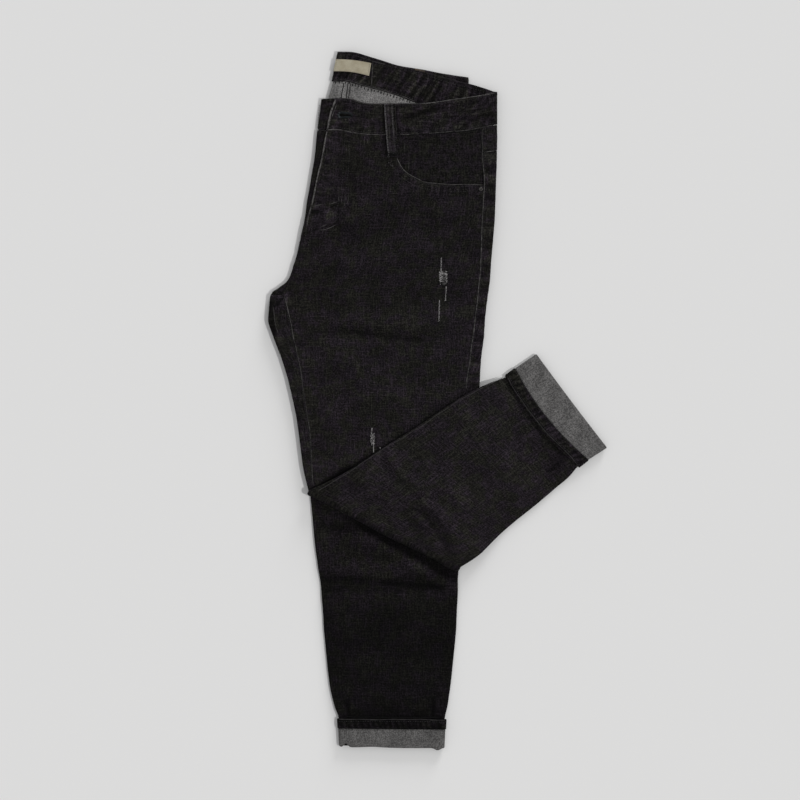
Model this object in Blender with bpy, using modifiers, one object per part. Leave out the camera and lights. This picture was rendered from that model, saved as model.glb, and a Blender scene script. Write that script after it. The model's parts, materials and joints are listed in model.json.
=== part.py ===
"""Slim black denim jeans lying flat: folded in half along the centre line, the
upper (left) leg turned up at the knee across to the right, hems turned up.

Frame: +Z up, the surface they lie on is z = 0, +Y runs to the waistband and +X
to the side the upper leg is turned to. The tables below are in millimetres.
"""
import math
from collections import namedtuple

import bmesh
import bpy
import numpy as np
from mathutils import Vector

# ------------------------------------------------------------------ sizes (mm)
MM = 0.001
WALL = 1.3              # denim with its felled seams pressed flat
BAND = 2.0              # waistband, two layers and its interlining
HEM = 2.3               # doubled and stitched hem
LABEL = 1.0             # woven label
GAP = 0.4               # between neighbours at a seam
LAYER_GAP = 0.3         # between layers that lie on each other
LAP = 12.0              # how far a back panel reaches in past a side fold
KNEE_CLEAR = 0.4        # inside radius of the knee fold
CUFF_OUT = WALL + 0.3   # turn-up, middle of wall to middle of wall
HEM_OUT = WALL / 2 + 0.3 + HEM / 2
ARC = 4                 # steps round the half turn of a side fold
ORIGIN = (1.76, 1.32)    # plan position of the origin

# A station across a leg: its two edges in plan, the lowest face and the outer
# height of the flattened tube, and how far the front panel's two seams lie in
# from the edges. The left edge of a row is the inseam or centre side.
Station = namedtuple("Station", "place left_x left_y right_x right_y base height seam_left seam_right")

# Upper leg, from the waistband seam to the knee fold.
LEFT_THIGH = [
    Station("waist seam", -154.7, 352.4, 79.3, 358.8, 6.3, 6.0, 12.0, 19.5),
    Station("yoke seam", -157.3, 323.7, 79.3, 325.9, 6.3, 6.0, 10.0, 18.5),
    Station("pocket", -163.8, 282.8, 78.0, 282.8, 6.3, 6.0, 7.0, 16.5),
    Station("zip end", -167.5, 262.0, 77.4, 262.0, 6.2, 5.9, 6.0, 16.0),
    Station("hip", -170.3, 241.2, 76.7, 241.2, 6.1, 5.8, 3.2, 15.5),
    Station("seat", -176.8, 210.0, 74.1, 210.0, 5.9, 5.6, 0.0, 15.0),
    Station("fork 1", -184.6, 178.8, 71.5, 178.8, 5.7, 5.4, 0.0, 14.5),
    Station("fork 2", -192.4, 158.0, 70.2, 158.0, 5.6, 5.3, 1.5, 14.0),
    Station("fork 3", -204.1, 147.6, 68.9, 147.6, 5.5, 5.2, 8.5, 14.0),
    Station("crotch", -215.2, 139.1, 67.6, 139.1, 5.5, 5.2, 16.0, 14.0),
    Station("thigh 1", -217.1, 124.2, 65.7, 124.2, 5.5, 5.2, 22.0, 14.0),
    Station("thigh 2", -218.4, 106.0, 63.7, 106.0, 5.5, 5.2, 25.0, 14.0),
    Station("thigh 3", -211.9, 85.2, 62.4, 85.2, 5.5, 5.2, 24.0, 14.0),
    Station("thigh 4", -200.2, 54.0, 58.5, 54.0, 5.5, 5.2, 21.0, 14.5),
    Station("thigh 5", -191.1, 22.8, 56.6, 20.2, 5.5, 5.2, 17.5, 17.0),
    Station("thigh 6", -182.0, -18.9, 52.0, -29.2, 5.5, 5.2, 15.0, 18.0),
    Station("thigh 7", -176.2, -60.5, 46.1, -83.9, 5.5, 5.2, 14.0, 18.0),
    Station("thigh 8", -172.2, -89.0, 39.6, -141.1, 5.5, 5.2, 13.0, 18.0),
    Station("knee", -165.6, -115.8, 32.0, -210.7, 5.5, 5.2, 12.5, 18.0),
]
# The same leg past the knee fold, turned over: its back panel is on top now.
LEFT_TURNED = [
    Station("knee", -165.6, -115.8, 32.0, -210.7, 11.5, 5.2, 12.5, 18.0),
    Station("calf 1", -136.5, -102.0, 44.2, -205.4, 11.5, 5.2, 13.0, 18.0),
    Station("calf 2", -107.9, -86.5, 56.4, -198.2, 11.5, 5.2, 14.0, 18.0),
    Station("calf 3", -68.9, -60.5, 83.2, -173.2, 11.5, 5.1, 15.0, 18.0),
    Station("calf 4", -27.3, -34.5, 105.3, -154.1, 11.5, 5.0, 15.0, 18.0),
    Station("calf 5", 11.7, -8.5, 132.6, -132.0, 11.5, 4.9, 15.0, 17.0),
    Station("calf 6", 46.8, 13.7, 156.0, -112.5, 11.5, 4.8, 15.0, 16.0),
    Station("calf 7", 71.5, 24.8, 172.5, -98.6, 13.0, 4.4, 15.0, 15.0),
    Station("hem top", 90.9, 31.8, 184.8, -84.2, 14.1, 4.0, 15.0, 15.0),
    Station("hem end", 103.7, 41.6, 197.0, -74.7, 14.1, 4.0, 15.0, 15.0),
    Station("turn", 131.5, 60.6, 221.5, -58.9, 14.1, 4.0, 15.0, 15.0),
]
# Lower leg, back panel up.
RIGHT_LEG = [
    Station("waist seam", -154.7, 352.4, 42.9, 377.9, 0.0, 6.0, 12.0, 18.0),
    Station("yoke seam", -157.3, 323.7, 49.4, 341.2, 0.0, 6.0, 10.0, 18.0),
    Station("pocket", -163.8, 282.8, 57.2, 290.6, 0.0, 6.0, 7.0, 16.5),
    Station("zip end", -167.5, 262.0, 60.5, 267.0, 0.0, 5.9, 6.0, 16.0),
    Station("hip", -170.3, 241.2, 62.4, 245.1, 0.0, 5.8, 3.2, 15.5),
    Station("seat", -176.8, 210.0, 65.0, 211.2, 0.0, 5.6, 0.0, 15.0),
    Station("fork 1", -184.6, 178.8, 66.3, 178.8, 0.0, 5.4, 0.0, 14.5),
    Station("fork 2", -192.4, 158.0, 66.3, 158.0, 0.0, 5.3, 1.5, 14.0),
    Station("fork 3", -204.1, 147.6, 66.3, 147.6, 0.0, 5.2, 8.5, 14.0),
    Station("crotch", -215.2, 139.1, 65.7, 139.1, 0.0, 5.2, 16.0, 14.0),
    Station("thigh 1", -215.8, 124.2, 63.7, 124.2, 0.0, 5.2, 22.0, 14.0),
    Station("thigh 2", -216.5, 106.0, 62.4, 106.0, 0.0, 5.2, 25.0, 14.0),
    Station("thigh 3", -209.3, 85.2, 60.5, 85.2, 0.0, 5.2, 24.0, 14.0),
    Station("thigh 4", -197.6, 54.0, 57.2, 54.0, 0.0, 5.2, 21.0, 14.5),
    Station("thigh 5", -188.5, 22.8, 54.6, 22.8, 0.0, 5.2, 17.5, 17.0),
    Station("thigh 6", -178.8, -18.9, 49.4, -18.9, 0.0, 5.2, 15.0, 18.0),
    Station("thigh 7", -172.2, -60.5, 44.9, -60.5, 0.0, 5.2, 14.0, 18.0),
    Station("knee", -166.4, -102.0, 39.6, -102.0, 0.0, 5.2, 13.0, 18.0),
    Station("calf 1", -162.5, -133.2, 36.4, -133.2, 0.0, 5.2, 13.0, 18.0),
    Station("calf 2", -157.3, -185.2, 31.9, -185.2, 0.0, 5.2, 14.0, 18.0),
    Station("calf 3", -153.4, -216.5, 29.5, -216.5, 0.0, 5.2, 15.0, 18.0),
    Station("calf 4", -148.2, -258.1, 27.9, -258.1, 0.0, 5.1, 15.0, 18.0),
    Station("calf 5", -145.6, -299.7, 26.0, -299.7, 0.0, 5.0, 15.0, 17.0),
    Station("calf 6", -141.7, -341.2, 22.1, -341.2, 0.0, 4.9, 15.0, 16.0),
    Station("calf 7", -137.2, -375.1, 18.2, -375.1, 0.4, 4.8, 15.0, 15.0),
    Station("calf 8", -132.0, -395.9, 15.0, -395.9, 1.6, 4.4, 15.0, 15.0),
    Station("hem top", -126.2, -412.4, 11.2, -413.4, 2.6, 4.0, 15.0, 15.0),
    Station("hem end", -125.7, -425.1, 10.6, -426.4, 2.6, 4.0, 15.0, 15.0),
    Station("turn", -124.4, -449.6, 9.5, -450.6, 2.6, 4.0, 15.0, 15.0),
]

# Waistband seam of the upper front: how the seam sags between its ends.
SeamPoint = namedtuple("SeamPoint", "x y")
WAIST_SEAM = [
    SeamPoint(-160.0, 353.5), SeamPoint(-142.5, 354.0), SeamPoint(-120.4, 352.4),
    SeamPoint(-103.7, 349.3), SeamPoint(-81.9, 347.2), SeamPoint(-48.1, 346.7),
    SeamPoint(-15.1, 348.0), SeamPoint(4.7, 349.6), SeamPoint(23.4, 351.3),
    SeamPoint(44.2, 353.8), SeamPoint(59.8, 356.3), SeamPoint(79.6, 360.0),
]

# Waistband, walked once round from the fly end: top and bottom edge in plan and
# the height of the middle of its wall. "fold" rows are half turns.
Band = namedtuple("Band", "place top_x top_y bottom_x bottom_y height")
WAISTBAND = [
    Band("fly end", -131.8, 393.5, -142.5, None, 11.3),
    Band("left front 1", -112.1, 393.5, -120.4, None, 11.3),
    Band("left front 2", -97.5, 389.3, -103.7, None, 11.3),
    Band("left front 3", -81.9, 387.0, -81.9, None, 11.3),
    Band("left front 4", -50.7, 387.0, -48.1, None, 11.3),
    Band("left front 5", -20.8, 387.6, -15.1, None, 11.3),
    Band("left front 6", 4.7, 390.1, 4.7, None, 11.3),
    Band("left front 7", 28.6, 393.6, 23.4, None, 11.3),
    Band("left front 8", 54.6, 397.6, 44.2, None, 11.3),
    Band("fold left side", 76.6, 401.4, 76.6, 359.6, 11.3),
    Band("left back 1", 59.8, 407.0, 57.2, 366.2, 7.3),
    Band("left back 2", 19.5, 417.6, 14.3, 377.0, 7.3),
    Band("left back 3", -13.0, 426.6, -25.5, 388.1, 7.3),
    Band("left back 4", -45.5, 434.2, -57.2, 399.8, 7.3),
    Band("left back 5", -81.9, 445.5, -97.5, 410.7, 7.3),
    Band("left back 6", -112.1, 453.0, -120.9, 416.2, 7.3),
    Band("fold centre back", -126.0, 453.1, -133.8, 416.1, 7.3),
    Band("right back 1", -81.9, 444.6, -92.3, 408.9, 5.0),
    Band("right back 2", -45.5, 434.8, -54.6, 397.2, 5.0),
    Band("right back 3", -15.1, 429.8, -23.4, 389.4, 5.0),
    Band("right back 4", 13.0, 424.2, 7.8, 384.2, 5.0),
    Band("fold right side", 39.6, 420.3, 39.6, 378.9, 5.0),
    Band("right front 1", 13.0, 414.1, 13.0, 374.2, 1.0),
    Band("right front 2", -50.7, 405.6, -50.7, 366.0, 1.0),
    Band("right front 3", -113.1, 396.5, -117.0, 357.6, 1.0),
    Band("fold centre front", -144.4, 391.9, -149.0, 353.5, 1.0),
    Band("underlap", -120.0, 393.2, -126.0, 354.6, 8.9),
]
BAND_FOLD_TO = {"fold left side": 7.3, "fold centre back": 5.0, "fold right side": 1.0, "fold centre front": 8.9}

# Front pocket opening of the upper front, from the waistband seam to the side
# seam, and the inner layers' upper end inside the waist opening.
PocketPoint = namedtuple("PocketPoint", "x y")
POCKET_EDGE = [
    PocketPoint(-52.0, 340.0), PocketPoint(-51.0, 316.6), PocketPoint(-46.5, 307.0),
    PocketPoint(-41.0, 300.0), PocketPoint(-30.9, 292.4), PocketPoint(-18.2, 286.6),
    PocketPoint(-3.5, 283.4), PocketPoint(23.8, 281.6), PocketPoint(62.4, 282.2),
]
PocketShift = namedtuple("PocketShift", "x y")
RIGHT_POCKET = PocketShift(-24.0, 6.0)      # the lower half is folded a little aside
POCKET_STEP = 0.6                           # facing lies this much deeper

Slab = namedtuple("Slab", "place left_x left_y right_x right_y low high")
INNER_TOP = [
    Slab("under back band", -133.0, 413.8, 29.0, 371.8, 4.7, 7.6),
    Slab("waist opening", -137.6, 396.0, 29.4, 365.0, 4.7, 7.6),
    Slab("under front band", -140.5, 374.0, 30.0, 358.0, 4.7, 7.6),
    Slab("below band", -143.5, 350.0, 32.0, 350.0, 4.7, 7.6),
    Slab("full", -146.0, 338.0, 34.0, 338.0, 2.3, 8.8),
]
INNER_LEVELS = (322.0, 300.0, 280.0, 255.0, 232.0, 205.0, 180.0, 160.0, 147.0, 136.0, 120.0, 100.0,
                75.0, 50.0, 20.0, -20.0, -60.0, -92.0)

# Height and underlap of the lower front where it wraps up at the centre front.
Wrap = namedtuple("Wrap", "y step lap")
FLY_WRAP = [
    Wrap(360.0, 1.6, 3.0), Wrap(325.0, 1.6, 3.0), Wrap(290.0, 1.6, 1.5), Wrap(268.0, 1.6, -0.6),
    Wrap(245.0, 0.7, -0.6), Wrap(212.0, 0.0, -0.6), Wrap(120.0, 0.0, -0.6),
]

# The side of the stack that the turned leg hangs over, the line of its hem, and
# how far it takes to come down to the surface.
Edge = namedtuple("Edge", "x0 y0 x1 y1")
STACK_SIDE = Edge(29.5, -216.5, 56.6, 20.2)
HEM_LINE = Edge(184.8, -84.2, 90.9, 31.8)
DROP = 11.5
DROP_START = 5.0
DROP_SPAN = 62.0


# ------------------------------------------------------------------ functions
def smooth(knots, values, at):
    """Monotone cubic through the knots, so no section overshoots its neighbours."""
    k = np.asarray(knots, float)
    v = np.asarray(values, float)
    h = np.diff(k)
    d = np.diff(v) / h
    m = np.zeros(len(k))
    m[0], m[-1] = d[0], d[-1]
    for i in range(1, len(k) - 1):
        if d[i - 1] * d[i] > 0.0:
            w1, w2 = 2 * h[i] + h[i - 1], h[i] + 2 * h[i - 1]
            m[i] = (w1 + w2) / (w1 / d[i - 1] + w2 / d[i])
    i = min(max(int(np.searchsorted(k, at, side="right")) - 1, 0), len(k) - 2)
    s = (at - k[i]) / h[i]
    if s < 0.0 or s > 1.0:
        s = min(max(s, 0.0), 1.0)
    return ((1 + 2 * s) * (1 - s) ** 2 * v[i] + s * (1 - s) ** 2 * h[i] * m[i]
            + s * s * (3 - 2 * s) * v[i + 1] + s * s * (s - 1) * h[i] * m[i + 1])


def column(table, name):
    return [getattr(row, name) for row in table]


def seam_y(x):
    return smooth(column(WAIST_SEAM, "x"), column(WAIST_SEAM, "y"), x)


def edge_x(table, side, y):
    """Plan x of a leg's edge at height y of the plan."""
    ys = column(table, side + "_y")[::-1]
    xs = column(table, side + "_x")[::-1]
    return float(np.interp(y, ys, xs))


def normal_of(e):
    length = math.hypot(e.x1 - e.x0, e.y1 - e.y0)
    return (e.y1 - e.y0) / length, -(e.x1 - e.x0) / length


def drop_at(x, y):
    """How far the turned leg has come down at a plan position: nothing over the
    stack, all of it at the hem or DROP_SPAN past the stack's side."""
    n = normal_of(STACK_SIDE)
    m = normal_of(HEM_LINE)
    away = (x - STACK_SIDE.x0) * n[0] + (y - STACK_SIDE.y0) * n[1]
    to_hem = -((x - HEM_LINE.x0) * m[0] + (y - HEM_LINE.y0) * m[1]) / (n[0] * m[0] + n[1] * m[1])
    end = max(min(away + to_hem - 1.0, DROP_SPAN), 25.0)
    s = min(max((away - DROP_START) / (end - DROP_START), 0.0), 1.0)
    return DROP * s * s * (3 - 2 * s)


def between(a, b, f):
    """A station between two rows of a table."""
    values = [a.place] + [x + (y - x) * f for x, y in zip(a[1:], b[1:])]
    return Station(*values)


def refine(table, splits):
    """Adds stations after the named rows, on the smooth curve through the table."""
    knots = list(range(len(table)))
    fields = {f: column(table, f) for f in Station._fields[1:]}
    rows = []
    for i, row in enumerate(table):
        rows.append(row)
        for n in range(splits.get(row.place, 0)):
            at = i + (n + 1) / (splits[row.place] + 1)
            rows.append(Station(row.place, *[smooth(knots, fields[f], at) for f in Station._fields[1:]]))
    return rows


def place(st, u, v, turn=None, inside=0.0):
    """A point of a section in the model's frame: u mm in from the left edge, v mm
    above the back panel's outer face. turn is 'down' for the lower leg and the
    turned leg (back panel up), or the angle of the knee fold."""
    left = Vector((st.left_x, st.left_y))
    right = Vector((st.right_x, st.right_y))
    across = (right - left).normalized()
    plan = left + across * u
    if turn is None:
        return Vector((plan.x, plan.y, st.base + v))
    if turn == "down":
        return Vector((plan.x, plan.y, st.base + st.height - v))
    away = Vector((across.y, -across.x))
    centre = LEFT_THIGH[-1].base + LEFT_THIGH[-1].height + KNEE_CLEAR
    r = centre - (st.base + v)
    plan = plan + away * (r * math.sin(turn))
    return Vector((plan.x, plan.y, centre - r * math.cos(turn)))


def width(st):
    return math.hypot(st.right_x - st.left_x, st.right_y - st.left_y)


def side_fold(height, out=0.0):
    """Half turn of the wall at a leg's edge, as (u, v) from the front's side to
    the back's side, for a wall whose middle lies `out` outside the leg's wall."""
    r = (height - WALL) / 2
    c = WALL / 2 + r
    pts = []
    for k in range(ARC + 1):
        a = math.pi * k / ARC
        pts.append((c - (r + out) * math.sin(a), height / 2 + (r + out) * math.cos(a)))
    return pts


def back_path(st, centre_cols):
    """Back panel: round the left edge, across under the front, round the right."""
    w = width(st)
    gap = GAP / 2
    fold = side_fold(st.height)
    top = st.height - WALL / 2
    low = WALL / 2
    left = [(st.seam_left - gap, top), (min(st.seam_left * 0.5 + fold[0][0] * 0.5, st.seam_left - 1.0), top)]
    left += fold + [(LAP, low)]
    mid = [(LAP + (w - 2 * LAP) * (k + 1) / (centre_cols + 1), low) for k in range(centre_cols)]
    right = [(w - LAP, low)] + [(w - u, v) for u, v in fold[::-1]]
    right += [(w - min(st.seam_right * 0.5 + fold[0][0] * 0.5, st.seam_right - 1.0), top), (w - st.seam_right + gap, top)]
    return left + mid + right


def front_path(st, cols, gap=GAP / 2):
    """Front panel below the crotch: flat between its two seams."""
    w = width(st)
    a, b = st.seam_left + gap, w - st.seam_right - gap
    return [(a + (b - a) * k / cols, st.height - WALL / 2) for k in range(cols + 1)]


def wrap_point(height, s):
    """A point on the outer layer where it rolls round the centre front: s mm of
    cloth up from the outermost line (negative below it)."""
    r = (height - WALL) / 2
    quarter = r * math.pi / 2
    if s > quarter:
        return WALL / 2 + r + s - quarter, height - WALL / 2
    if s < -quarter:
        return WALL / 2 + r - s - quarter, WALL / 2
    a = s / r
    return WALL / 2 + r - r * math.cos(a), height / 2 + r * math.sin(a)


def wrap_length(height, q):
    """Cloth length up from the outermost line to a point q mm in from the edge."""
    r = (height - WALL) / 2
    c = WALL / 2 + r
    if q >= c:
        return r * math.pi / 2 + q - c
    return r * math.acos(max(min((c - max(q, WALL / 2)) / r, 1.0), -1.0))


def material(name, colour, roughness, metallic=0.0):
    m = bpy.data.materials.new(name)
    m.use_nodes = True
    shader = m.node_tree.nodes["Principled BSDF"]
    shader.inputs["Base Color"].default_value = (*colour, 1.0)
    shader.inputs["Roughness"].default_value = roughness
    shader.inputs["Metallic"].default_value = metallic
    m.diffuse_color = (*colour, 1.0)
    return m


def to_metres(p):
    return ((p[0] - ORIGIN[0]) * MM, (p[1] - ORIGIN[1]) * MM, p[2] * MM)


def add_object(name, points, faces, mat, collection):
    used = sorted({i for f in faces for i in f})
    index = {old: new for new, old in enumerate(used)}
    mesh = bpy.data.meshes.new(name)
    mesh.from_pydata([to_metres(points[i]) for i in used], [], [[index[i] for i in f] for f in faces])
    mesh.validate()
    ob = bpy.data.objects.new(name, mesh)
    collection.objects.link(ob)
    ob.data.materials.append(mat)
    return ob


def sheet(name, grid, wall, mat, collection, keep=None, ring=False):
    """Cloth: an open surface through a grid of points, then Solidify."""
    cols = len(grid[0])
    points = [p for row in grid for p in row]
    faces = []
    for i in range(len(grid) - 1):
        for j in range(cols if ring else cols - 1):
            if keep is None or keep(i, j):
                k = (j + 1) % cols
                faces.append((i * cols + j, i * cols + k, (i + 1) * cols + k, (i + 1) * cols + j))
    ob = add_object(name, points, faces, mat, collection)
    solid = ob.modifiers.new("wall", "SOLIDIFY")
    solid.thickness = wall * MM
    solid.offset = 0.0
    solid.use_even_offset = True
    solid.use_rim = True
    return ob


def closed_loft(name, rings, mat, collection):
    """A solid through closed sections, capped at both ends."""
    n = len(rings[0])
    points = [p for ring in rings for p in ring]
    faces = []
    for i in range(len(rings) - 1):
        for j in range(n):
            k = (j + 1) % n
            faces.append((i * n + j, i * n + k, (i + 1) * n + k, (i + 1) * n + j))
    faces.append(tuple(range(n))[::-1])
    faces.append(tuple((len(rings) - 1) * n + j for j in range(n)))
    ob = add_object(name, points, faces, mat, collection)
    bm = bmesh.new()
    bm.from_mesh(ob.data)
    bmesh.ops.recalc_face_normals(bm, faces=bm.faces)
    bm.to_mesh(ob.data)
    bm.free()
    return ob


def plate(name, outline, low, high, mat, collection):
    """A flat piece: its outline in plan, between two heights."""
    n = len(outline)
    points = [(x, y, low) for x, y in outline] + [(x, y, high) for x, y in outline]
    faces = [tuple(range(n))[::-1], tuple(range(n, 2 * n))]
    faces += [(k, (k + 1) % n, (k + 1) % n + n, k + n) for k in range(n)]
    ob = add_object(name, points, faces, mat, collection)
    bm = bmesh.new()
    bm.from_mesh(ob.data)
    bmesh.ops.recalc_face_normals(bm, faces=bm.faces)
    bm.to_mesh(ob.data)
    bm.free()
    return ob


def cut(ob, cutter):
    mod = ob.modifiers.new("cut " + cutter.name, "BOOLEAN")
    mod.operation = "DIFFERENCE"
    mod.solver = "EXACT"
    mod.object = cutter
    cutter.hide_render = True
    cutter.display_type = "WIRE"


# ------------------------------------------------------------------ the scene
for old in list(bpy.data.objects):
    bpy.data.objects.remove(old, do_unlink=True)

jeans = bpy.data.collections.new("folded_black_jeans")
cutters = bpy.data.collections.new("cutters")
bpy.context.scene.collection.children.link(jeans)
bpy.context.scene.collection.children.link(cutters)


def denim(name):
    return material(name, (0.013, 0.012, 0.013), 0.85)


def denim_inside(name):
    return material(name, (0.09, 0.085, 0.09), 0.9)


# Stations of the three stretches of leg.
thigh = refine(LEFT_THIGH, {"yoke seam": 1, "thigh 3": 1, "thigh 6": 1})
turned = refine(LEFT_TURNED, {"calf 2": 1, "calf 3": 1, "calf 4": 1, "calf 5": 2, "calf 6": 2})
right = refine(RIGHT_LEG, {"yoke seam": 1})
CUFF_END = 2.3      # the leg's own wall stops here, inside the turn of the cuff


def shortened(table, cut_back):
    """The last station moved back from the end of the turn-up."""
    a, b = table[-2], table[-1]
    span = 0.5 * (math.hypot(b.left_x - a.left_x, b.left_y - a.left_y)
                  + math.hypot(b.right_x - a.right_x, b.right_y - a.right_y))
    return table[:-1] + [between(a, b, 1 - cut_back / span)]


turned_leg = shortened(turned, CUFF_END)
right_leg = shortened(right, CUFF_END)
bend = [math.radians(a) for a in (30, 60, 90, 120, 150)]


def lowered(p):
    return Vector((p.x, p.y, p.z - drop_at(p.x, p.y)))


# --- left front: wraps over the centre front above the crotch, flat below it
FRONT_COLS = 8
ROLL_STEPS = (0.0, 2.2, 4.4, 6.6, 8.8, 12.0)
crotch_row = [st.place for st in thigh].index("crotch")
grid = []
for i, st in enumerate(thigh):
    w = width(st)
    if i <= crotch_row:
        total = st.base + st.height
        s0 = wrap_length(total, st.seam_left)
        start = [wrap_point(total, s0 + d) for d in ROLL_STEPS]
        a = start[-1][0]
        b = w - st.seam_right - GAP / 2
        path = start + [(a + (b - a) * k / FRONT_COLS, total - WALL / 2) for k in range(1, FRONT_COLS + 1)]
        row = [place(st, u, v - st.base) for u, v in path]
    else:
        a = st.seam_left + GAP / 2
        b = w - st.seam_right - GAP / 2
        us = [a + d for d in ROLL_STEPS]
        us += [us[-1] + (b - us[-1]) * k / FRONT_COLS for k in range(1, FRONT_COLS + 1)]
        row = [place(st, u, st.height - WALL / 2) for u in us]
    if i == 0:
        row = [Vector((p.x, seam_y(p.x) - GAP, p.z)) for p in row]
    if i == 1:
        row = [Vector((p.x, p.y - 0.5 * (353.0 - seam_y(p.x)), p.z)) for p in row]
    grid.append(row)


def front_us(st):
    a = st.seam_left + GAP / 2
    b = width(st) - st.seam_right - GAP / 2
    us = [a + d for d in ROLL_STEPS]
    return us + [us[-1] + (b - us[-1]) * k / FRONT_COLS for k in range(1, FRONT_COLS + 1)]


for angle in bend:
    st = thigh[-1]
    grid.append([place(st, u, st.height - WALL / 2, angle) for u in front_us(st)])
for st in turned_leg:
    grid.append([lowered(place(st, u, st.height - WALL / 2, "down")) for u in front_us(st)])
front_left = sheet("front_left", grid, WALL, denim("denim_front_left"), jeans)

# --- left back: both side folds up the thigh, whole from the knee on
CENTRE_COLS = 6
LEFT_GROUP = 3 + ARC + 1          # columns of the left strip, fold and lap
grid, kind = [], []
yoke_row = [st.place for st in thigh].index("yoke seam")
for st in thigh:
    grid.append([place(st, u, v) for u, v in back_path(st, CENTRE_COLS)])
    kind.append("thigh")
kind[-1] = "whole"
kind[-2] = "whole"
for angle in bend:
    st = thigh[-1]
    grid.append([place(st, u, v, angle) for u, v in back_path(st, CENTRE_COLS)])
    kind.append("whole")
for st in turned_leg:
    grid.append([lowered(place(st, u, v, "down")) for u, v in back_path(st, CENTRE_COLS)])
    kind.append("whole")
LAST_LEFT = LEFT_GROUP - 1
FIRST_RIGHT = LEFT_GROUP + CENTRE_COLS


def keep_back(i, j, crotch, yoke):
    if j < LAST_LEFT:
        return i >= crotch
    if j >= FIRST_RIGHT:
        return i >= yoke
    return kind[i] == "whole" and kind[i + 1] == "whole"


yoke_grid = [list(row) for row in grid[:yoke_row + 1]]
# The seams across: the crotch seam and the yoke seam keep their gaps.
grid[crotch_row] = [p + Vector((0, -2 * GAP, 0)) if j < LEFT_GROUP else p for j, p in enumerate(grid[crotch_row])]
grid[yoke_row] = [p + Vector((0, -GAP / 2, 0)) for p in grid[yoke_row]]
back_left = sheet("back_left", grid, WALL, denim("denim_back_left"), jeans,
                  keep=lambda i, j: keep_back(i, j, crotch_row, yoke_row))

yoke_grid = [row[FIRST_RIGHT:] for row in yoke_grid]
yoke_grid[0] = [Vector((p.x, (seam_y(p.x) if p.x > 55 else 356.0) - GAP - 0.2, p.z)) for p in yoke_grid[0]]
yoke_grid[-1] = [p + Vector((0, GAP / 2, 0)) for p in yoke_grid[-1]]
yoke_left = sheet("yoke_left", yoke_grid, WALL, denim("denim_yoke_left"), jeans)

# --- right back: the same panel mirrored, back side up, whole below the knee
grid, kind = [], []
crotch_r = [st.place for st in right].index("crotch")
yoke_r = [st.place for st in right].index("yoke seam")
knee_r = [st.place for st in right].index("knee")
for i, st in enumerate(right_leg):
    grid.append([place(st, u, v, "down") for u, v in back_path(st, CENTRE_COLS)])
    kind.append("whole" if i >= knee_r else "thigh")
yoke_grid = [list(row) for row in grid[:yoke_r + 1]]
grid[crotch_r] = [p + Vector((0, -2 * GAP, 0)) if j < LEFT_GROUP else p for j, p in enumerate(grid[crotch_r])]
grid[yoke_r] = [p + Vector((0, -GAP / 2, 0)) for p in grid[yoke_r]]
back_right = sheet("back_right", grid, WALL, denim("denim_back_right"), jeans,
                   keep=lambda i, j: keep_back(i, j, crotch_r, yoke_r))
yoke_grid = [row[FIRST_RIGHT:] for row in yoke_grid]
yoke_grid[0] = [p + Vector((0, -GAP - 0.6, 0)) for p in yoke_grid[0]]
yoke_grid[-1] = [p + Vector((0, GAP / 2, 0)) for p in yoke_grid[-1]]
yoke_right = sheet("yoke_right", yoke_grid, WALL, denim("denim_yoke_right"), jeans)

# --- right front: on the floor, and up round the centre front above the crotch
WRAP_COLS = 9
FLOOR_COLS = 4
grid = []
for i, st in enumerate(right_leg):
    w = width(st)
    a = st.seam_left + GAP / 2 if i > crotch_r else None
    b = w - st.seam_right - GAP / 2
    if i <= crotch_r:
        y = st.left_y
        step = float(np.interp(-y, [-r.y for r in FLY_WRAP], column(FLY_WRAP, "step")))
        lap = float(np.interp(-y, [-r.y for r in FLY_WRAP], column(FLY_WRAP, "lap")))
        mate = thigh[[t.place for t in thigh].index(st.place)] if i != yoke_r + 1 else thigh[yoke_row + 1]
        total = mate.base + mate.height - step
        s1 = wrap_length(total, st.seam_left) + lap
        s0 = -(total - WALL) / 2 * math.pi / 2
        wrap = [wrap_point(total, s1 + (s0 - s1) * k / WRAP_COLS) for k in range(WRAP_COLS + 1)]
        a = wrap[-1][0]
        a2 = max(st.seam_left, 14.0)
    else:
        wrap = [(a, WALL / 2)] * (WRAP_COLS + 1)
        a2 = a
    floor = [(a2 + (b - a2) * k / FLOOR_COLS, WALL / 2) for k in range(FLOOR_COLS + 1)]
    path = wrap + floor
    row = []
    for u, z in path:
        p = place(st, u, 0.0)
        row.append(Vector((p.x, p.y, st.base + z if i > crotch_r else z)))
    if i == 0:
        row = [p + Vector((0, -GAP - 0.6, 0)) for p in row]
    grid.append(row)
front_right = sheet("front_right", grid, WALL, denim("denim_front_right"), jeans,
                    keep=lambda i, j: i < crotch_r or j > WRAP_COLS)

# --- waistband: one strip walked round its four folds
grid = []
for row in WAISTBAND:
    bottom = seam_y(row.bottom_x) if row.bottom_y is None else row.bottom_y
    if row.place in BAND_FOLD_TO:
        to = BAND_FOLD_TO[row.place]
        r = (row.height - to) / 2
        outward = 1 if "side" in row.place else -1
        for k in range(ARC + 1):
            a = math.pi * k / ARC
            dx, z = outward * abs(r) * math.sin(a), (row.height + to) / 2 + r * math.cos(a)
            grid.append([Vector((row.top_x + dx, row.top_y, z)), Vector((row.bottom_x + dx, bottom, z))])
    else:
        grid.append([Vector((row.top_x, row.top_y, row.height)), Vector((row.bottom_x, bottom, row.height))])
waistband = sheet("waistband", grid, BAND, denim("denim_waistband"), jeans)

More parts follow.
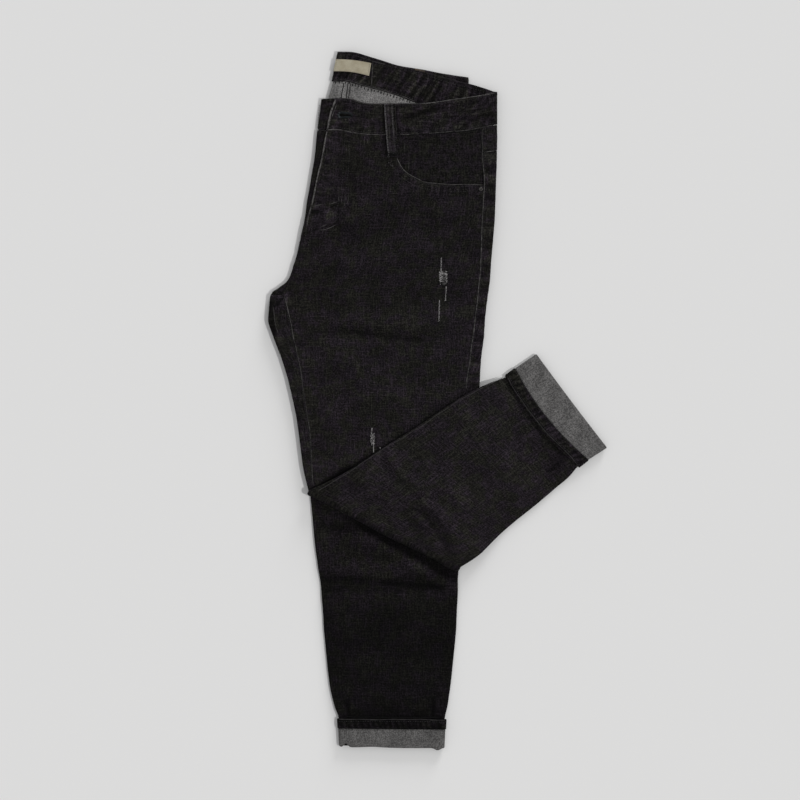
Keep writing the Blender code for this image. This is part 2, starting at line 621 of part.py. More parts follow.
# --- inner layers: the hidden layers of the stack as one rounded solid
rings = []
levels = [(s.left_x, s.left_y, s.right_x, s.right_y, s.low, s.high) for s in INNER_TOP]
for y in INNER_LEVELS:
    above = y > 143.0
    inset = (9.0 if y < 165.0 else 4.5) if above else LAP + 1.0
    lx = max(edge_x(LEFT_THIGH, "left", y), edge_x(RIGHT_LEG, "left", y)) + inset
    rx = min(edge_x(LEFT_THIGH, "right", y), edge_x(RIGHT_LEG, "right", y)) - LAP - 1.0
    tube = float(np.interp(-y, [-s.left_y for s in LEFT_THIGH], column(LEFT_THIGH, "height")))
    under_fly = 1.6 if y > 235.0 else 0.0
    levels.append((lx, y, rx, y, WALL + POCKET_STEP + 0.4, 2 * tube + LAYER_GAP - WALL - 0.6 - under_fly))
for lx, ly, rx, ry, low, high in levels:
    c = min((high - low) * 0.42, 3.0)
    slope = (ry - ly) / (rx - lx)
    outline = [(0, low + c), (c * 0.3, low + c * 0.3), (c, low), (rx - lx - c, low), (rx - lx - c * 0.3, low + c * 0.3),
               (rx - lx, low + c), (rx - lx, high - c), (rx - lx - c * 0.3, high - c * 0.3), (rx - lx - c, high),
               (c, high), (c * 0.3, high - c * 0.3), (0, high - c)]
    rings.append([Vector((lx + u, ly + slope * u, z)) for u, z in outline])
inner_layers = closed_loft("inner_layers", rings, denim_inside("denim_inner_layers"), jeans)

# --- pocket openings: the front is cut along the curve, a facing lies deeper
facing_top = LEFT_THIGH[0].base + LEFT_THIGH[0].height - POCKET_STEP


def pocket_outline(shift, inset, seam_side, band_side):
    """Corner between the pocket's edge, the side seam and the waistband seam."""
    n = len(POCKET_EDGE)
    pts = []
    for i, p in enumerate(POCKET_EDGE):
        a, b = POCKET_EDGE[max(i - 1, 0)], POCKET_EDGE[min(i + 1, n - 1)]
        t = Vector((b.x - a.x, b.y - a.y)).normalized()
        pts.append((p.x + shift.x - t.y * inset, p.y + shift.y + t.x * inset))
    pts[-1] = (seam_side(pts[-1][1]), pts[-1][1])
    top = band_side(pts[-1][0])
    middle = [x for x in (50.0, 30.0, 8.0, -15.0, -33.0)]
    pts.append((seam_side(top), top))
    pts += [(x + shift.x, band_side(x + shift.x)) for x in middle if x + shift.x < seam_side(top) - 5]
    pts.append((pts[0][0], band_side(pts[0][0])))
    return pts


def left_seam(y):
    rows = thigh[:6]
    ys = [s.right_y for s in rows][::-1]
    xs = [s.right_x - s.seam_right for s in rows][::-1]
    return float(np.interp(y, ys, xs))


def right_seam(y):
    rows = right[:6]
    ys = [s.right_y for s in rows][::-1]
    xs = [s.right_x - s.seam_right for s in rows][::-1]
    return float(np.interp(y, ys, xs))


def right_band(x):
    a, b = RIGHT_LEG[0], RIGHT_LEG[0]
    return a.left_y + (b.right_y - a.left_y) * (x - a.left_x) / (b.right_x - a.left_x)


def widened(outline, by_right, by_top, pocket):
    """The cutter's outline: the facing's, grown past the panel's own edges."""
    n = len(pocket)
    grown = list(outline)
    for k in range(n - 1, len(outline)):
        x, y = outline[k]
        grown[k] = (x + (by_right if k in (n - 1, n) else 0.0), y + (by_top if k >= n else 0.0))
    return grown


outline = pocket_outline(PocketShift(0, 0), GAP, lambda y: left_seam(y) - GAP / 2 - 0.2, lambda x: seam_y(x) - GAP - 0.1)
pocket_facing_left = plate("pocket_facing_left", outline, facing_top - WALL, facing_top, denim("denim_pocket_facing_left"), jeans)
outer = pocket_outline(PocketShift(0, 0), 0.0, lambda y: left_seam(y) - GAP / 2, lambda x: seam_y(x) - GAP)
cutter = plate("pocket_cut_left", widened(outer, 2.5, 3.0, POCKET_EDGE), facing_top - 4, facing_top + 4, denim("cutter_left"), cutters)
cut(front_left, cutter)

outline = pocket_outline(RIGHT_POCKET, GAP, lambda y: right_seam(y) - GAP / 2 - 0.3, lambda x: right_band(x) - GAP - 1.4)
pocket_facing_right = plate("pocket_facing_right", outline, POCKET_STEP, POCKET_STEP + WALL, denim("denim_pocket_facing_right"), jeans)
outer = pocket_outline(RIGHT_POCKET, 0.0, lambda y: right_seam(y) - GAP / 2, lambda x: right_band(x) - GAP - 0.6)
cutter = plate("pocket_cut_right", widened(outer, 2.5, 3.0, POCKET_EDGE), -3.0, 3.0, denim("cutter_right"), cutters)
cut(front_right, cutter)

# --- turn-ups: the leg turned outward on itself, with its doubled hem
ring_turned = turned[-3:]
ring_right = right[-3:]


def ring_path(st, out, flat_cols=4):
    w = width(st)
    fold = side_fold(st.height, out)
    right_fold = [(w - u, v) for u, v in fold[::-1]]
    low = [(fold[-1][0] + (right_fold[0][0] - fold[-1][0]) * k / flat_cols, fold[-1][1]) for k in range(1, flat_cols)]
    top = [(right_fold[-1][0] + (fold[0][0] - right_fold[-1][0]) * k / flat_cols, fold[0][1]) for k in range(1, flat_cols)]
    return fold + low + right_fold + top


def along(rows, back):
    """The station `back` mm before the end of the turn-up."""
    a, b = rows[-2], rows[-1]
    span = 0.5 * (math.hypot(b.left_x - a.left_x, b.left_y - a.left_y)
                  + math.hypot(b.right_x - a.right_x, b.right_y - a.right_y))
    if back <= span:
        return between(b, a, back / span)
    c = rows[-3]
    span2 = 0.5 * (math.hypot(a.left_x - c.left_x, a.left_y - c.left_y)
                   + math.hypot(a.right_x - c.right_x, a.right_y - c.right_y))
    return between(a, c, (back - span) / span2)


def turn_up(side, rows, finish):
    span = 0.5 * (math.hypot(rows[1].left_x - rows[2].left_x, rows[1].left_y - rows[2].left_y)
                  + math.hypot(rows[1].right_x - rows[2].right_x, rows[1].right_y - rows[2].right_y))
    half = CUFF_OUT / 2
    turn = [(CUFF_END - 0.5, 0.0), (WALL / 2 + half * 0.3, half * 0.3), (WALL / 2, half), (WALL / 2 + half * 0.3, half * 1.7),
            (CUFF_END, CUFF_OUT), (span * 0.55, CUFF_OUT), (span - GAP / 2, CUFF_OUT)]
    grid = []
    for back, out in turn:
        st = along(rows, back)
        grid.append([finish(place(st, u, v, "down")) for u, v in ring_path(st, out)])
    cuff = sheet("cuff_" + side, grid, WALL, denim_inside("denim_cuff_" + side), jeans, ring=True)
    grid = []
    for f in (0.0, 0.5, 1.0):
        st = between(rows[1], rows[0], f) if f else along(rows, span + GAP / 2)
        grid.append([finish(place(st, u, v, "down")) for u, v in ring_path(st, HEM_OUT)])
    hem = sheet("hem_" + side, grid, HEM, denim("denim_hem_" + side), jeans, ring=True)
    return cuff, hem


turn_up("left", ring_turned, lowered)
turn_up("right", ring_right, lambda p: p)

# --- belt loops, label, patch and rivet
band_top = LEFT_THIGH[0].base + LEFT_THIGH[0].height
LoopPoint = namedtuple("LoopPoint", "left_x left_y right_x right_y lift")
LOOP = [
    LoopPoint(-67.3, 386.2, -52.8, 386.2, 0.0), LoopPoint(-67.0, 378.0, -52.4, 378.0, 0.5),
    LoopPoint(-66.2, 365.0, -51.5, 365.0, 0.8), LoopPoint(-65.4, 350.0, -50.8, 350.0, 0.8),
    LoopPoint(-64.0, 332.0, -49.8, 332.0, 0.5), LoopPoint(-62.4, 316.6, -48.4, 316.6, 0.0),
]
LOOP_WALL = 1.5
grid = [[Vector((p.left_x, p.left_y, band_top + 0.3 + LOOP_WALL / 2 + p.lift)),
         Vector((p.right_x, p.right_y, band_top + 0.3 + LOOP_WALL / 2 + p.lift))] for p in LOOP]
sheet("belt_loop_front_left", grid, LOOP_WALL, denim("denim_belt_loop_front_left"), jeans)

plate("belt_loop_back_right", [(11.1, 425.8), (26.0, 423.4), (26.0, 417.4), (11.1, 421.2)], 6.3, 7.8,
      denim("denim_belt_loop_back_right"), jeans)
plate("leather_patch", [(-27.6, 433.0), (-15.1, 430.0), (-15.1, 428.0), (-27.6, 431.0)], 6.3, 7.6,
      material("brown_leather", (0.11, 0.06, 0.03), 0.6), jeans)
back_top = 7.3 + BAND / 2
plate("waistband_label", [(-127.6, 444.6), (-84.2, 439.8), (-87.1, 423.2), (-130.8, 428.4)], back_top + 0.3, back_top + 0.3 + LABEL,
      material("woven_label", (0.42, 0.38, 0.28), 0.8), jeans)

RIVET = namedtuple("RIVET", "x y radius height")(58.0, 275.9, 3.4, 1.2)
bm = bmesh.new()
bmesh.ops.create_cone(bm, cap_ends=True, segments=20, radius1=RIVET.radius * MM, radius2=RIVET.radius * 0.62 * MM,
                      depth=RIVET.height * MM)
mesh = bpy.data.meshes.new("rivet_left")
bm.to_mesh(mesh)
bm.free()
rivet = bpy.data.objects.new("rivet_left", mesh)
jeans.objects.link(rivet)
rivet.data.materials.append(material("dark_metal", (0.06, 0.06, 0.065), 0.35, 1.0))
rivet_top = float(np.interp(-RIVET.y, [-s.left_y for s in LEFT_THIGH], [s.base + s.height for s in LEFT_THIGH]))
rivet.location = ((RIVET.x - ORIGIN[0]) * MM, (RIVET.y - ORIGIN[1]) * MM, (rivet_top + 0.4 + RIVET.height / 2) * MM)
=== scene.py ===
"""The looks of the folded black denim jeans. Everything is in the CAD's frame.

The tables are in millimetres in plan; places named "at" are read in the
photograph's own frame, 800 across, 1.3 mm to each of its units.
"""

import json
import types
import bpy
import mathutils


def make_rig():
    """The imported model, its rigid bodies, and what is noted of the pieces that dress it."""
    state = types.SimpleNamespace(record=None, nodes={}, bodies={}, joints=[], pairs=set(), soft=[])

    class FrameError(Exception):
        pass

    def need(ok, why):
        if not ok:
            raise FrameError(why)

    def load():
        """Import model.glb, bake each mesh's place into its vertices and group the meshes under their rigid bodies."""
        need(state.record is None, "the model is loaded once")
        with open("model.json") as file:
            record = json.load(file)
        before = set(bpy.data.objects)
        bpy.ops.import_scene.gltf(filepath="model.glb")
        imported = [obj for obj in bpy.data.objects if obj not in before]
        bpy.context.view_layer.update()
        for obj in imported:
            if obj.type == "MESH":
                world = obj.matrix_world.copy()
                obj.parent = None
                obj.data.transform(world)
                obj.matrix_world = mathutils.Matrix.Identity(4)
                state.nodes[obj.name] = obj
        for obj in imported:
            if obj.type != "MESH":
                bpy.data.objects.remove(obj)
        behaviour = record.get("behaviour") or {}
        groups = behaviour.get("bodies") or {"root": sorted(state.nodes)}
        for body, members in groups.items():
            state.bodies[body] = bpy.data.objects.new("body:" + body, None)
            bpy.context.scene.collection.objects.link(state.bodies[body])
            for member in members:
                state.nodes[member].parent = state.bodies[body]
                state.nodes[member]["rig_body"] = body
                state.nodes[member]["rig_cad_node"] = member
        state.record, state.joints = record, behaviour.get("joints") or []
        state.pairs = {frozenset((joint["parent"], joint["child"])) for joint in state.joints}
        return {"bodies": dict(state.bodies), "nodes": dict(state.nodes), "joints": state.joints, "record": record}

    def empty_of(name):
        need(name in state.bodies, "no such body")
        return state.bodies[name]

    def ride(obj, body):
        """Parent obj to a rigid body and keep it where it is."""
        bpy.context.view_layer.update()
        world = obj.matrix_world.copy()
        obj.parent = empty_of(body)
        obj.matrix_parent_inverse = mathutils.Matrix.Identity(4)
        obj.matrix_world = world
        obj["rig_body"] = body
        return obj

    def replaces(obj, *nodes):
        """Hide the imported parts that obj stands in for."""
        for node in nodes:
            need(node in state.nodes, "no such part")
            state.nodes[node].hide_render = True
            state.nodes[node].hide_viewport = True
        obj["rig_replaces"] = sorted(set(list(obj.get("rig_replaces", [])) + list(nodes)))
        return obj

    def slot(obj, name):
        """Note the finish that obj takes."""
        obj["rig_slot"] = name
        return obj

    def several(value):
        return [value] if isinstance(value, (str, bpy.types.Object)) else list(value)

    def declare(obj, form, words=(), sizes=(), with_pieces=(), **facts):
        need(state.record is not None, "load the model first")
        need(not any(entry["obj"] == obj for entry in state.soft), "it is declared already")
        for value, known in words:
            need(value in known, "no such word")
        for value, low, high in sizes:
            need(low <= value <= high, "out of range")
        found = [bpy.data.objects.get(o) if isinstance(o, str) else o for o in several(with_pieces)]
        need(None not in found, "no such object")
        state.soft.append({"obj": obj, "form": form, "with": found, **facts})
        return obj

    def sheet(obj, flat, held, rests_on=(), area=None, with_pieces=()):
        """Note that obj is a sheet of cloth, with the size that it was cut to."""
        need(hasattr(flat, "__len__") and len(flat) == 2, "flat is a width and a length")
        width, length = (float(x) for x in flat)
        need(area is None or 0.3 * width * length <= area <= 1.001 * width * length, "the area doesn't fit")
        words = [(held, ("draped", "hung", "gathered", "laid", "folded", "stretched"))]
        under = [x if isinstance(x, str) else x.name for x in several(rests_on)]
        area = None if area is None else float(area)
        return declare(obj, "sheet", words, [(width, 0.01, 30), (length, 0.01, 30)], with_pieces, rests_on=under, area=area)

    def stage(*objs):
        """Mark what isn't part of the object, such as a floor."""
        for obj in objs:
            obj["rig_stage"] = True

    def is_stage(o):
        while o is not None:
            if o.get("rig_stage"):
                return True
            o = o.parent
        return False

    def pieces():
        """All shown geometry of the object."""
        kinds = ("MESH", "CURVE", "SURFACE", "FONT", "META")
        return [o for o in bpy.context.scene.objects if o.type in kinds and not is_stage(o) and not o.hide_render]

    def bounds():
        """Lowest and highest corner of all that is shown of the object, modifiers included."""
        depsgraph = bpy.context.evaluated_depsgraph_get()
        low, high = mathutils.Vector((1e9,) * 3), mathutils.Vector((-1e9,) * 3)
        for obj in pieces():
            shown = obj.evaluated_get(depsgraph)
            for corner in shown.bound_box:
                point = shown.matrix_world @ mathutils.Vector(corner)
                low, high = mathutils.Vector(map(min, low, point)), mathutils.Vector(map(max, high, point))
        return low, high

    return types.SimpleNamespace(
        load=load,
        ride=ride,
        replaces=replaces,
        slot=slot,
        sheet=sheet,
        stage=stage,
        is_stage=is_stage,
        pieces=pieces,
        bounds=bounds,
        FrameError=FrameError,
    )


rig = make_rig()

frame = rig.load()
CAD_LOW, CAD_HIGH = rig.bounds()

import json
import math
from collections import namedtuple

import bpy
import numpy as np
from mathutils import Vector
from mathutils.bvhtree import BVHTree

# ------------------------------------------------------------------ sizes (mm)
MM = 0.001
WALL = 1.3              # denim with its felled seams pressed flat
BAND = 2.0              # waistband, two layers and its interlining
HEM = 2.3               # doubled and stitched hem
LABEL = 1.0             # woven label
GAP = 0.4               # between neighbours at a seam
LAYER_GAP = 0.3         # between layers that lie on each other
LAP = 12.0              # how far a back panel reaches in past a side fold
KNEE_CLEAR = 0.4        # inside radius of the knee fold
CUFF_OUT = WALL + 0.3   # turn-up, middle of wall to middle of wall
HEM_OUT = WALL / 2 + 0.3 + HEM / 2
ARC = 4                 # steps round the half turn of a side fold
ORIGIN = (1.76, 1.32)    # plan position of the origin

# A station across a leg: its two edges in plan, the lowest face and the outer
# height of the flattened tube, and how far the front panel's two seams lie in
# from the edges. The left edge of a row is the inseam or centre side.
Station = namedtuple("Station", "place left_x left_y right_x right_y base height seam_left seam_right")

# Upper leg, from the waistband seam to the knee fold.
LEFT_THIGH = [
    Station("waist seam", -154.7, 352.4, 79.3, 358.8, 6.3, 6.0, 12.0, 19.5),
    Station("yoke seam", -157.3, 323.7, 79.3, 325.9, 6.3, 6.0, 10.0, 18.5),
    Station("pocket", -163.8, 282.8, 78.0, 282.8, 6.3, 6.0, 7.0, 16.5),
    Station("zip end", -167.5, 262.0, 77.4, 262.0, 6.2, 5.9, 6.0, 16.0),
    Station("hip", -170.3, 241.2, 76.7, 241.2, 6.1, 5.8, 3.2, 15.5),
    Station("seat", -176.8, 210.0, 74.1, 210.0, 5.9, 5.6, 0.0, 15.0),
    Station("fork 1", -184.6, 178.8, 71.5, 178.8, 5.7, 5.4, 0.0, 14.5),
    Station("fork 2", -192.4, 158.0, 70.2, 158.0, 5.6, 5.3, 1.5, 14.0),
    Station("fork 3", -204.1, 147.6, 68.9, 147.6, 5.5, 5.2, 8.5, 14.0),
    Station("crotch", -215.2, 139.1, 67.6, 139.1, 5.5, 5.2, 16.0, 14.0),
    Station("thigh 1", -217.1, 124.2, 65.7, 124.2, 5.5, 5.2, 22.0, 14.0),
    Station("thigh 2", -218.4, 106.0, 63.7, 106.0, 5.5, 5.2, 25.0, 14.0),
    Station("thigh 3", -211.9, 85.2, 62.4, 85.2, 5.5, 5.2, 24.0, 14.0),
    Station("thigh 4", -200.2, 54.0, 58.5, 54.0, 5.5, 5.2, 21.0, 14.5),
    Station("thigh 5", -191.1, 22.8, 56.6, 20.2, 5.5, 5.2, 17.5, 17.0),
    Station("thigh 6", -182.0, -18.9, 52.0, -29.2, 5.5, 5.2, 15.0, 18.0),
    Station("thigh 7", -176.2, -60.5, 46.1, -83.9, 5.5, 5.2, 14.0, 18.0),
    Station("thigh 8", -172.2, -89.0, 39.6, -141.1, 5.5, 5.2, 13.0, 18.0),
    Station("knee", -165.6, -115.8, 32.0, -210.7, 5.5, 5.2, 12.5, 18.0),
]
# The same leg past the knee fold, turned over: its back panel is on top now.
LEFT_TURNED = [
    Station("knee", -165.6, -115.8, 32.0, -210.7, 11.5, 5.2, 12.5, 18.0),
    Station("calf 1", -136.5, -102.0, 44.2, -205.4, 11.5, 5.2, 13.0, 18.0),
    Station("calf 2", -107.9, -86.5, 56.4, -198.2, 11.5, 5.2, 14.0, 18.0),
    Station("calf 3", -68.9, -60.5, 83.2, -173.2, 11.5, 5.1, 15.0, 18.0),
    Station("calf 4", -27.3, -34.5, 105.3, -154.1, 11.5, 5.0, 15.0, 18.0),
    Station("calf 5", 11.7, -8.5, 132.6, -132.0, 11.5, 4.9, 15.0, 17.0),
    Station("calf 6", 46.8, 13.7, 156.0, -112.5, 11.5, 4.8, 15.0, 16.0),
    Station("calf 7", 71.5, 24.8, 172.5, -98.6, 13.0, 4.4, 15.0, 15.0),
    Station("hem top", 90.9, 31.8, 184.8, -84.2, 14.1, 4.0, 15.0, 15.0),
    Station("hem end", 103.7, 41.6, 197.0, -74.7, 14.1, 4.0, 15.0, 15.0),
    Station("turn", 131.5, 60.6, 221.5, -58.9, 14.1, 4.0, 15.0, 15.0),
]
# Lower leg, back panel up.
RIGHT_LEG = [
    Station("waist seam", -154.7, 352.4, 42.9, 377.9, 0.0, 6.0, 12.0, 18.0),
    Station("yoke seam", -157.3, 323.7, 49.4, 341.2, 0.0, 6.0, 10.0, 18.0),
    Station("pocket", -163.8, 282.8, 57.2, 290.6, 0.0, 6.0, 7.0, 16.5),
    Station("zip end", -167.5, 262.0, 60.5, 267.0, 0.0, 5.9, 6.0, 16.0),
    Station("hip", -170.3, 241.2, 62.4, 245.1, 0.0, 5.8, 3.2, 15.5),
    Station("seat", -176.8, 210.0, 65.0, 211.2, 0.0, 5.6, 0.0, 15.0),
    Station("fork 1", -184.6, 178.8, 66.3, 178.8, 0.0, 5.4, 0.0, 14.5),
    Station("fork 2", -192.4, 158.0, 66.3, 158.0, 0.0, 5.3, 1.5, 14.0),
    Station("fork 3", -204.1, 147.6, 66.3, 147.6, 0.0, 5.2, 8.5, 14.0),
    Station("crotch", -215.2, 139.1, 65.7, 139.1, 0.0, 5.2, 16.0, 14.0),
    Station("thigh 1", -215.8, 124.2, 63.7, 124.2, 0.0, 5.2, 22.0, 14.0),
    Station("thigh 2", -216.5, 106.0, 62.4, 106.0, 0.0, 5.2, 25.0, 14.0),
    Station("thigh 3", -209.3, 85.2, 60.5, 85.2, 0.0, 5.2, 24.0, 14.0),
    Station("thigh 4", -197.6, 54.0, 57.2, 54.0, 0.0, 5.2, 21.0, 14.5),
    Station("thigh 5", -188.5, 22.8, 54.6, 22.8, 0.0, 5.2, 17.5, 17.0),
    Station("thigh 6", -178.8, -18.9, 49.4, -18.9, 0.0, 5.2, 15.0, 18.0),
    Station("thigh 7", -172.2, -60.5, 44.9, -60.5, 0.0, 5.2, 14.0, 18.0),
    Station("knee", -166.4, -102.0, 39.6, -102.0, 0.0, 5.2, 13.0, 18.0),
    Station("calf 1", -162.5, -133.2, 36.4, -133.2, 0.0, 5.2, 13.0, 18.0),
    Station("calf 2", -157.3, -185.2, 31.9, -185.2, 0.0, 5.2, 14.0, 18.0),
    Station("calf 3", -153.4, -216.5, 29.5, -216.5, 0.0, 5.2, 15.0, 18.0),
    Station("calf 4", -148.2, -258.1, 27.9, -258.1, 0.0, 5.1, 15.0, 18.0),
    Station("calf 5", -145.6, -299.7, 26.0, -299.7, 0.0, 5.0, 15.0, 17.0),
    Station("calf 6", -141.7, -341.2, 22.1, -341.2, 0.0, 4.9, 15.0, 16.0),
    Station("calf 7", -137.2, -375.1, 18.2, -375.1, 0.4, 4.8, 15.0, 15.0),
    Station("calf 8", -132.0, -395.9, 15.0, -395.9, 1.6, 4.4, 15.0, 15.0),
    Station("hem top", -126.2, -412.4, 11.2, -413.4, 2.6, 4.0, 15.0, 15.0),
    Station("hem end", -125.7, -425.1, 10.6, -426.4, 2.6, 4.0, 15.0, 15.0),
    Station("turn", -124.4, -449.6, 9.5, -450.6, 2.6, 4.0, 15.0, 15.0),
]

# Waistband seam of the upper front: how the seam sags between its ends.
SeamPoint = namedtuple("SeamPoint", "x y")
WAIST_SEAM = [
    SeamPoint(-160.0, 353.5), SeamPoint(-142.5, 354.0), SeamPoint(-120.4, 352.4),
    SeamPoint(-103.7, 349.3), SeamPoint(-81.9, 347.2), SeamPoint(-48.1, 346.7),
    SeamPoint(-15.1, 348.0), SeamPoint(4.7, 349.6), SeamPoint(23.4, 351.3),
    SeamPoint(44.2, 353.8), SeamPoint(59.8, 356.3), SeamPoint(79.6, 360.0),
]

# Waistband, walked once round from the fly end: top and bottom edge in plan and
# the height of the middle of its wall. "fold" rows are half turns.
Band = namedtuple("Band", "place top_x top_y bottom_x bottom_y height")
WAISTBAND = [
    Band("fly end", -131.8, 393.5, -142.5, None, 11.3),
    Band("left front 1", -112.1, 393.5, -120.4, None, 11.3),
    Band("left front 2", -97.5, 389.3, -103.7, None, 11.3),
    Band("left front 3", -81.9, 387.0, -81.9, None, 11.3),
    Band("left front 4", -50.7, 387.0, -48.1, None, 11.3),
    Band("left front 5", -20.8, 387.6, -15.1, None, 11.3),
    Band("left front 6", 4.7, 390.1, 4.7, None, 11.3),
    Band("left front 7", 28.6, 393.6, 23.4, None, 11.3),
    Band("left front 8", 54.6, 397.6, 44.2, None, 11.3),
    Band("fold left side", 76.6, 401.4, 76.6, 359.6, 11.3),
    Band("left back 1", 59.8, 407.0, 57.2, 366.2, 7.3),
    Band("left back 2", 19.5, 417.6, 14.3, 377.0, 7.3),
    Band("left back 3", -13.0, 426.6, -25.5, 388.1, 7.3),
    Band("left back 4", -45.5, 434.2, -57.2, 399.8, 7.3),
    Band("left back 5", -81.9, 445.5, -97.5, 410.7, 7.3),
    Band("left back 6", -112.1, 453.0, -120.9, 416.2, 7.3),
    Band("fold centre back", -126.0, 453.1, -133.8, 416.1, 7.3),
    Band("right back 1", -81.9, 444.6, -92.3, 408.9, 5.0),
    Band("right back 2", -45.5, 434.8, -54.6, 397.2, 5.0),
    Band("right back 3", -15.1, 429.8, -23.4, 389.4, 5.0),
    Band("right back 4", 13.0, 424.2, 7.8, 384.2, 5.0),
    Band("fold right side", 39.6, 420.3, 39.6, 378.9, 5.0),
    Band("right front 1", 13.0, 414.1, 13.0, 374.2, 1.0),
    Band("right front 2", -50.7, 405.6, -50.7, 366.0, 1.0),
    Band("right front 3", -113.1, 396.5, -117.0, 357.6, 1.0),
    Band("fold centre front", -144.4, 391.9, -149.0, 353.5, 1.0),
    Band("underlap", -120.0, 393.2, -126.0, 354.6, 8.9),
]
BAND_FOLD_TO = {"fold left side": 7.3, "fold centre back": 5.0, "fold right side": 1.0, "fold centre front": 8.9}

# Front pocket opening of the upper front, from the waistband seam to the side
# seam, and the inner layers' upper end inside the waist opening.
PocketPoint = namedtuple("PocketPoint", "x y")
POCKET_EDGE = [
    PocketPoint(-52.0, 340.0), PocketPoint(-51.0, 316.6), PocketPoint(-46.5, 307.0),
    PocketPoint(-41.0, 300.0), PocketPoint(-30.9, 292.4), PocketPoint(-18.2, 286.6),
    PocketPoint(-3.5, 283.4), PocketPoint(23.8, 281.6), PocketPoint(62.4, 282.2),
]
PocketShift = namedtuple("PocketShift", "x y")
RIGHT_POCKET = PocketShift(-24.0, 6.0)      # the lower half is folded a little aside
POCKET_STEP = 0.6                           # facing lies this much deeper

Slab = namedtuple("Slab", "place left_x left_y right_x right_y low high")
INNER_TOP = [
    Slab("under back band", -133.0, 413.8, 29.0, 371.8, 4.7, 7.6),
    Slab("waist opening", -137.6, 396.0, 29.4, 365.0, 4.7, 7.6),
    Slab("under front band", -140.5, 374.0, 30.0, 358.0, 4.7, 7.6),
    Slab("below band", -143.5, 350.0, 32.0, 350.0, 4.7, 7.6),
    Slab("full", -146.0, 338.0, 34.0, 338.0, 2.3, 8.8),
]
INNER_LEVELS = (322.0, 300.0, 280.0, 255.0, 232.0, 205.0, 180.0, 160.0, 147.0, 136.0, 120.0, 100.0,
                75.0, 50.0, 20.0, -20.0, -60.0, -92.0)

# Height and underlap of the lower front where it wraps up at the centre front.
Wrap = namedtuple("Wrap", "y step lap")
FLY_WRAP = [
    Wrap(360.0, 1.6, 3.0), Wrap(325.0, 1.6, 3.0), Wrap(290.0, 1.6, 1.5), Wrap(268.0, 1.6, -0.6),
    Wrap(245.0, 0.7, -0.6), Wrap(212.0, 0.0, -0.6), Wrap(120.0, 0.0, -0.6),
]

# The side of the stack that the turned leg hangs over, the line of its hem, and
# how far it takes to come down to the surface.
Edge = namedtuple("Edge", "x0 y0 x1 y1")
STACK_SIDE = Edge(29.5, -216.5, 56.6, 20.2)
HEM_LINE = Edge(184.8, -84.2, 90.9, 31.8)
DROP = 11.5
DROP_START = 5.0
DROP_SPAN = 62.0

# ------------------------------------------------------------- interpolation
def pchip(knots, values, at):
    """Monotone cubic through the knots."""
    k, v, at = np.asarray(knots, float), np.asarray(values, float), np.asarray(at, float)
    h = np.diff(k)
    d = np.diff(v) / h
    m = np.zeros(len(k))
    m[0], m[-1] = d[0], d[-1]
    for i in range(1, len(k) - 1):
        if d[i - 1] * d[i] > 0.0:
            w1, w2 = 2 * h[i] + h[i - 1], h[i] + 2 * h[i - 1]
            m[i] = (w1 + w2) / (w1 / d[i - 1] + w2 / d[i])
    i = np.clip(np.searchsorted(k, at, side="right") - 1, 0, len(k) - 2)
    s = np.clip((at - k[i]) / h[i], 0.0, 1.0)
    return ((1 + 2 * s) * (1 - s) ** 2 * v[i] + s * (1 - s) ** 2 * h[i] * m[i]
            + s * s * (3 - 2 * s) * v[i + 1] + s * s * (s - 1) * h[i] * m[i + 1])


def ease(x, a, b):
    """0 below a, 1 above b, smooth between."""
    s = np.clip((np.asarray(x, float) - a) / (b - a), 0.0, 1.0)
    return s * s * (3 - 2 * s)


def column(table, name):
    return [getattr(row, name) for row in table]


def at(x, y):
    """A place in the photograph's frame, as plan millimetres of the tables."""
    return (np.asarray(x, float) - 436.0) * 1.3, (401.5 - np.asarray(y, float)) * 1.3


def wobble(x, y, seed, size):
    """Smooth unevenness, about -1 to 1, with swells about `size` mm long."""
    rng = np.random.default_rng(seed)
    total = 0.0
    for k in range(7):
        angle = rng.uniform(0, 2 * math.pi)
        wave = 2 * math.pi / (size * rng.uniform(0.65, 1.7))
        total = total + np.sin((x * math.cos(angle) + y * math.sin(angle)) * wave + rng.uniform(0, 6.28))
    return total / 3.2


def seam_y(x):
    return pchip(column(WAIST_SEAM, "x"), column(WAIST_SEAM, "y"), x)


FIELDS = Station._fields[1:]


def sample(table, rows):
    """The stations at fractional rows of a table, as one array per field."""
    knots = np.arange(len(table))
    return {f: pchip(knots, column(table, f), rows) for f in FIELDS}


def row_of(table, name):
    return [s.place for s in table].index(name)


def spaced_rows(table, stops, step):
    """Fractional rows about `step` mm apart that pass through each stop, and
    how far along the leg's middle each one lies."""
    rows, lengths, done = [], [], 0.0
    for first, last in zip(stops[:-1], stops[1:]):
        fine = np.linspace(first, last, 60 * max(int(abs(last - first)), 1) + 1)
        st = sample(table, fine)
        mx, my = (st["left_x"] + st["right_x"]) / 2, (st["left_y"] + st["right_y"]) / 2
        run = np.concatenate([[0.0], np.cumsum(np.hypot(np.diff(mx), np.diff(my)))])
        n = max(int(math.ceil(run[-1] / step)), 1)
        marks = np.linspace(0, run[-1], n + 1)
        skip = 0 if not rows else 1
        rows += list(np.interp(marks, run, fine))[skip:]
        lengths += list(marks + done)[skip:]
        done += run[-1]
    return np.array(rows), np.array(lengths)


def normal_of(e):
    length = math.hypot(e.x1 - e.x0, e.y1 - e.y0)
    return (e.y1 - e.y0) / length, -(e.x1 - e.x0) / length


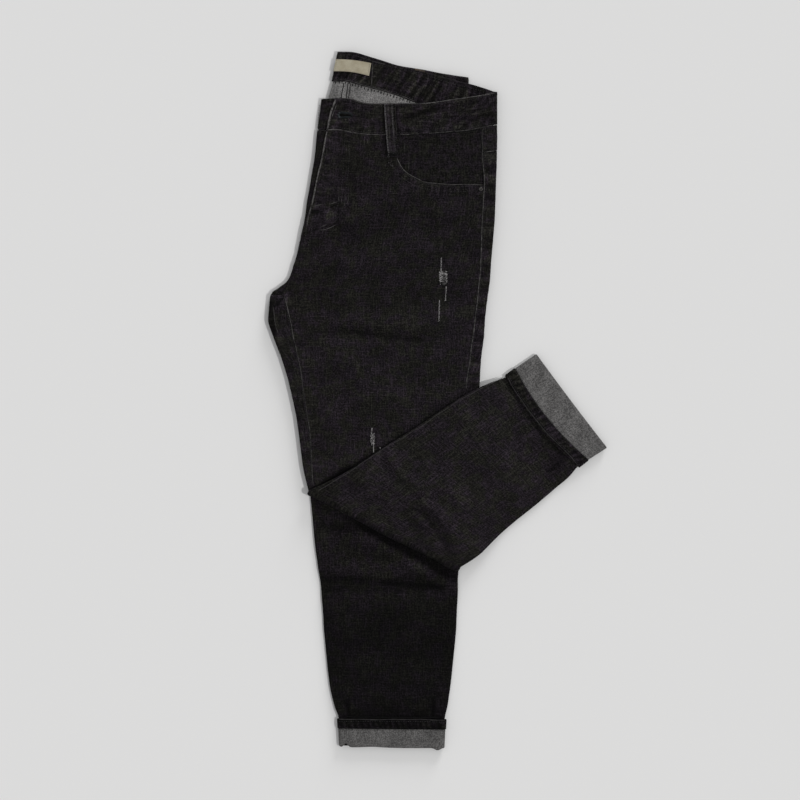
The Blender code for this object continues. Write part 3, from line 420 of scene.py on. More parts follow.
def drop_at(x, y):
    """How far the turned leg has come down at a plan position."""
    n, m = normal_of(STACK_SIDE), normal_of(HEM_LINE)
    away = (x - STACK_SIDE.x0) * n[0] + (y - STACK_SIDE.y0) * n[1]
    to_hem = -((x - HEM_LINE.x0) * m[0] + (y - HEM_LINE.y0) * m[1]) / (n[0] * m[0] + n[1] * m[1])
    end = np.maximum(np.minimum(away + to_hem - 1.0, DROP_SPAN), 25.0)
    s = np.clip((away - DROP_START) / (end - DROP_START), 0.0, 1.0)
    return DROP * s * s * (3 - 2 * s)


def lift_at(x, y):
    """The turned leg's upper edge stands a little off the thigh by the knee."""
    ax, ay = at(346.0, 474.0)
    bx, by = at(383.0, 449.0)
    lx, ly = bx - ax, by - ay
    length = math.hypot(lx, ly)
    t = ((x - ax) * lx + (y - ay) * ly) / length
    d = ((x - ax) * ly - (y - ay) * lx) / length
    return 2.6 * np.exp(-((t - 2.0) / 40.0) ** 2) * np.exp(-(d / 26.0) ** 2)


# -------------------------------------------------------------- the sections
def width(st):
    return np.hypot(st["right_x"] - st["left_x"], st["right_y"] - st["left_y"])


def place(st, u, v, turn=None):
    """Points of sections: u mm in from the left edge, v mm above the back
    panel's outer face; turned over ('down') or round the knee fold (angles)."""
    lx, ly, rx, ry = (st[f][:, None] for f in ("left_x", "left_y", "right_x", "right_y"))
    base, height = st["base"][:, None], st["height"][:, None]
    span = np.hypot(rx - lx, ry - ly)
    ax, ay = (rx - lx) / span, (ry - ly) / span
    x, y = lx + ax * u, ly + ay * u
    if turn is None:
        return np.stack([x, y, base + v + 0 * u], -1)
    if isinstance(turn, str):
        return np.stack([x, y, base + height - v + 0 * u], -1)
    centre = LEFT_THIGH[-1].base + LEFT_THIGH[-1].height + KNEE_CLEAR
    r = centre - (base + v)
    a = turn[:, None]
    return np.stack([x + ay * r * np.sin(a), y - ax * r * np.sin(a), centre - r * np.cos(a)], -1)


FOLD_COLS = 11


def side_fold(height, out=0.0):
    """Half turn of the wall at a leg's edge, (u, v) columns from the front's
    side to the back's, for each height."""
    r = ((height - WALL) / 2)[:, None]
    a = np.linspace(0, math.pi, FOLD_COLS)[None]
    return WALL / 2 + r - (r + out) * np.sin(a), height[:, None] / 2 + (r + out) * np.cos(a)


def spread(a, b, n, power=1.0):
    """n points from a to b, not counting b, for each row."""
    f = (np.arange(n) / n) ** power
    return a[:, None] + (b - a)[:, None] * f[None]


STRIP_COLS = 9


def back_section(st, centre_cols):
    """Back panel: strip, left fold, across under the front, right fold, strip.
    Returns u, v and the column numbers where each stretch starts."""
    w, h = width(st), st["height"]
    gap = GAP / 2
    fu, fv = side_fold(h)
    top = (h - WALL / 2)[:, None]
    low = np.full_like(top, WALL / 2)
    ls, rs = st["seam_left"] - gap, st["seam_right"] - gap
    left = spread(ls, fu[:, 0], STRIP_COLS, 1.35)
    mid = spread(fu[:, -1], w - fu[:, -1], centre_cols)[:, 1:]
    right = (w[:, None] - spread(rs, fu[:, 0], STRIP_COLS, 1.35))[:, ::-1]
    u = np.concatenate([left, fu, mid, w[:, None] - fu[:, ::-1], right], 1)
    v = np.concatenate([top + 0 * left, fv, low + 0 * mid, fv[:, ::-1], top + 0 * right], 1)
    marks = np.cumsum([0, left.shape[1], fu.shape[1], mid.shape[1], fu.shape[1], right.shape[1]])
    return u, v, marks


def wrap_point(total, s):
    r = (total - WALL) / 2
    quarter = r * math.pi / 2
    a = np.clip(s / r, -math.pi / 2, math.pi / 2)
    over = np.maximum(s - quarter, 0.0)
    under = np.maximum(-s - quarter, 0.0)
    return WALL / 2 + r - r * np.cos(a) + over + under, total / 2 + r * np.sin(a)


def wrap_length(total, q):
    r = (total - WALL) / 2
    c = WALL / 2 + r
    arc = r * np.arccos(np.clip((c - np.maximum(q, WALL / 2)) / r, -1.0, 1.0))
    return np.where(q >= c, r * math.pi / 2 + q - c, arc)


def arc_lengths(grid):
    """Cloth length across each row, from its first column."""
    step = np.linalg.norm(np.diff(grid, axis=1), axis=2)
    return np.concatenate([np.zeros((len(grid), 1)), np.cumsum(step, 1)], 1)


def normals_of(grid, out=1.0, ring=False):
    if ring:
        dc = np.roll(grid, -1, 1) - np.roll(grid, 1, 1)
    else:
        dc = np.gradient(grid, axis=1)
    n = np.cross(np.gradient(grid, axis=0), dc)
    return out * n / np.maximum(np.linalg.norm(n, axis=2, keepdims=True), 1e-9)


# ---------------------------------------------------------------- the meshes
jeans = bpy.data.collections.new("jeans_looks")
bpy.context.scene.collection.children.link(jeans)


def add_mesh(name, points, faces, mat, uv=None, wear=None, smooth=True):
    """points in table millimetres; uv is cloth millimetres, u across, v along."""
    pts = (np.asarray(points, float) - [ORIGIN[0], ORIGIN[1], 0.0]) * MM
    pts[:, 2] = np.maximum(pts[:, 2], 0.02 * MM)
    mesh = bpy.data.meshes.new(name)
    mesh.from_pydata(pts.tolist(), [], [list(map(int, f)) for f in faces])
    if uv is not None:
        layer = mesh.uv_layers.new(name="cloth")
        loops = np.empty(len(mesh.loops), np.int32)
        mesh.loops.foreach_get("vertex_index", loops)
        layer.uv.foreach_set("vector", (np.asarray(uv, np.float32) * MM)[loops].ravel())
    # The first tone attribute holds real wear together with painted shade and highlight; the others hold rub, puckers
    # and the place along a seam.
    tone = np.zeros((len(pts), 4)) if wear is None else np.asarray(wear, float)
    for k, what in enumerate(("wear", "edge", "near", "along")[:tone.shape[1]]):
        layer = mesh.attributes.new(what, "FLOAT", "POINT")
        layer.data.foreach_set("value", np.ascontiguousarray(tone[:, k], np.float32))
    if smooth:
        mesh.shade_smooth()
    mesh.validate()
    ob = bpy.data.objects.new(name, mesh)
    jeans.objects.link(ob)
    ob.data.materials.append(mat)
    return ob


def quads(n, m, keep=None, ring=False):
    """Quads of a grid of n rows and m columns; keep is a mask of its cells."""
    i, j = np.meshgrid(np.arange(n - 1), np.arange(m if ring else m - 1), indexing="ij")
    k = (j + 1) % m
    f = np.stack([i * m + j, i * m + k, (i + 1) * m + k, (i + 1) * m + j], -1)
    return f[keep] if keep is not None else f.reshape(-1, 4)


def clipped(points, faces, values, extras):
    """Keeps the part of the faces where values < 0, cut along values = 0."""
    points, values = list(map(np.asarray, points)), list(values)
    extras = [list(e) for e in extras]
    made, kept = {}, []

    def crossing(a, b):
        key = (min(a, b), max(a, b))
        if key not in made:
            s = values[a] / (values[a] - values[b])
            points.append(points[a] + (points[b] - points[a]) * s)
            for e in extras:
                e.append(e[a] + (e[b] - e[a]) * s)
            values.append(0.0)
            made[key] = len(points) - 1
        return made[key]

    for face in faces:
        face = list(face)
        inside = [values[i] < 0 for i in face]
        if all(inside):
            kept.append(face)
            continue
        if not any(inside):
            continue
        out = []
        for n, a in enumerate(face):
            b = face[(n + 1) % len(face)]
            if inside[n]:
                out.append(a)
            if inside[n] != inside[(n + 1) % len(face)]:
                out.append(crossing(a, b))
        if len(out) > 2:
            kept.append(out)
    return np.array(points), kept, [np.array(e) for e in extras]


def thickened(points, faces, normals, uv, wear, wall, edge_wear=0.0):
    """A closed wall round a surface, with softly rounded edges."""
    used = np.unique(np.concatenate([np.asarray(f) for f in faces])) if not isinstance(faces, np.ndarray) else np.unique(faces)
    index = np.full(len(points), -1)
    index[used] = np.arange(len(used))
    points, normals, uv, wear = points[used], normals[used], uv[used], wear[used]
    if isinstance(faces, np.ndarray):
        faces = index[faces]
        edges = np.concatenate([faces[:, [a, (a + 1) % 4]] for a in range(4)])
        top = faces.tolist()
    else:
        top = [[int(index[i]) for i in f] for f in faces]
        edges = np.array([(f[k], f[(k + 1) % len(f)]) for f in top for k in range(len(f))])
    n = len(points)
    key = edges[:, 0] * n + edges[:, 1]
    back = edges[:, 1] * n + edges[:, 0]
    rim = edges[~np.isin(key, back)]
    corners = np.unique(rim)
    outward = np.zeros((n, 3))
    away = np.cross(points[rim[:, 1]] - points[rim[:, 0]], normals[rim[:, 0]])
    away /= np.maximum(np.linalg.norm(away, axis=1, keepdims=True), 1e-9)
    np.add.at(outward, rim[:, 0], away)
    np.add.at(outward, rim[:, 1], away)
    outward /= np.maximum(np.linalg.norm(outward, axis=1, keepdims=True), 1e-9)
    # The first face tells on which side of the rim the cloth lies.
    face = next(f for f in top if rim[0, 0] in f and rim[0, 1] in f)
    if np.dot(points[face].mean(0) - points[rim[0]].mean(0), away[0]) > 0:
        outward = -outward
    lower = points - normals * wall / 2
    upper = points + normals * wall / 2
    pull = np.zeros((n, 1))
    pull[corners] = 0.16 * wall
    upper, lower = upper - outward * pull, lower - outward * pull
    slot_of = np.full(n, -1)
    slot_of[corners] = np.arange(len(corners)) + 2 * n
    bulge = points[corners] + outward[corners] * 0.14 * wall
    all_points = np.concatenate([upper, lower, bulge])
    all_uv = np.concatenate([uv, uv, uv[corners]])
    all_wear = np.concatenate([wear, wear * 0.3, wear[corners] + [0.0, edge_wear, 0.0, 0.0]])
    bottom = [[i + n for i in f[::-1]] for f in top]
    a, b = rim[:, 0], rim[:, 1]
    sides = np.concatenate([np.stack([b, a, slot_of[a], slot_of[b]], 1), np.stack([slot_of[b], slot_of[a], a + n, b + n], 1)])
    return all_points, top + bottom + sides.tolist(), all_uv, all_wear


def cloth(name, grid, mat, wall=WALL, out=1.0, keep=None, ring=False, uv=None, wear=None, cut=None, edge_wear=0.0):
    """A wall of cloth on a grid of middle points."""
    n, m = grid.shape[:2]
    normals = normals_of(grid, out, ring).reshape(-1, 3)
    points = grid.reshape(-1, 3)
    faces = quads(n, m, keep, ring)
    if out > 0:
        faces = faces[:, ::-1]
    uv = uv.reshape(-1, 2)
    wear = np.zeros((len(points), 4)) if wear is None else wear.reshape(-1, 4)
    for values in cut or []:
        points, faces, (normals, uv, wear) = clipped(points, faces, values(points), [normals, uv, wear])
    return add_mesh(name, *_order(thickened(points, faces, normals, uv, wear, wall, edge_wear), mat))


def _order(made, mat):
    points, faces, uv, wear = made
    return points, faces, mat, uv, wear


def band(name, low_edge, high_edge, normals, thick, mat, cols=15, uv_start=0.0, relief=None, wear=None, roll=4, places=None):
    """A strip with rounded edges: its two edges in space and its outer normals,
    walked along. relief and wear take (along, across, side) arrays."""
    low_edge, high_edge, normals = (np.asarray(a, float) for a in (low_edge, high_edge, normals))
    across = high_edge - low_edge
    span = np.linalg.norm(across, axis=1)
    across /= span[:, None]
    mid = (low_edge + high_edge) / 2
    run = np.concatenate([[0.0], np.cumsum(np.linalg.norm(np.diff(mid, axis=0), axis=1))])
    h = thick / 2
    f = (1 - np.cos(np.linspace(0, math.pi, cols))) / 2 * 0.35 + np.linspace(0, 1, cols) * 0.65
    if places is not None:
        f = np.unique(np.concatenate([f, places]))
        cols = len(f)
    q, z, side, edge = [], [], [], []
    for k in range(cols):
        q.append((f[k], 0.0)); z.append(h); side.append(1.0); edge.append(0.0)
    for k in range(1, roll):
        a = math.pi * k / roll
        q.append((1.0, h * math.sin(a))); z.append(h * math.cos(a)); side.append(math.cos(a)); edge.append(1.0)
    for k in range(cols):
        q.append((f[cols - 1 - k], 0.0)); z.append(-h); side.append(-1.0); edge.append(0.0)
    for k in range(1, roll):
        a = math.pi * k / roll
        q.append((0.0, -h * math.sin(a))); z.append(-h * math.cos(a)); side.append(-math.cos(a)); edge.append(-1.0)
    q, z, side, edge = np.array(q), np.array(z), np.array(side), np.array(edge)
    along = np.repeat(run[:, None], len(z), 1)
    cross = h + q[None, :, 0] * (span[:, None] - 2 * h) + q[None, :, 1]
    lift = z[None] + 0 * along
    if relief is not None:
        lift = lift + relief(along, cross, side[None] + 0 * along)
    grid = low_edge[:, None] + across[:, None] * cross[..., None] + normals[:, None] * lift[..., None]
    tone = np.zeros(along.shape + (4,)) if wear is None else wear(along, cross, side[None] + 0 * along, edge[None] + 0 * along)
    n, m = grid.shape[:2]
    faces = quads(n, m, ring=True).tolist() + [list(range(m))[::-1], [(n - 1) * m + j for j in range(m)]]
    if np.dot(np.cross(mid[1] - mid[0], across[0]), normals[0]) > 0:
        faces = [f[::-1] for f in faces]
    uv = np.stack([cross, along + uv_start], -1).reshape(-1, 2)
    return add_mesh(name, grid.reshape(-1, 3), faces, mat, uv, tone.reshape(-1, tone.shape[-1]))

# ------------------------------------------------------------- the materials
class Tree:
    """A few words for wiring a procedural material."""

    def __init__(self, name):
        self.mat = bpy.data.materials.new(name)
        self.mat.use_nodes = True
        self.nodes, self.links = self.mat.node_tree.nodes, self.mat.node_tree.links
        self.shader = self.nodes["Principled BSDF"]

    def new(self, kind, inputs=None, **settings):
        node = self.nodes.new(kind)
        for key, value in settings.items():
            setattr(node, key, value)
        for key, value in (inputs or {}).items():
            self.put(node.inputs[key], value)
        return node

    def put(self, socket, value):
        if isinstance(value, bpy.types.NodeSocket):
            self.links.new(value, socket)
        else:
            socket.default_value = value

    def math(self, operation, a, b=None, clamp=False):
        node = self.new("ShaderNodeMath", {0: a}, operation=operation, use_clamp=clamp)
        if b is not None:
            self.put(node.inputs[1], b)
        return node.outputs[0]

    def scaled(self, vector, scale):
        return self.new("ShaderNodeVectorMath", {0: vector, 1: scale}, operation="MULTIPLY").outputs[0]

    def noise(self, vector, scale, detail=2.0, rough=0.5, out="Fac"):
        return self.new("ShaderNodeTexNoise", {"Vector": vector, "Scale": scale, "Detail": detail, "Roughness": rough}).outputs[out]

    def span(self, value, a, b, low=0.0, high=1.0, smooth=True):
        node = self.new("ShaderNodeMapRange", {"Value": value, "From Min": a, "From Max": b, "To Min": low, "To Max": high},
                        interpolation_type="SMOOTHSTEP" if smooth else "LINEAR", clamp=True)
        return node.outputs["Result"]

    def mix(self, factor, a, b):
        node = self.new("ShaderNodeMix", data_type="RGBA")
        self.put(node.inputs["Factor"], factor)
        for socket, value in ((node.inputs[6], a), (node.inputs[7], b)):
            self.put(socket, value if isinstance(value, bpy.types.NodeSocket) else (*value, 1.0))
        return node.outputs[2]

    def times(self, colour, factor):
        node = self.new("ShaderNodeVectorMath", {0: colour}, operation="SCALE")
        self.put(node.inputs["Scale"], factor)
        return node.outputs[0]

    def attribute(self, name):
        return self.new("ShaderNodeAttribute", attribute_name=name).outputs["Fac"]

    def cloth(self):
        """Cloth millimetres."""
        return self.scaled(self.new("ShaderNodeUVMap", uv_map="cloth").outputs["UV"], (1000.0, 1000.0, 1000.0))

    def place(self):
        """Object millimetres."""
        return self.scaled(self.new("ShaderNodeTexCoord").outputs["Object"], (1000.0, 1000.0, 1000.0))

    def finish(self, colour, rough, bump=None, depth=0.0002, specular=0.1, metallic=0.0, sheen=0.0):
        self.put(self.shader.inputs["Base Color"], colour if isinstance(colour, bpy.types.NodeSocket) else (*colour, 1.0))
        self.put(self.shader.inputs["Roughness"], rough)
        self.shader.inputs["Specular IOR Level"].default_value = specular
        self.shader.inputs["Metallic"].default_value = metallic
        if sheen:
            self.shader.inputs["Sheen Weight"].default_value = sheen
            self.shader.inputs["Sheen Roughness"].default_value = 0.6
        if bump is not None:
            node = self.new("ShaderNodeBump", {"Strength": 1.0, "Distance": depth, "Height": bump})
            self.links.new(node.outputs["Normal"], self.shader.inputs["Normal"])
        return self.mat


def weave(t, uv, seed):
    """Slub yarn both ways: long thin light threads along and across."""
    shifted = t.new("ShaderNodeVectorMath", {0: uv, 1: (seed * 37.1, seed * 91.7, seed * 5.3)}, operation="ADD").outputs[0]
    warp = t.noise(t.scaled(shifted, (0.60, 0.055, 1.0)), 1.0, 1.5, 0.5)
    weft = t.noise(t.scaled(shifted, (0.060, 0.58, 1.0)), 1.0, 1.5, 0.5)
    grain = t.noise(shifted, 0.58, 2.0, 0.65)
    return shifted, warp, weft, grain


def denim(name="denim", tint=0.0, seed=0.0, strength=1.0):
    """Black slub denim, outside."""
    t = Tree(name)
    uv, warp, weft, grain = weave(t, t.cloth(), seed)
    warp_l, weft_l = t.span(warp, 0.48, 0.68), t.span(weft, 0.48, 0.68)
    threads = t.math("ADD", t.math("MULTIPLY", warp_l, 0.64), t.math("MULTIPLY", weft_l, 0.50))
    fine = t.span(grain, 0.38, 0.62)
    knots = t.span(t.noise(t.scaled(uv, (0.50, 0.44, 1.0)), 1.0, 1.0, 0.5), 0.50, 0.68)
    light = t.math("ADD", t.math("MULTIPLY", threads, 0.46), t.math("MULTIPLY", fine, 0.28))
    light = t.math("ADD", light, t.math("MULTIPLY", knots, 0.42), clamp=True)
    patch = t.noise(uv, 0.022, 2.0, 0.5)
    hue = t.noise(uv, 0.075, 2.0, 0.5, "Color")
    parts = t.new("ShaderNodeSeparateColor", {"Color": hue})
    dark = t.mix(t.span(parts.outputs[0], 0.42, 0.60), (0.0019, 0.0017, 0.0022), (0.0023, 0.0020, 0.0017))
    pale = t.mix(t.span(parts.outputs[1], 0.42, 0.60), (0.0328, 0.0256, 0.0338), (0.0291, 0.0283, 0.0234))
    colour = t.mix(t.math("MULTIPLY", light, strength), dark, pale)
    level = t.span(patch, 0.30, 0.70, 0.92, 1.08, smooth=False)
    # Beside a seam the cloth puckers: short bars across it, light and dark.
    near, run = t.attribute("near"), t.attribute("along")
    across = t.noise(uv, 0.16, 2.0, 0.5)
    bar = t.new("ShaderNodeTexNoise", {"W": t.math("ADD", run, t.math("MULTIPLY", across, 0.9)), "Scale": 1.0, "Detail": 1.0, "Roughness": 0.5},
                noise_dimensions="1D").outputs["Fac"]
    swing = t.math("MULTIPLY", t.span(bar, 0.28, 0.72, -1.0, 1.0), near)
    tone = t.math("POWER", 2.0, t.math("ADD", t.math("ADD", t.attribute("wear"), tint), t.math("MULTIPLY", swing, 0.85)))
    colour = t.times(colour, t.math("MULTIPLY", level, tone))
    # Where the cloth is rubbed along an edge the pale core of the yarn shows.
    rub = t.math("MULTIPLY", t.attribute("edge"), t.span(t.noise(uv, 0.55, 3.0, 0.65), 0.34, 0.66))
    colour = t.mix(rub, colour, (0.090, 0.085, 0.088))
    # Twill: a fine diagonal rib.
    sep = t.new("ShaderNodeSeparateXYZ", {0: uv})
    diagonal = t.math("ADD", t.math("MULTIPLY", sep.outputs[0], 5.4), t.math("MULTIPLY", sep.outputs[1], 3.1))
    rib = t.math("SINE", diagonal)
    height = t.math("ADD", t.math("MULTIPLY", rib, 0.20), t.math("ADD", t.math("MULTIPLY", threads, 0.7), t.math("MULTIPLY", fine, 0.5)))
    height = t.math("ADD", height, t.math("MULTIPLY", swing, 1.6))
    rough = t.span(light, 0.0, 1.0, 0.92, 0.78, smooth=False)
    return t.finish(colour, rough, height, 0.00022, specular=0.06, sheen=0.010)


def inside_denim(name, level, seed=0.0):
    """The undyed side of the same cloth: pepper and salt."""
    t = Tree(name)
    uv, warp, weft, grain = weave(t, t.cloth(), seed + 3.0)
    salt = t.noise(t.scaled(uv, (1.0, 0.70, 1.0)), 0.86, 1.0, 0.6)
    mixed = t.math("ADD", t.math("MULTIPLY", t.span(warp, 0.36, 0.66), 0.14), t.math("MULTIPLY", t.span(weft, 0.36, 0.66), 0.14))
    mixed = t.math("ADD", mixed, t.math("MULTIPLY", t.span(salt, 0.34, 0.66), 0.66), clamp=True)
    patch = t.noise(uv, 0.030, 2.0, 0.5)
    colour = t.mix(mixed, (0.046, 0.045, 0.045), (0.171, 0.167, 0.165))
    tone = t.math("POWER", 2.0, t.attribute("wear"))
    colour = t.times(colour, t.math("MULTIPLY", t.math("MULTIPLY", tone, level), t.span(patch, 0.3, 0.7, 0.94, 1.06, smooth=False)))
    rub = t.math("MULTIPLY", t.attribute("edge"), t.span(t.noise(uv, 0.5, 3.0, 0.6), 0.35, 0.65))
    colour = t.mix(rub, colour, (0.26, 0.25, 0.25))
    sep = t.new("ShaderNodeSeparateXYZ", {0: uv})
    rib = t.math("SINE", t.math("ADD", t.math("MULTIPLY", sep.outputs[0], 5.4), t.math("MULTIPLY", sep.outputs[1], -3.1)))
    return t.finish(colour, 0.92, t.math("ADD", t.math("MULTIPLY", rib, 0.25), mixed), 0.00022, specular=0.08, sheen=0.02)


def yarn(name, dark, pale, rub=(0.09, 0.085, 0.085)):
    """Sewing thread and pulled yarns, twisted."""
    t = Tree(name)
    where = t.place()
    fibre = t.noise(where, 1.6, 3.0, 0.7)
    patch = t.noise(where, 0.16, 2.0, 0.5)
    colour = t.mix(t.span(fibre, 0.3, 0.7), dark, pale)
    colour = t.times(colour, t.math("MULTIPLY", t.span(patch, 0.3, 0.7, 0.65, 1.35, smooth=False), t.math("POWER", 2.0, t.attribute("wear"))))
    worn = t.math("MULTIPLY", t.attribute("edge"), t.span(t.noise(where, 0.30, 3.0, 0.65), 0.36, 0.62))
    colour = t.mix(worn, colour, rub)
    return t.finish(colour, 0.75, fibre, 0.00012, specular=0.12)


def label_cloth():
    """Cream woven tape: a fine rib and a slightly uneven shade."""
    t = Tree("label_woven")
    uv = t.cloth()
    sep = t.new("ShaderNodeSeparateXYZ", {0: uv})
    rib = t.math("SINE", t.math("MULTIPLY", sep.outputs[1], 9.0))
    pick = t.math("SINE", t.math("MULTIPLY", sep.outputs[0], 12.0))
    ground = t.math("ADD", t.math("MULTIPLY", rib, 0.5), t.math("MULTIPLY", pick, 0.35))
    stain = t.noise(uv, 0.09, 3.0, 0.6)
    fine = t.noise(t.scaled(uv, (0.7, 2.2, 1.0)), 1.0, 2.0, 0.6)
    colour = t.mix(t.span(stain, 0.3, 0.7), (0.435, 0.397, 0.300), (0.352, 0.312, 0.224))
    colour = t.times(colour, t.span(fine, 0.3, 0.7, 0.88, 1.10, smooth=False))
    colour = t.times(colour, t.span(ground, -0.85, 0.85, 0.90, 1.06, smooth=False))
    colour = t.times(colour, t.math("POWER", 2.0, t.attribute("wear")))
    return t.finish(colour, 0.82, t.math("ADD", ground, t.math("MULTIPLY", fine, 0.8)), 0.00012, specular=0.2)


def brown_leather():
    t = Tree("brown_hide")
    where = t.place()
    cell = t.new("ShaderNodeTexVoronoi", {"Vector": where, "Scale": 1.1}, feature="DISTANCE_TO_EDGE").outputs["Distance"]
    grain = t.span(cell, 0.0, 0.25)
    cloud = t.noise(where, 0.2, 4.0, 0.6)
    colour = t.mix(t.span(cloud, 0.3, 0.7), (0.042, 0.029, 0.019), (0.125, 0.088, 0.056))
    colour = t.times(colour, t.span(grain, 0.0, 1.0, 0.75, 1.05, smooth=False))
    return t.finish(colour, t.span(cloud, 0.3, 0.7, 0.5, 0.7, smooth=False), grain, 0.00018, specular=0.3)


def dark_metal():
    t = Tree("burnished_metal")
    where = t.place()
    rub = t.noise(where, 1.4, 4.0, 0.65)
    scratch = t.noise(t.scaled(where, (6.0, 0.7, 1.0)), 1.0, 2.0, 0.6)
    colour = t.mix(t.span(rub, 0.35, 0.7), (0.018, 0.017, 0.018), (0.110, 0.105, 0.100))
    rough = t.span(scratch, 0.3, 0.7, 0.30, 0.52, smooth=False)
    return t.finish(colour, rough, scratch, 0.00003, specular=0.5, metallic=1.0)


DENIM = denim()
DENIM_BAND = denim("denim_band", tint=-0.15, seed=1.0)
DENIM_HEM = denim("denim_hem", tint=-0.40, seed=2.0)
# A darker copy of the hem's denim for the lower hem, as painted shade.
DENIM_HEM_PAINTED_SHADE = denim("denim_hem_lower", tint=-1.80, seed=2.0)
DENIM_FACING = denim("denim_facing", tint=-0.40, seed=4.0)
INSIDE_CUFF = inside_denim("denim_inside_cuff", 0.92)
INSIDE_WAIST = inside_denim("denim_inside_waist", 1.42, seed=1.0)
THREAD = yarn("thread_black", (0.004, 0.004, 0.0045), (0.026, 0.025, 0.027))
WORN_AND_SHADOW_CORD = yarn("worn_edge", (0.010, 0.0095, 0.010), (0.036, 0.034, 0.034), (0.105, 0.100, 0.098))
THREAD_COOL = yarn("thread_blue_black", (0.0036, 0.0048, 0.0056), (0.0165, 0.0205, 0.0230), (0.085, 0.092, 0.098))
GREY_YARN = yarn("pulled_yarn", (0.10, 0.097, 0.10), (0.26, 0.25, 0.25))
# A near-black yarn, used as painted shadow in the cloth's openings.
GAP_SHADOW = yarn("thread_shadow", (0.0015, 0.0015, 0.0015), (0.004, 0.004, 0.004))

# ---------------------------------------------------------- folds and creases
# A soft crease from one place to another: how far its middle bows aside, its
# half width and its depth in mm (below zero a trough, above zero a ridge).
Crease = namedtuple("Crease", "x0 y0 x1 y1 bow half depth")
THIGH_CREASES = [
    Crease(308, 330, 432, 339, -3, 8.0, -1.15), Crease(330, 322, 405, 327, -2, 9.0, 0.55),
    Crease(352, 352, 428, 349, 2, 11.0, -0.35), Crease(300, 362, 372, 352, 3, 10.0, 0.40),
    Crease(398, 300, 458, 289, 2, 11.0, -0.45), Crease(405, 316, 462, 312, -2, 12.0, 0.45),
    Crease(322, 398, 398, 410, 4, 12.0, -0.50), Crease(318, 430, 362, 425, -3, 11.0, -0.45),
    Crease(400, 376, 458, 364, 3, 13.0, -0.45), Crease(412, 396, 452, 388, -2, 9.0, 0.40),
    Crease(296, 283, 342, 262, 4, 9.0, -0.70), Crease(290, 268, 332, 246, 4, 8.0, 0.55),
    Crease(286, 296, 330, 300, -3, 8.0, -0.45), Crease(336, 236, 392, 214, 4, 12.0, -0.45),
    Crease(350, 262, 420, 240, 3, 14.0, 0.45), Crease(330, 200, 372, 182, 2, 9.0, -0.40),
    Crease(352, 160, 376, 148, 1, 7.0, -0.35), Crease(412, 232, 466, 226, -2, 11.0, -0.40),
    Crease(420, 208, 470, 203, 1, 9.0, 0.35), Crease(326, 216, 337, 214, 1, 7.5, 0.80),
    Crease(312.5, 207, 324, 203.8, 1, 1.9, 1.00), Crease(329.5, 204.6, 338, 201.8, 0, 1.9, 1.10),
    Crease(309, 211.8, 320.5, 211.8, 0, 2.7, -1.40), Crease(330.5, 206.8, 338, 205.2, 0, 1.5, -1.00),
    Crease(327.8, 207, 327.2, 224, 0, 3.4, 0.95), Crease(334.6, 208, 333.8, 223, 0, 2.4, 0.70),
    Crease(320.5, 213, 317.5, 225, 0, 2.4, 0.55), Crease(339.2, 204, 337.4, 223, 0, 2.4, -0.90),
    Crease(322, 229.4, 338, 227, -1, 2.2, -0.90), Crease(318, 199, 334, 196, 1, 4.0, -0.50),
    Crease(404, 142, 408, 172, -1, 3.2, -0.40), Crease(424, 160, 474, 152, 1, 7.0, 0.35),
    Crease(338, 146, 352, 178, 2, 6.0, -0.30), Crease(436, 176, 452, 150, 1, 6.0, -0.25),
]
TURNED_CREASES = [
    Crease(383, 452, 400, 484, 4, 5.0, -1.05), Crease(398, 479, 420, 504, -3, 5.0, -0.85),
    Crease(390, 449, 412, 480, 4, 6.0, 0.75), Crease(416, 505, 452, 552, -5, 6.0, -1.10),
    Crease(404, 512, 420, 530, 2, 7.0, -0.85), Crease(420, 512, 438, 520, 1, 6.0, -0.75),
    Crease(424, 500, 458, 534, -4, 8.0, 0.75), Crease(352, 478, 380, 506, 4, 10.0, -0.60),
    Crease(336, 492, 356, 506, 2, 9.0, 0.50), Crease(440, 430, 470, 468, 6, 12.0, -0.55),
    Crease(462, 402, 494, 436, 5, 11.0, 0.50), Crease(476, 470, 506, 512, 5, 13.0, -0.65),
    Crease(500, 446, 540, 486, 4, 11.0, 0.50), Crease(494, 392, 512, 420, 3, 8.0, -0.60),
    Crease(430, 556, 452, 560, 1, 8.0, -0.70), Crease(532, 446, 562, 470, -3, 9.0, -0.55),
    Crease(448, 484, 470, 500, 3, 9.0, 0.55), Crease(404, 436, 440, 452, 4, 9.0, -0.40),
]
LOWER_CREASES = [
    Crease(340, 516, 447, 573, 0, 3.2, -0.8),
    Crease(316, 583, 456, 580, 4, 9.5, -1.55), Crease(330, 566, 440, 566, 2, 9.0, 0.75),
    Crease(332, 600, 448, 598, -2, 10.0, 0.65), Crease(324, 527, 372, 529, -3, 7.0, -1.10),
    Crease(340, 514, 392, 534, -2, 8.0, 0.55), Crease(372, 548, 430, 576, 4, 10.0, -0.65),
    Crease(380, 588, 398, 580, 1, 5.0, -0.80), Crease(408, 584, 422, 578, 1, 4.5, -0.60),
    Crease(330, 640, 400, 626, 5, 14.0, -0.50), Crease(392, 662, 446, 642, -4, 13.0, -0.50),
    Crease(352, 660, 420, 676, 4, 14.0, 0.45), Crease(346, 704, 350, 719, 0, 2.4, -0.95),
    Crease(432, 703, 433, 719, 0, 2.4, -0.95), Crease(368, 706, 370, 719, 0, 2.6, -0.45),
    Crease(398, 704, 398, 719, 1, 2.8, -0.50), Crease(416, 706, 415, 719, 0, 2.4, -0.40),
    Crease(336, 690, 430, 696, 3, 8.0, 0.40), Crease(400, 530, 452, 552, 3, 12.0, 0.50),
]


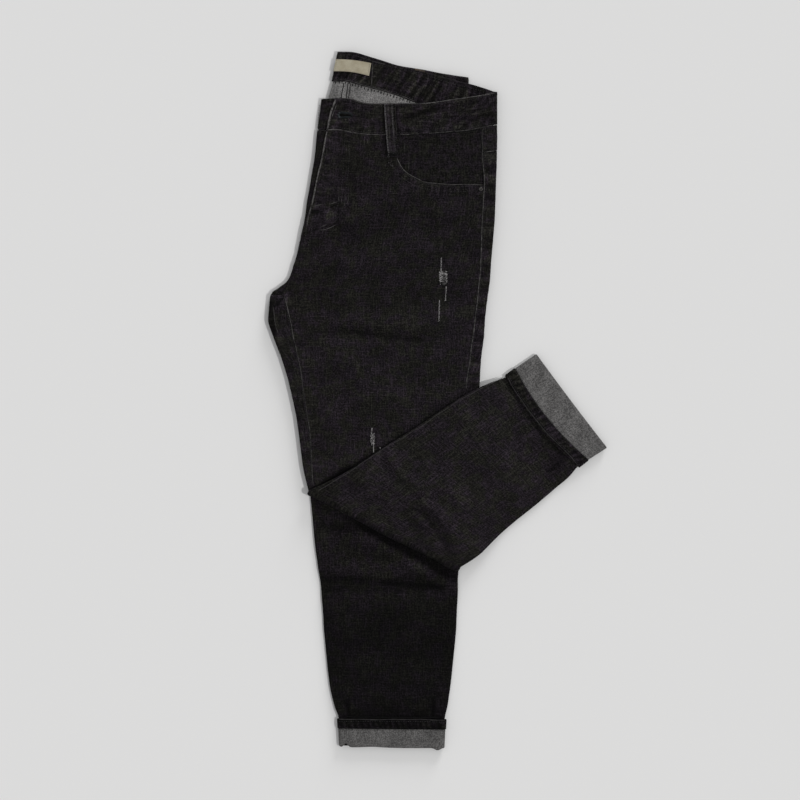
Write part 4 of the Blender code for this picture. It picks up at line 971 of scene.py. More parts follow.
def relief_of(x, y, table, seed, low=0.34, fine=0.10):
    """Height of the cloth's surface over its smooth form, mm."""
    total = low * wobble(x, y, seed, 62.0) + fine * wobble(x, y, seed + 9, 17.0) + 0.05 * wobble(x, y, seed + 21, 8.0)
    for c in table:
        (x0, y0), (x1, y1) = at(c.x0, c.y0), at(c.x1, c.y1)
        length = math.hypot(x1 - x0, y1 - y0)
        tx, ty = (x1 - x0) / length, (y1 - y0) / length
        t = ((x - x0) * tx + (y - y0) * ty) / length
        s = np.clip(t, 0, 1)
        d = (x - x0) * ty - (y - y0) * tx - c.bow * 1.3 * 4 * s * (1 - s)
        taper = ease(t, -0.22, 0.25) * (1 - ease(t, 0.70, 1.25))
        total = total + c.depth * taper * (np.exp(-(d / c.half) ** 2) - 0.36 * np.exp(-((np.abs(d) - 2.0 * c.half) / (1.1 * c.half)) ** 2))
    return total


def shade_of(relief):
    """Ridges are painted lighter, partly as rub and partly as painted highlight, and troughs darker as painted shade.
    """
    return 0.42 * np.tanh(relief / 0.8)


def tones(wear, edge=None, near=None, along=None):
    none = np.zeros_like(wear)
    return np.stack([wear, none if edge is None else edge, none if near is None else near, none if along is None else along], -1)


def photo(*pairs):
    """A plan polyline from places in the photograph's frame."""
    x_, y_ = at([p[0] for p in pairs], [p[1] for p in pairs])
    return np.stack([x_, y_], 1)


def resampled(points, pitch):
    """Even places along a plan polyline, as a smooth curve through its points."""
    p = np.asarray(points, float)
    knots = np.concatenate([[0.0], np.cumsum(np.hypot(*np.diff(p, axis=0).T))])
    fine = np.linspace(0, knots[-1], 600)
    xs_, ys_ = pchip(knots, p[:, 0], fine), pchip(knots, p[:, 1], fine)
    length = np.concatenate([[0.0], np.cumsum(np.hypot(np.diff(xs_), np.diff(ys_)))])
    n_ = max(int(round(length[-1] / pitch)), 1)
    marks = np.linspace(0, length[-1], n_ + 1)
    return np.stack([np.interp(marks, length, xs_), np.interp(marks, length, ys_)], 1)


def moved_aside(path, by):
    t = np.gradient(path, axis=0)
    t /= np.maximum(np.linalg.norm(t, axis=1, keepdims=True), 1e-9)
    return path + np.stack([-t[:, 1], t[:, 0]], 1) * by


INSEAM = photo((284, 296), (287.3, 308), (290, 320), (294.7, 342.8), (301.4, 374.3), (306.3, 409), (311, 445.6), (313, 486))
OUTSEAM = photo((482, 128.6), (482.4, 139), (482.8, 159), (484, 178), (482.4, 220), (480.7, 260), (478.7, 287), (476.7, 307), (474, 329),
                (471.3, 347), (469.3, 364), (467.3, 377), (465.9, 390))
FLY = photo((326.4, 131.5), (324.6, 140), (323, 150.4), (320, 165), (317, 177), (314, 192), (311, 206), (307.8, 218), (306.4, 226))
POCKET = photo((396.8, 158), (399.6, 164.2), (403.8, 170.3), (412.2, 176.6), (422, 181.5), (433.3, 183.6), (454.3, 185), (481, 184.5))
BAND_LOW = photo((326.6, 129.6), (343.4, 130.4), (356.2, 133.2), (373, 134.8), (399, 134.8), (424.4, 133.8), (439.6, 132.4), (454, 131.4),
                 (470, 129.8), (482, 127.4), (496.4, 124.6))
# Seams beside which the cloth puckers: where the puckers' middle runs, how far
# they reach to either side, their pitch in mm and their strength.
Puckers = namedtuple("Puckers", "path reach pitch strength")
PUCKERED = [
    Puckers(photo((331.6, 134), (329.6, 148), (326.4, 166), (322.4, 184), (318.4, 202), (313.4, 222)), 5.5, 7.5, 1.0),
    Puckers(photo((346, 136), (345, 156), (343.6, 176), (341, 192), (336, 208), (326, 222)), 6.0, 8.0, 0.55),
    Puckers(photo((336, 201), (342, 200), (349, 198)), 6.5, 3.4, 1.0),
    Puckers(photo((398, 172), (408, 181), (420, 186.6), (433, 188.6), (454, 190), (479, 189.4)), 4.6, 5.2, 1.15),
    Puckers(BAND_LOW + [0.0, -5.0], 7.0, 8.5, 0.60), Puckers(INSEAM + [6.0, 0.0], 6.5, 8.0, 0.60), Puckers(INSEAM + [-6.5, 0.0], 5.0, 9.0, 0.55),
    Puckers(OUTSEAM + [-4.5, 0.0], 4.5, 9.0, 0.50), Puckers(OUTSEAM + [9.0, 0.0], 9.0, 13.0, 1.0),
    Puckers(photo((272, 300), (274, 320), (279, 338), (287, 364), (294, 392), (300, 420), (306, 460)), 7.0, 13.0, 0.65),
]


# Painted shadow in narrow places: beside the turned leg's upper edge, and along
# the leg side of each hem.
EDGE_PAINTED_SHADE = [Puckers(photo((311.5, 493.0), (325, 484.2), (340, 474.2), (353, 466.2)), 4.4, 9.0, 3.2),
             Puckers(photo((353, 466.4), (383, 446.6), (415, 426.6), (440, 409.6), (465, 392.8)), 2.3, 9.0, 1.0)]
HEM_PAINTED_SHADE = [Puckers(photo((505.0, 378.6), (510, 389.5), (518, 402.5), (530, 418.5), (542.8, 434.5), (554, 446.5), (566, 457.8)), 1.9, 9.0, 1.5)]
HEM_PAINTED_SHADE_R = [Puckers(photo((350, 712.6), (390, 713.0), (430, 713.6)), 4.6, 9.0, 0.9), Puckers(photo((348.6, 700), (348.9, 716)), 1.5, 9.0, 0.9),
              Puckers(photo((431.4, 700), (431.2, 716)), 1.5, 9.0, 0.7), Puckers(photo((343, 716.9), (352, 717.3), (390, 717.4), (420, 717.6), (444, 718.2)), 2.3, 9.0, 2.4)]

# Painted shade in sharp troughs and in the lee of the belt loop and of the crotch's fold.
THIGH_PAINTED_SHADE = [Puckers(photo((350, 330.4), (360, 332.3), (384, 336), (407, 338.8), (427, 340.4)), 2.5, 9.0, 1.25),
              Puckers(photo((331, 332.2), (341, 332.6), (352, 332.4)), 4.5, 9.0, 0.5),
              Puckers(photo((384.0, 134.5), (385.4, 146), (386.9, 157)), 1.9, 9.0, 1.5), Puckers(photo((396.7, 134.5), (397.6, 146), (398.6, 156.5)), 1.9, 9.0, 1.2),
              Puckers(photo((271.7, 300), (271.3, 308), (271.4, 316), (272.4, 326), (275.2, 337)), 2.7, 9.0, 2.0),
              Puckers(photo((283.4, 297.8), (279, 302), (274.4, 306.4)), 1.8, 9.0, 1.7), Puckers(photo((389.5, 154.6), (398, 156.2)), 2.4, 9.0, 1.5),
              Puckers(photo((309.5, 212), (320, 212)), 2.6, 9.0, 1.2), Puckers(photo((400, 136.4), (418, 135.8)), 1.5, 9.0, 1.0)]
# Lighter marks on raised folds by the fly and the crotch, partly rub and partly painted highlight.
THIGH_RUB_AND_HIGHLIGHT = [Puckers(photo((328.6, 207.5), (327.9, 215.5), (326.8, 223)), 3.3, 9.0, 0.95), Puckers(photo((334.5, 209.0), (334.2, 215.5), (333.5, 222)), 1.9, 9.0, 0.6),
               Puckers(photo((273.6, 297.6), (278, 295.4), (283, 292.2)), 3.4, 9.0, 0.95), Puckers(photo((285.2, 289.5), (286.0, 296), (286.8, 303)), 2.2, 9.0, 1.1),
               Puckers(photo((331, 207.4), (326.4, 209)), 1.6, 9.0, 0.4)]
# Painted shade in the turned leg's troughs and hollows.
TURNED_PAINTED_SHADE = [Puckers(photo((413, 507), (424, 515), (434, 527), (444, 543), (450, 555.5)), 2.8, 9.0, 0.85),
               Puckers(photo((410.5, 516), (415, 521), (420.5, 526)), 5.0, 9.0, 0.5), Puckers(photo((545, 474), (556, 466), (566, 458.5)), 2.3, 9.0, 1.1)]
# Painted shade in the lower leg's troughs and in the crevices above its hem.
LOWER_PAINTED_SHADE = [Puckers(photo((320, 579.2), (345, 578.8), (373, 579.2)), 3.2, 9.0, 0.95), Puckers(photo((380, 581.5), (400, 584), (420, 586.2), (444, 587.6)), 3.6, 9.0, 1.5),
              Puckers(photo((321, 589.4), (345, 590)), 2.4, 9.0, 0.65), Puckers(photo((331, 526), (352, 529.5), (374, 531.5)), 6.5, 9.0, 0.6),
              Puckers(photo((345.6, 700), (347.2, 709), (348.6, 717)), 2.3, 9.0, 1.1), Puckers(photo((434.8, 700), (433.4, 709), (432.6, 717)), 2.6, 9.0, 1.0)]


def pucker_field(x, y, table):
    """Strength of the puckers and place along their seam, in pitches."""
    pts = np.stack([x.ravel(), y.ravel()], 1)
    near, along, best = np.zeros(len(pts)), np.zeros(len(pts)), np.zeros(len(pts))
    for n, row in enumerate(table):
        p = resampled(row.path, 9.0)
        low, high = p.min(0) - 2.6 * row.reach, p.max(0) + 2.6 * row.reach
        sel = np.nonzero(((pts > low) & (pts < high)).all(1))[0]
        if not len(sel):
            continue
        q = pts[sel]
        d_min, s_min, done = np.full(len(q), 1e9), np.zeros(len(q)), 0.0
        for a, b in zip(p[:-1], p[1:]):
            e = b - a
            length = math.hypot(*e)
            t = np.clip(((q - a) @ e) / length ** 2, 0, 1)
            d = np.hypot(*(q - a - t[:, None] * e).T)
            closer = d < d_min
            d_min, s_min = np.where(closer, d, d_min), np.where(closer, done + t * length, s_min)
            done += length
        ends = ease(s_min, 0.0, 5.0) * (1 - ease(s_min, done - 5.0, done))
        weight = row.strength * np.exp(-(d_min / row.reach) ** 2) * (0.4 + 0.6 * ends)
        better = weight > best[sel]
        best[sel] = np.where(better, weight, best[sel])
        along[sel] = np.where(better, s_min / row.pitch + 40.0 * n, along[sel])
    return best.reshape(x.shape), along.reshape(x.shape)


def under_turned(x, y):
    """1 where the turned leg lies on the thigh."""
    (x0, y0), (x1, y1), (x2, y2) = at(313, 492), at(427, 420.5), at(480, 387)
    d = np.minimum((x - x0) * (y1 - y0) - (y - y0) * (x1 - x0), (x - x1) * (y2 - y1) - (y - y1) * (x2 - x1))
    return ease(d / 100.0, -8.0, 6.0)


def pucker(run, away, seed, pitch=10.5, fade=7.0):
    """Short cross ripples beside a seam."""
    rng = np.random.default_rng(seed)
    phase = 1.1 * np.sin(run / 31.0 + rng.uniform(0, 6)) + 0.8 * np.sin(run / 13.0 + rng.uniform(0, 6))
    swell = 0.65 + 0.35 * np.sin(run / 47.0 + rng.uniform(0, 6))
    return np.sin(run * 2 * math.pi / pitch + phase) * np.exp(-np.maximum(away, 0.0) / fade) * swell


# The knee's fold: how far its middle and its end hang below its straight line,
# by the share of the way along it.
(KX0, KY0), (KX1, KY1) = at(311, 497.5), at(449, 571.0)
KNEE_LENGTH = math.hypot(KX1 - KX0, KY1 - KY0)
HangPoint = namedtuple("HangPoint", "share fall")
KNEE_HANG = [HangPoint(-0.3, 0.0), HangPoint(0.0, 0.0), HangPoint(0.28, 1.8), HangPoint(0.55, 5.0), HangPoint(0.8, 5.8), HangPoint(0.98, 8.6), HangPoint(1.06, 5.0),
             HangPoint(1.2, 2.4), HangPoint(1.5, 0.0)]


def from_knee(x, y):
    """Distance below the knee's fold and the share of the way along it."""
    return (((x - KX0) * (KY1 - KY0) - (y - KY0) * (KX1 - KX0)) / KNEE_LENGTH,
            ((x - KX0) * (KX1 - KX0) + (y - KY0) * (KY1 - KY0)) / KNEE_LENGTH ** 2)


def hung(p):
    """The turned leg's fold hangs a little towards the foot."""
    q = p.copy()
    away, share = from_knee(p[..., 0], p[..., 1])
    q[..., 1] -= pchip(column(KNEE_HANG, "share"), column(KNEE_HANG, "fall"), np.clip(share, -0.3, 1.5)) * np.exp(-(away / 30.0) ** 2)
    return q


CROTCH = row_of(LEFT_THIGH, "crotch")
CROTCH_R = row_of(RIGHT_LEG, "crotch")
KNEE_R = row_of(RIGHT_LEG, "knee")
YOKE = 1
PIECES = {}


def shortened_rows(table, rows, back):
    """The last row moved back from the end of the turn-up."""
    a, b = table[-2], table[-1]
    gap = 0.5 * (math.hypot(b.left_x - a.left_x, b.left_y - a.left_y) + math.hypot(b.right_x - a.right_x, b.right_y - a.right_y))
    last = len(table) - 1 - back / gap
    keep = rows[rows < last - 1e-6]
    return np.append(keep, last)


CUFF_END = 2.3
THIGH_ROWS, THIGH_RUN = spaced_rows(LEFT_THIGH, [0, YOKE, CROTCH, len(LEFT_THIGH) - 1], 2.9)
TURN_ROWS, TURN_RUN = spaced_rows(LEFT_TURNED, [0, len(LEFT_TURNED) - 1], 2.9)
TURN_ROWS = shortened_rows(LEFT_TURNED, TURN_ROWS, CUFF_END)
LOWER_ROWS, LOWER_RUN = spaced_rows(RIGHT_LEG, [0, YOKE, CROTCH_R, KNEE_R, len(RIGHT_LEG) - 1], 2.9)
LOWER_ROWS = shortened_rows(RIGHT_LEG, LOWER_ROWS, CUFF_END)
BEND = np.radians(np.arange(18, 163, 18.0))


def lowered(p):
    q = p.copy()
    q[..., 2] += lift_at(p[..., 0], p[..., 1]) - drop_at(p[..., 0], p[..., 1])
    return q


def to_waist_seam(grid, rows):
    """The first rows end along the sagging waistband seam."""
    g = grid.copy()
    x = g[..., 0]
    first = g[:1, :, 1]
    share = pchip([0, 1, 2, 60], [1.0, 0.5, 0.0, 0.0], rows)[:, None]
    g[..., 1] += share * (seam_y(x) - GAP - np.interp(x[0], x[0][np.argsort(x[0])], first[0][np.argsort(x[0])]))
    return g


def grain(grid, along, centre=0.5):
    """Cloth millimetres: across from the panel's middle, and along the leg."""
    across = arc_lengths(grid)
    return np.stack([across - across[:, -1:] * centre, np.repeat(along[:, None], grid.shape[1], 1)], -1)


def displaced(grid, out, amount):
    return grid + normals_of(grid, out) * amount[..., None]


# --- left front
FRONT_COLS = 84
ROLL = np.concatenate([np.arange(0.0, 12.0, 1.25), [12.0]])
st = sample(LEFT_THIGH, THIGH_ROWS)
w = width(st)
total = (st["base"] + st["height"])[:, None]
upper = THIGH_ROWS <= CROTCH + 1e-9
s0 = wrap_length(total, st["seam_left"][:, None])
u_roll, z_roll = wrap_point(total, s0 + ROLL[None])
a = st["seam_left"] + GAP / 2
u_flat = np.where(upper[:, None], u_roll, a[:, None] + ROLL[None])
v_flat = np.where(upper[:, None], z_roll - st["base"][:, None], (st["height"] - WALL / 2)[:, None])
f = np.arange(1, FRONT_COLS + 1) / FRONT_COLS
u = np.concatenate([u_flat, u_flat[:, -1:] + ((w - st["seam_right"] - GAP / 2)[:, None] - u_flat[:, -1:]) * f[None]], 1)
v = np.concatenate([v_flat, np.repeat((st["height"] - WALL / 2)[:, None], FRONT_COLS, 1)], 1)
thigh_part = to_waist_seam(place(st, u, v), THIGH_ROWS)
knee = {k: x[-1:] for k, x in st.items()}
u_knee, v_knee = u[-1:], v[-1:]
bend_part = np.concatenate([place(knee, u_knee, v_knee, np.array([t])) for t in BEND])
st2 = sample(LEFT_TURNED, TURN_ROWS)
a2 = st2["seam_left"] + GAP / 2
start = a2[:, None] + ROLL[None]
u2 = np.concatenate([start, start[:, -1:] + ((width(st2) - st2["seam_right"] - GAP / 2)[:, None] - start[:, -1:]) * f[None]], 1)
turned_part = lowered(place(st2, u2, (st2["height"] - WALL / 2)[:, None] + 0 * u2, "down"))
grid = hung(np.concatenate([thigh_part, bend_part, turned_part]))
run = np.concatenate([THIGH_RUN, THIGH_RUN[-1] + 0.8 * np.arange(1, len(BEND) + 1), THIGH_RUN[-1] + 7.0 + TURN_RUN[:len(TURN_ROWS)]])
nt = len(THIGH_ROWS)
x, y = grid[..., 0], grid[..., 1]
across = arc_lengths(grid)
relief = np.zeros(x.shape)
top = relief_of(x[:nt], y[:nt], THIGH_CREASES, 11)
top *= 1 - 0.75 * under_turned(x[:nt], y[:nt])
from_left, from_right = across[:nt], across[:nt, -1:] - across[:nt]
by_seam = 0.20 * pucker(run[:nt, None] + 0 * from_left, from_left, 3) + 0.16 * pucker(run[:nt, None] + 0 * from_left, from_right, 4, 12.0)
from_waist = np.maximum(run[:nt, None] + 0 * from_left, 0.0)
by_seam += 0.28 * pucker(x[:nt], from_waist, 5, 9.0, 9.0)
top += by_seam * (1 - under_turned(x[:nt], y[:nt]))
# The fly's two layers and the pocket's edge stand a little higher.
(fx0, fy0), (fx1, fy1) = at(340.0, 134.0), at(331.0, 222.0)
fly_in = fx0 + (y[:nt] - fy0) * (fx1 - fx0) / (fy1 - fy0)
top += 0.45 * (1 - ease(x[:nt], fly_in - 2.0, fly_in + 4.0)) * ease(y[:nt], at(0, 236.0)[1], at(0, 214.0)[1])


def pocket_side(points, shift=(0.0, 0.0), table=POCKET_EDGE):
    """Signed distance to the pocket opening's edge, below zero inside it."""
    px, py = pchip(np.arange(len(table)), column(table, "x"), np.linspace(0, len(table) - 1, 90)), \
        pchip(np.arange(len(table)), column(table, "y"), np.linspace(0, len(table) - 1, 90))
    px, py = px + shift[0], py + shift[1]
    px, py = np.concatenate([[px[0] - 1.5], px, [px[-1] + 40.0]]), np.concatenate([[py[0] + 60.0], py, [py[-1]]])
    best = np.full(len(points), 1e9)
    sign = np.ones(len(points))
    for k in range(len(px) - 1):
        dx, dy = px[k + 1] - px[k], py[k + 1] - py[k]
        length = math.hypot(dx, dy)
        t = np.clip(((points[:, 0] - px[k]) * dx + (points[:, 1] - py[k]) * dy) / length ** 2, 0, 1)
        ex, ey = points[:, 0] - px[k] - t * dx, points[:, 1] - py[k] - t * dy
        d = np.hypot(ex, ey)
        side = np.where(dx * (points[:, 1] - py[k]) - dy * (points[:, 0] - px[k]) > 0, -1.0, 1.0)
        near = d < best
        best, sign = np.where(near, d, best), np.where(near, side, sign)
    return best * sign


flat_points = grid[:nt].reshape(-1, 3)
d_pocket = pocket_side(flat_points).reshape(x[:nt].shape)
top += 0.45 * np.exp(-((d_pocket - 4.5) / 5.5) ** 2) * (d_pocket > -6)
relief[:nt] = top
under = relief_of(x[nt:], y[nt:], [], 12, 0.18, 0.06)
relief[nt:] = np.minimum(-0.15 - 0.25 * np.abs(under), 0.0)
wear = np.zeros(x.shape)
wear[:nt] = shade_of(top) + 0.10 * wobble(x[:nt], y[:nt], 77, 45.0) - 0.05
wear[:nt] += 0.30 * np.exp(-from_right / 5.0) + 0.22 * np.exp(-from_left / 6.0)
wear[nt:] = -0.2
fade = ease(run, 0, 6)[:, None]
relief *= 0.35 + 0.65 * fade
near, along = np.zeros(x.shape), np.zeros(x.shape)
near[:nt], along[:nt] = pucker_field(x[:nt], y[:nt], PUCKERED)
# Painted shadow beside the turned leg's upper edge, painted shade in troughs and lees, and lighter marks on raised
# folds.
wear[:nt] -= pucker_field(x[:nt], y[:nt], EDGE_PAINTED_SHADE)[0] + pucker_field(x[:nt], y[:nt], THIGH_PAINTED_SHADE)[0] - pucker_field(x[:nt], y[:nt], THIGH_RUB_AND_HIGHLIGHT)[0]
wear[:nt] -= 0.20 * ease(y[:nt], at(0, 335.0)[1], at(0, 285.0)[1])
PIECES["front_left"] = cloth("front_left_cloth", displaced(grid, 1.0, relief), DENIM, out=1.0, uv=grain(grid, run), wear=tones(wear, None, near, along),
                             cut=[lambda p: -pocket_side(p) - 60.0 * (p[:, 1] < 200.0) - 60.0 * (p[:, 2] > 900.0)], edge_wear=0.35)
FRONT_LEFT_GRID, FRONT_LEFT_RUN, FRONT_LEFT_RELIEF = grid, run, relief

# --- left back: side strips up the thigh, whole past the knee
BACK_COLS = 74
st = sample(LEFT_THIGH, THIGH_ROWS)
u, v, marks = back_section(st, BACK_COLS)
thigh_part = place(st, u, v)
knee = {k: x[-1:] for k, x in st.items()}
bend_part = np.concatenate([place(knee, u[-1:], v[-1:], np.array([t])) for t in BEND])
st2 = sample(LEFT_TURNED, TURN_ROWS)
u2, v2, _ = back_section(st2, BACK_COLS)
turned_part = lowered(place(st2, u2, v2, "down"))
y_row = thigh_part[:, :, 1]
yoke_n = int(np.argmin(np.abs(THIGH_ROWS - YOKE)))
crotch_n = int(np.argmin(np.abs(THIGH_ROWS - CROTCH)))
grid = hung(np.concatenate([thigh_part, bend_part, turned_part]))
n, m = grid.shape[:2]
x, y = grid[..., 0], grid[..., 1]
lap_left = marks[2] + 4
lap_right = marks[3] - 4
keep = np.zeros((n - 1, m - 1), bool)
keep[crotch_n:, :lap_left] = True
keep[yoke_n:, lap_right:] = True
keep[nt - 7:, :] = True
inward = grid.copy()
across = arc_lengths(grid)
from_left, from_right = across, across[:, -1:] - across
relief = np.zeros(x.shape)
strip = relief_of(x[:nt], y[:nt], THIGH_CREASES[:6], 14, 0.16, 0.08)
strip += 0.55 * pucker(run[:nt, None] + 0 * from_right[:nt], from_right[:nt], 6, 15.0, 16.0) * ease(y[:nt], -60, 40)
strip += 0.22 * pucker(run[:nt, None] + 0 * from_left[:nt], from_left[:nt], 7, 11.0, 9.0)
relief[:nt] = strip
relief[:nt, marks[2]:marks[3]] = 0.0
relief[:nt, marks[3]:marks[4]] *= 0.5
strip_wear_and_shade = shade_of(strip) + 0.10 * wobble(x[:nt], y[:nt], 78, 40.0)
back = relief_of(x[nt:], y[nt:], TURNED_CREASES, 15)
side_fade = np.ones(m)
side_fade[:marks[1]] = 0.0
side_fade[marks[4]:] = 0.0
half_turn = 0.5 * (1 - np.cos(np.linspace(0, math.pi, FOLD_COLS)))
side_fade[marks[1]:marks[2]] = half_turn
side_fade[marks[3]:marks[4]] = half_turn[::-1]
relief[nt:] = back * side_fade[None]
relief[nt:] = np.where(side_fade[None] < 0.2, np.minimum(relief[nt:], 0.0), relief[nt:])
ends = ease(run[-1] - run, 0.0, 8.0)[:, None]
relief *= 0.3 + 0.7 * ends
wear = np.zeros(x.shape)
wear[:nt] = strip_wear_and_shade - 0.05
wear[nt:] = shade_of(back) * side_fade[None] + 0.12 * wobble(x[nt:], y[nt:], 79, 50.0) + 0.12
# Painted shade on the rounded side of the knee's fold.
wear[nt:nt + len(BEND)] -= 0.9 * (1 - ease(np.arange(len(BEND)), 3.0, 8.0))[:, None]
grid = displaced(grid, -1.0, relief)
grid[crotch_n, :marks[2]] += [0, -2 * GAP, 0]
near, along = np.zeros(x.shape), np.zeros(x.shape)
near[:nt], along[:nt] = pucker_field(x[:nt], y[:nt], PUCKERED)
# Painted shade along the hem's leg side and in the turned leg's troughs; on the thigh, painted shadow beside the turned
# leg's edge, shade in troughs, and lighter marks on raised folds.
wear[nt:] -= pucker_field(x[nt:], y[nt:], HEM_PAINTED_SHADE)[0] + pucker_field(x[nt:], y[nt:], TURNED_PAINTED_SHADE)[0]
wear[:nt] -= pucker_field(x[:nt], y[:nt], EDGE_PAINTED_SHADE)[0] + pucker_field(x[:nt], y[:nt], THIGH_PAINTED_SHADE)[0] - pucker_field(x[:nt], y[:nt], THIGH_RUB_AND_HIGHLIGHT)[0]
# Painted shade on the turned leg close to the knee's fold.
away, share = from_knee(x[nt:], y[nt:])
wear[nt:] -= (0.25 * np.exp(-(away / 45.0) ** 2) + 0.75 * np.exp(-(away / 8.0) ** 2) * ease(share, 0.1, 0.5)) * (share < 1.1)
PIECES["back_left"] = cloth("back_left_cloth", grid, DENIM, out=-1.0, keep=keep, uv=grain(inward, run), wear=tones(wear, None, near, along))
BACK_LEFT_GRID = grid

yoke_grid = inward[:yoke_n + 1, lap_right:].copy()
yx = yoke_grid[0, :, 0]
share = np.linspace(1, 0, yoke_n + 1)[:, None]
yoke_grid[..., 1] += share * (np.where(yx > 55, seam_y(yx), 356.0) - GAP - 0.2 - yoke_grid[0, :, 1])[None]
yoke_grid[-1, :, 1] += GAP
yr = 0.18 * wobble(yoke_grid[..., 0], yoke_grid[..., 1], 31, 16.0)
bulge = 0.35 * np.sin(np.linspace(0, math.pi, yoke_n + 1))[:, None]
PIECES["yoke_left"] = cloth("yoke_left_cloth", displaced(yoke_grid, -1.0, yr + bulge), DENIM, out=-1.0, uv=grain(yoke_grid, THIGH_RUN[:yoke_n + 1]),
                            wear=tones(0.1 + 0 * yr), edge_wear=0.5)

# --- right back: strips, then whole below the knee, back side up
st = sample(RIGHT_LEG, LOWER_ROWS)
u, v, marks = back_section(st, BACK_COLS)
grid = place(st, u, v, "down")
run_r = LOWER_RUN[:len(LOWER_ROWS)]
n, m = grid.shape[:2]
x, y = grid[..., 0], grid[..., 1]
yoke_r = int(np.argmin(np.abs(LOWER_ROWS - YOKE)))
crotch_r = int(np.argmin(np.abs(LOWER_ROWS - CROTCH_R)))
knee_r = int(np.argmin(np.abs(LOWER_ROWS - KNEE_R)))
keep = np.zeros((n - 1, m - 1), bool)
keep[crotch_r:, :lap_left] = True
keep[yoke_r:, lap_right:] = True
keep[knee_r:, :] = True
relief = relief_of(x, y, LOWER_CREASES, 16, 0.36, 0.10) * side_fade[None]
relief = np.where(side_fade[None] < 0.2, 0.0, relief)
uncovered = ease(-(y - (-216.5 + (x - 29.5) * -0.45)), -60.0, 0.0)
hidden = (y > -95.0)
relief = np.where(hidden, np.minimum(relief * 0.3, 0.1), relief * (0.35 + 0.65 * uncovered))
ends = ease(run_r[-1] - run_r, 0.0, 8.0)[:, None]
relief *= 0.3 + 0.7 * ends
# Painted shade: the lower leg is darker, and darker still towards the foot.
wear = shade_of(relief) + 0.09 * wobble(x, y, 80, 50.0) - 0.46 - 0.84 * ease(-y, 195.0, 300.0)
# Painted shade: a dark band just below the knee's fold; past it, a painted lighter
# band that offsets the lamps' shadow of the fold.
away, share = from_knee(x, y + pchip(column(KNEE_HANG, "share"), column(KNEE_HANG, "fall"), np.clip(from_knee(x, y)[1], -0.3, 1.5)))
fold_painted_shade = ease(share, 0.10, 0.42) * (1 - ease(share, 0.96, 1.05))
wear -= 1.6 * fold_painted_shade * np.exp(-(np.maximum(away - 0.5, 0.0) / 2.2) ** 2) * (np.abs(away) < 60)
wear += 0.95 * ease(share, 0.2, 0.5) * np.exp(-((away - 9.5) / 6.0) ** 2)
# Painted shade in the lower leg's troughs and in the step and crevices by the hem.
wear -= pucker_field(x, y, LOWER_PAINTED_SHADE)[0]
wear -= pucker_field(x, y, HEM_PAINTED_SHADE_R)[0]
inward = grid
grid = displaced(grid, 1.0, relief)
grid[crotch_r, :marks[2]] += [0, -2 * GAP, 0]
PIECES["back_right"] = cloth("back_right_cloth", grid, DENIM, out=1.0, keep=keep, uv=grain(inward, run_r) + [9.0, 700.0], wear=tones(wear))
BACK_RIGHT_GRID = grid
yoke_grid = inward[:yoke_r + 1, lap_right:].copy()
yoke_grid[..., 1] += np.linspace(1, 0, yoke_r + 1)[:, None] * (-GAP - 0.6)
yoke_grid[-1, :, 1] += GAP
PIECES["yoke_right"] = cloth("yoke_right_cloth", yoke_grid, DENIM, out=1.0, uv=grain(yoke_grid, run_r[:yoke_r + 1]), edge_wear=0.3)

# --- right front: on the floor, and up round the centre front above the crotch
FRONT_R_ROWS, FRONT_R_RUN = spaced_rows(RIGHT_LEG, [0, YOKE, CROTCH_R, len(RIGHT_LEG) - 1], 4.2)
FRONT_R_ROWS = shortened_rows(RIGHT_LEG, FRONT_R_ROWS, CUFF_END)
WRAP_COLS, FLOOR_COLS = 22, 46
st = sample(RIGHT_LEG, FRONT_R_ROWS)
mate = sample(LEFT_THIGH, np.minimum(FRONT_R_ROWS, CROTCH))
upper = FRONT_R_ROWS <= CROTCH_R + 1e-9
steps = pchip([-r.y for r in FLY_WRAP], column(FLY_WRAP, "step"), -st["left_y"])
laps = pchip([-r.y for r in FLY_WRAP], column(FLY_WRAP, "lap"), -st["left_y"])
total = mate["base"] + mate["height"] - steps
s1 = wrap_length(total, st["seam_left"]) + laps
s0 = -(total - WALL) / 2 * math.pi / 2
k = np.arange(WRAP_COLS + 1) / WRAP_COLS
uw, zw = wrap_point(total[:, None], s1[:, None] + (s0 - s1)[:, None] * k[None])
a = st["seam_left"] + GAP / 2
uw = np.where(upper[:, None], uw, a[:, None])
zw = np.where(upper[:, None], zw, WALL / 2 + st["base"][:, None])
a2 = np.where(upper, np.maximum(st["seam_left"], 14.0), a)
k = np.arange(1, FLOOR_COLS + 1) / FLOOR_COLS
uf = a2[:, None] + ((width(st) - st["seam_right"] - GAP / 2) - a2)[:, None] * k[None]
zf = WALL / 2 + np.where(upper, 0.0, st["base"])[:, None] + 0 * uf
flat = dict(st)
flat["base"] = np.zeros(len(st["base"]))
grid = place(flat, np.concatenate([uw, uf], 1), np.concatenate([zw, zf], 1))
grid[..., 1] += np.linspace(-GAP - 0.6, 0, 8)[np.minimum(np.arange(len(grid)), 7)][:, None]
rows_n = len(FRONT_R_ROWS)
crotch_f = int(np.argmin(np.abs(FRONT_R_ROWS - CROTCH_R)))
keep = np.ones((rows_n - 1, WRAP_COLS + FLOOR_COLS), bool)
keep[crotch_f:, :WRAP_COLS] = False
x, y = grid[..., 0], grid[..., 1]
on_wrap = np.zeros(grid.shape[1])
on_wrap[:WRAP_COLS - 4] = 1.0
relief = (0.12 * wobble(x, y, 41, 24.0) + 0.10 * pucker(FRONT_R_RUN[:rows_n, None] + 0 * x, np.abs(arc_lengths(grid) - 8.0), 8, 9.0)) * on_wrap[None]
PIECES["front_right"] = cloth("front_right_cloth", displaced(grid, -1.0, relief), DENIM, out=-1.0, keep=keep,
                              uv=grain(grid, FRONT_R_RUN[:rows_n]) + [13.0, 1500.0], wear=tones(-0.45 + 0 * relief),
                              cut=[lambda p: -pocket_side(p, tuple(RIGHT_POCKET)) - 60.0 * (p[:, 1] < 200.0) - 90.0 * (p[:, 2] > 2.0)])

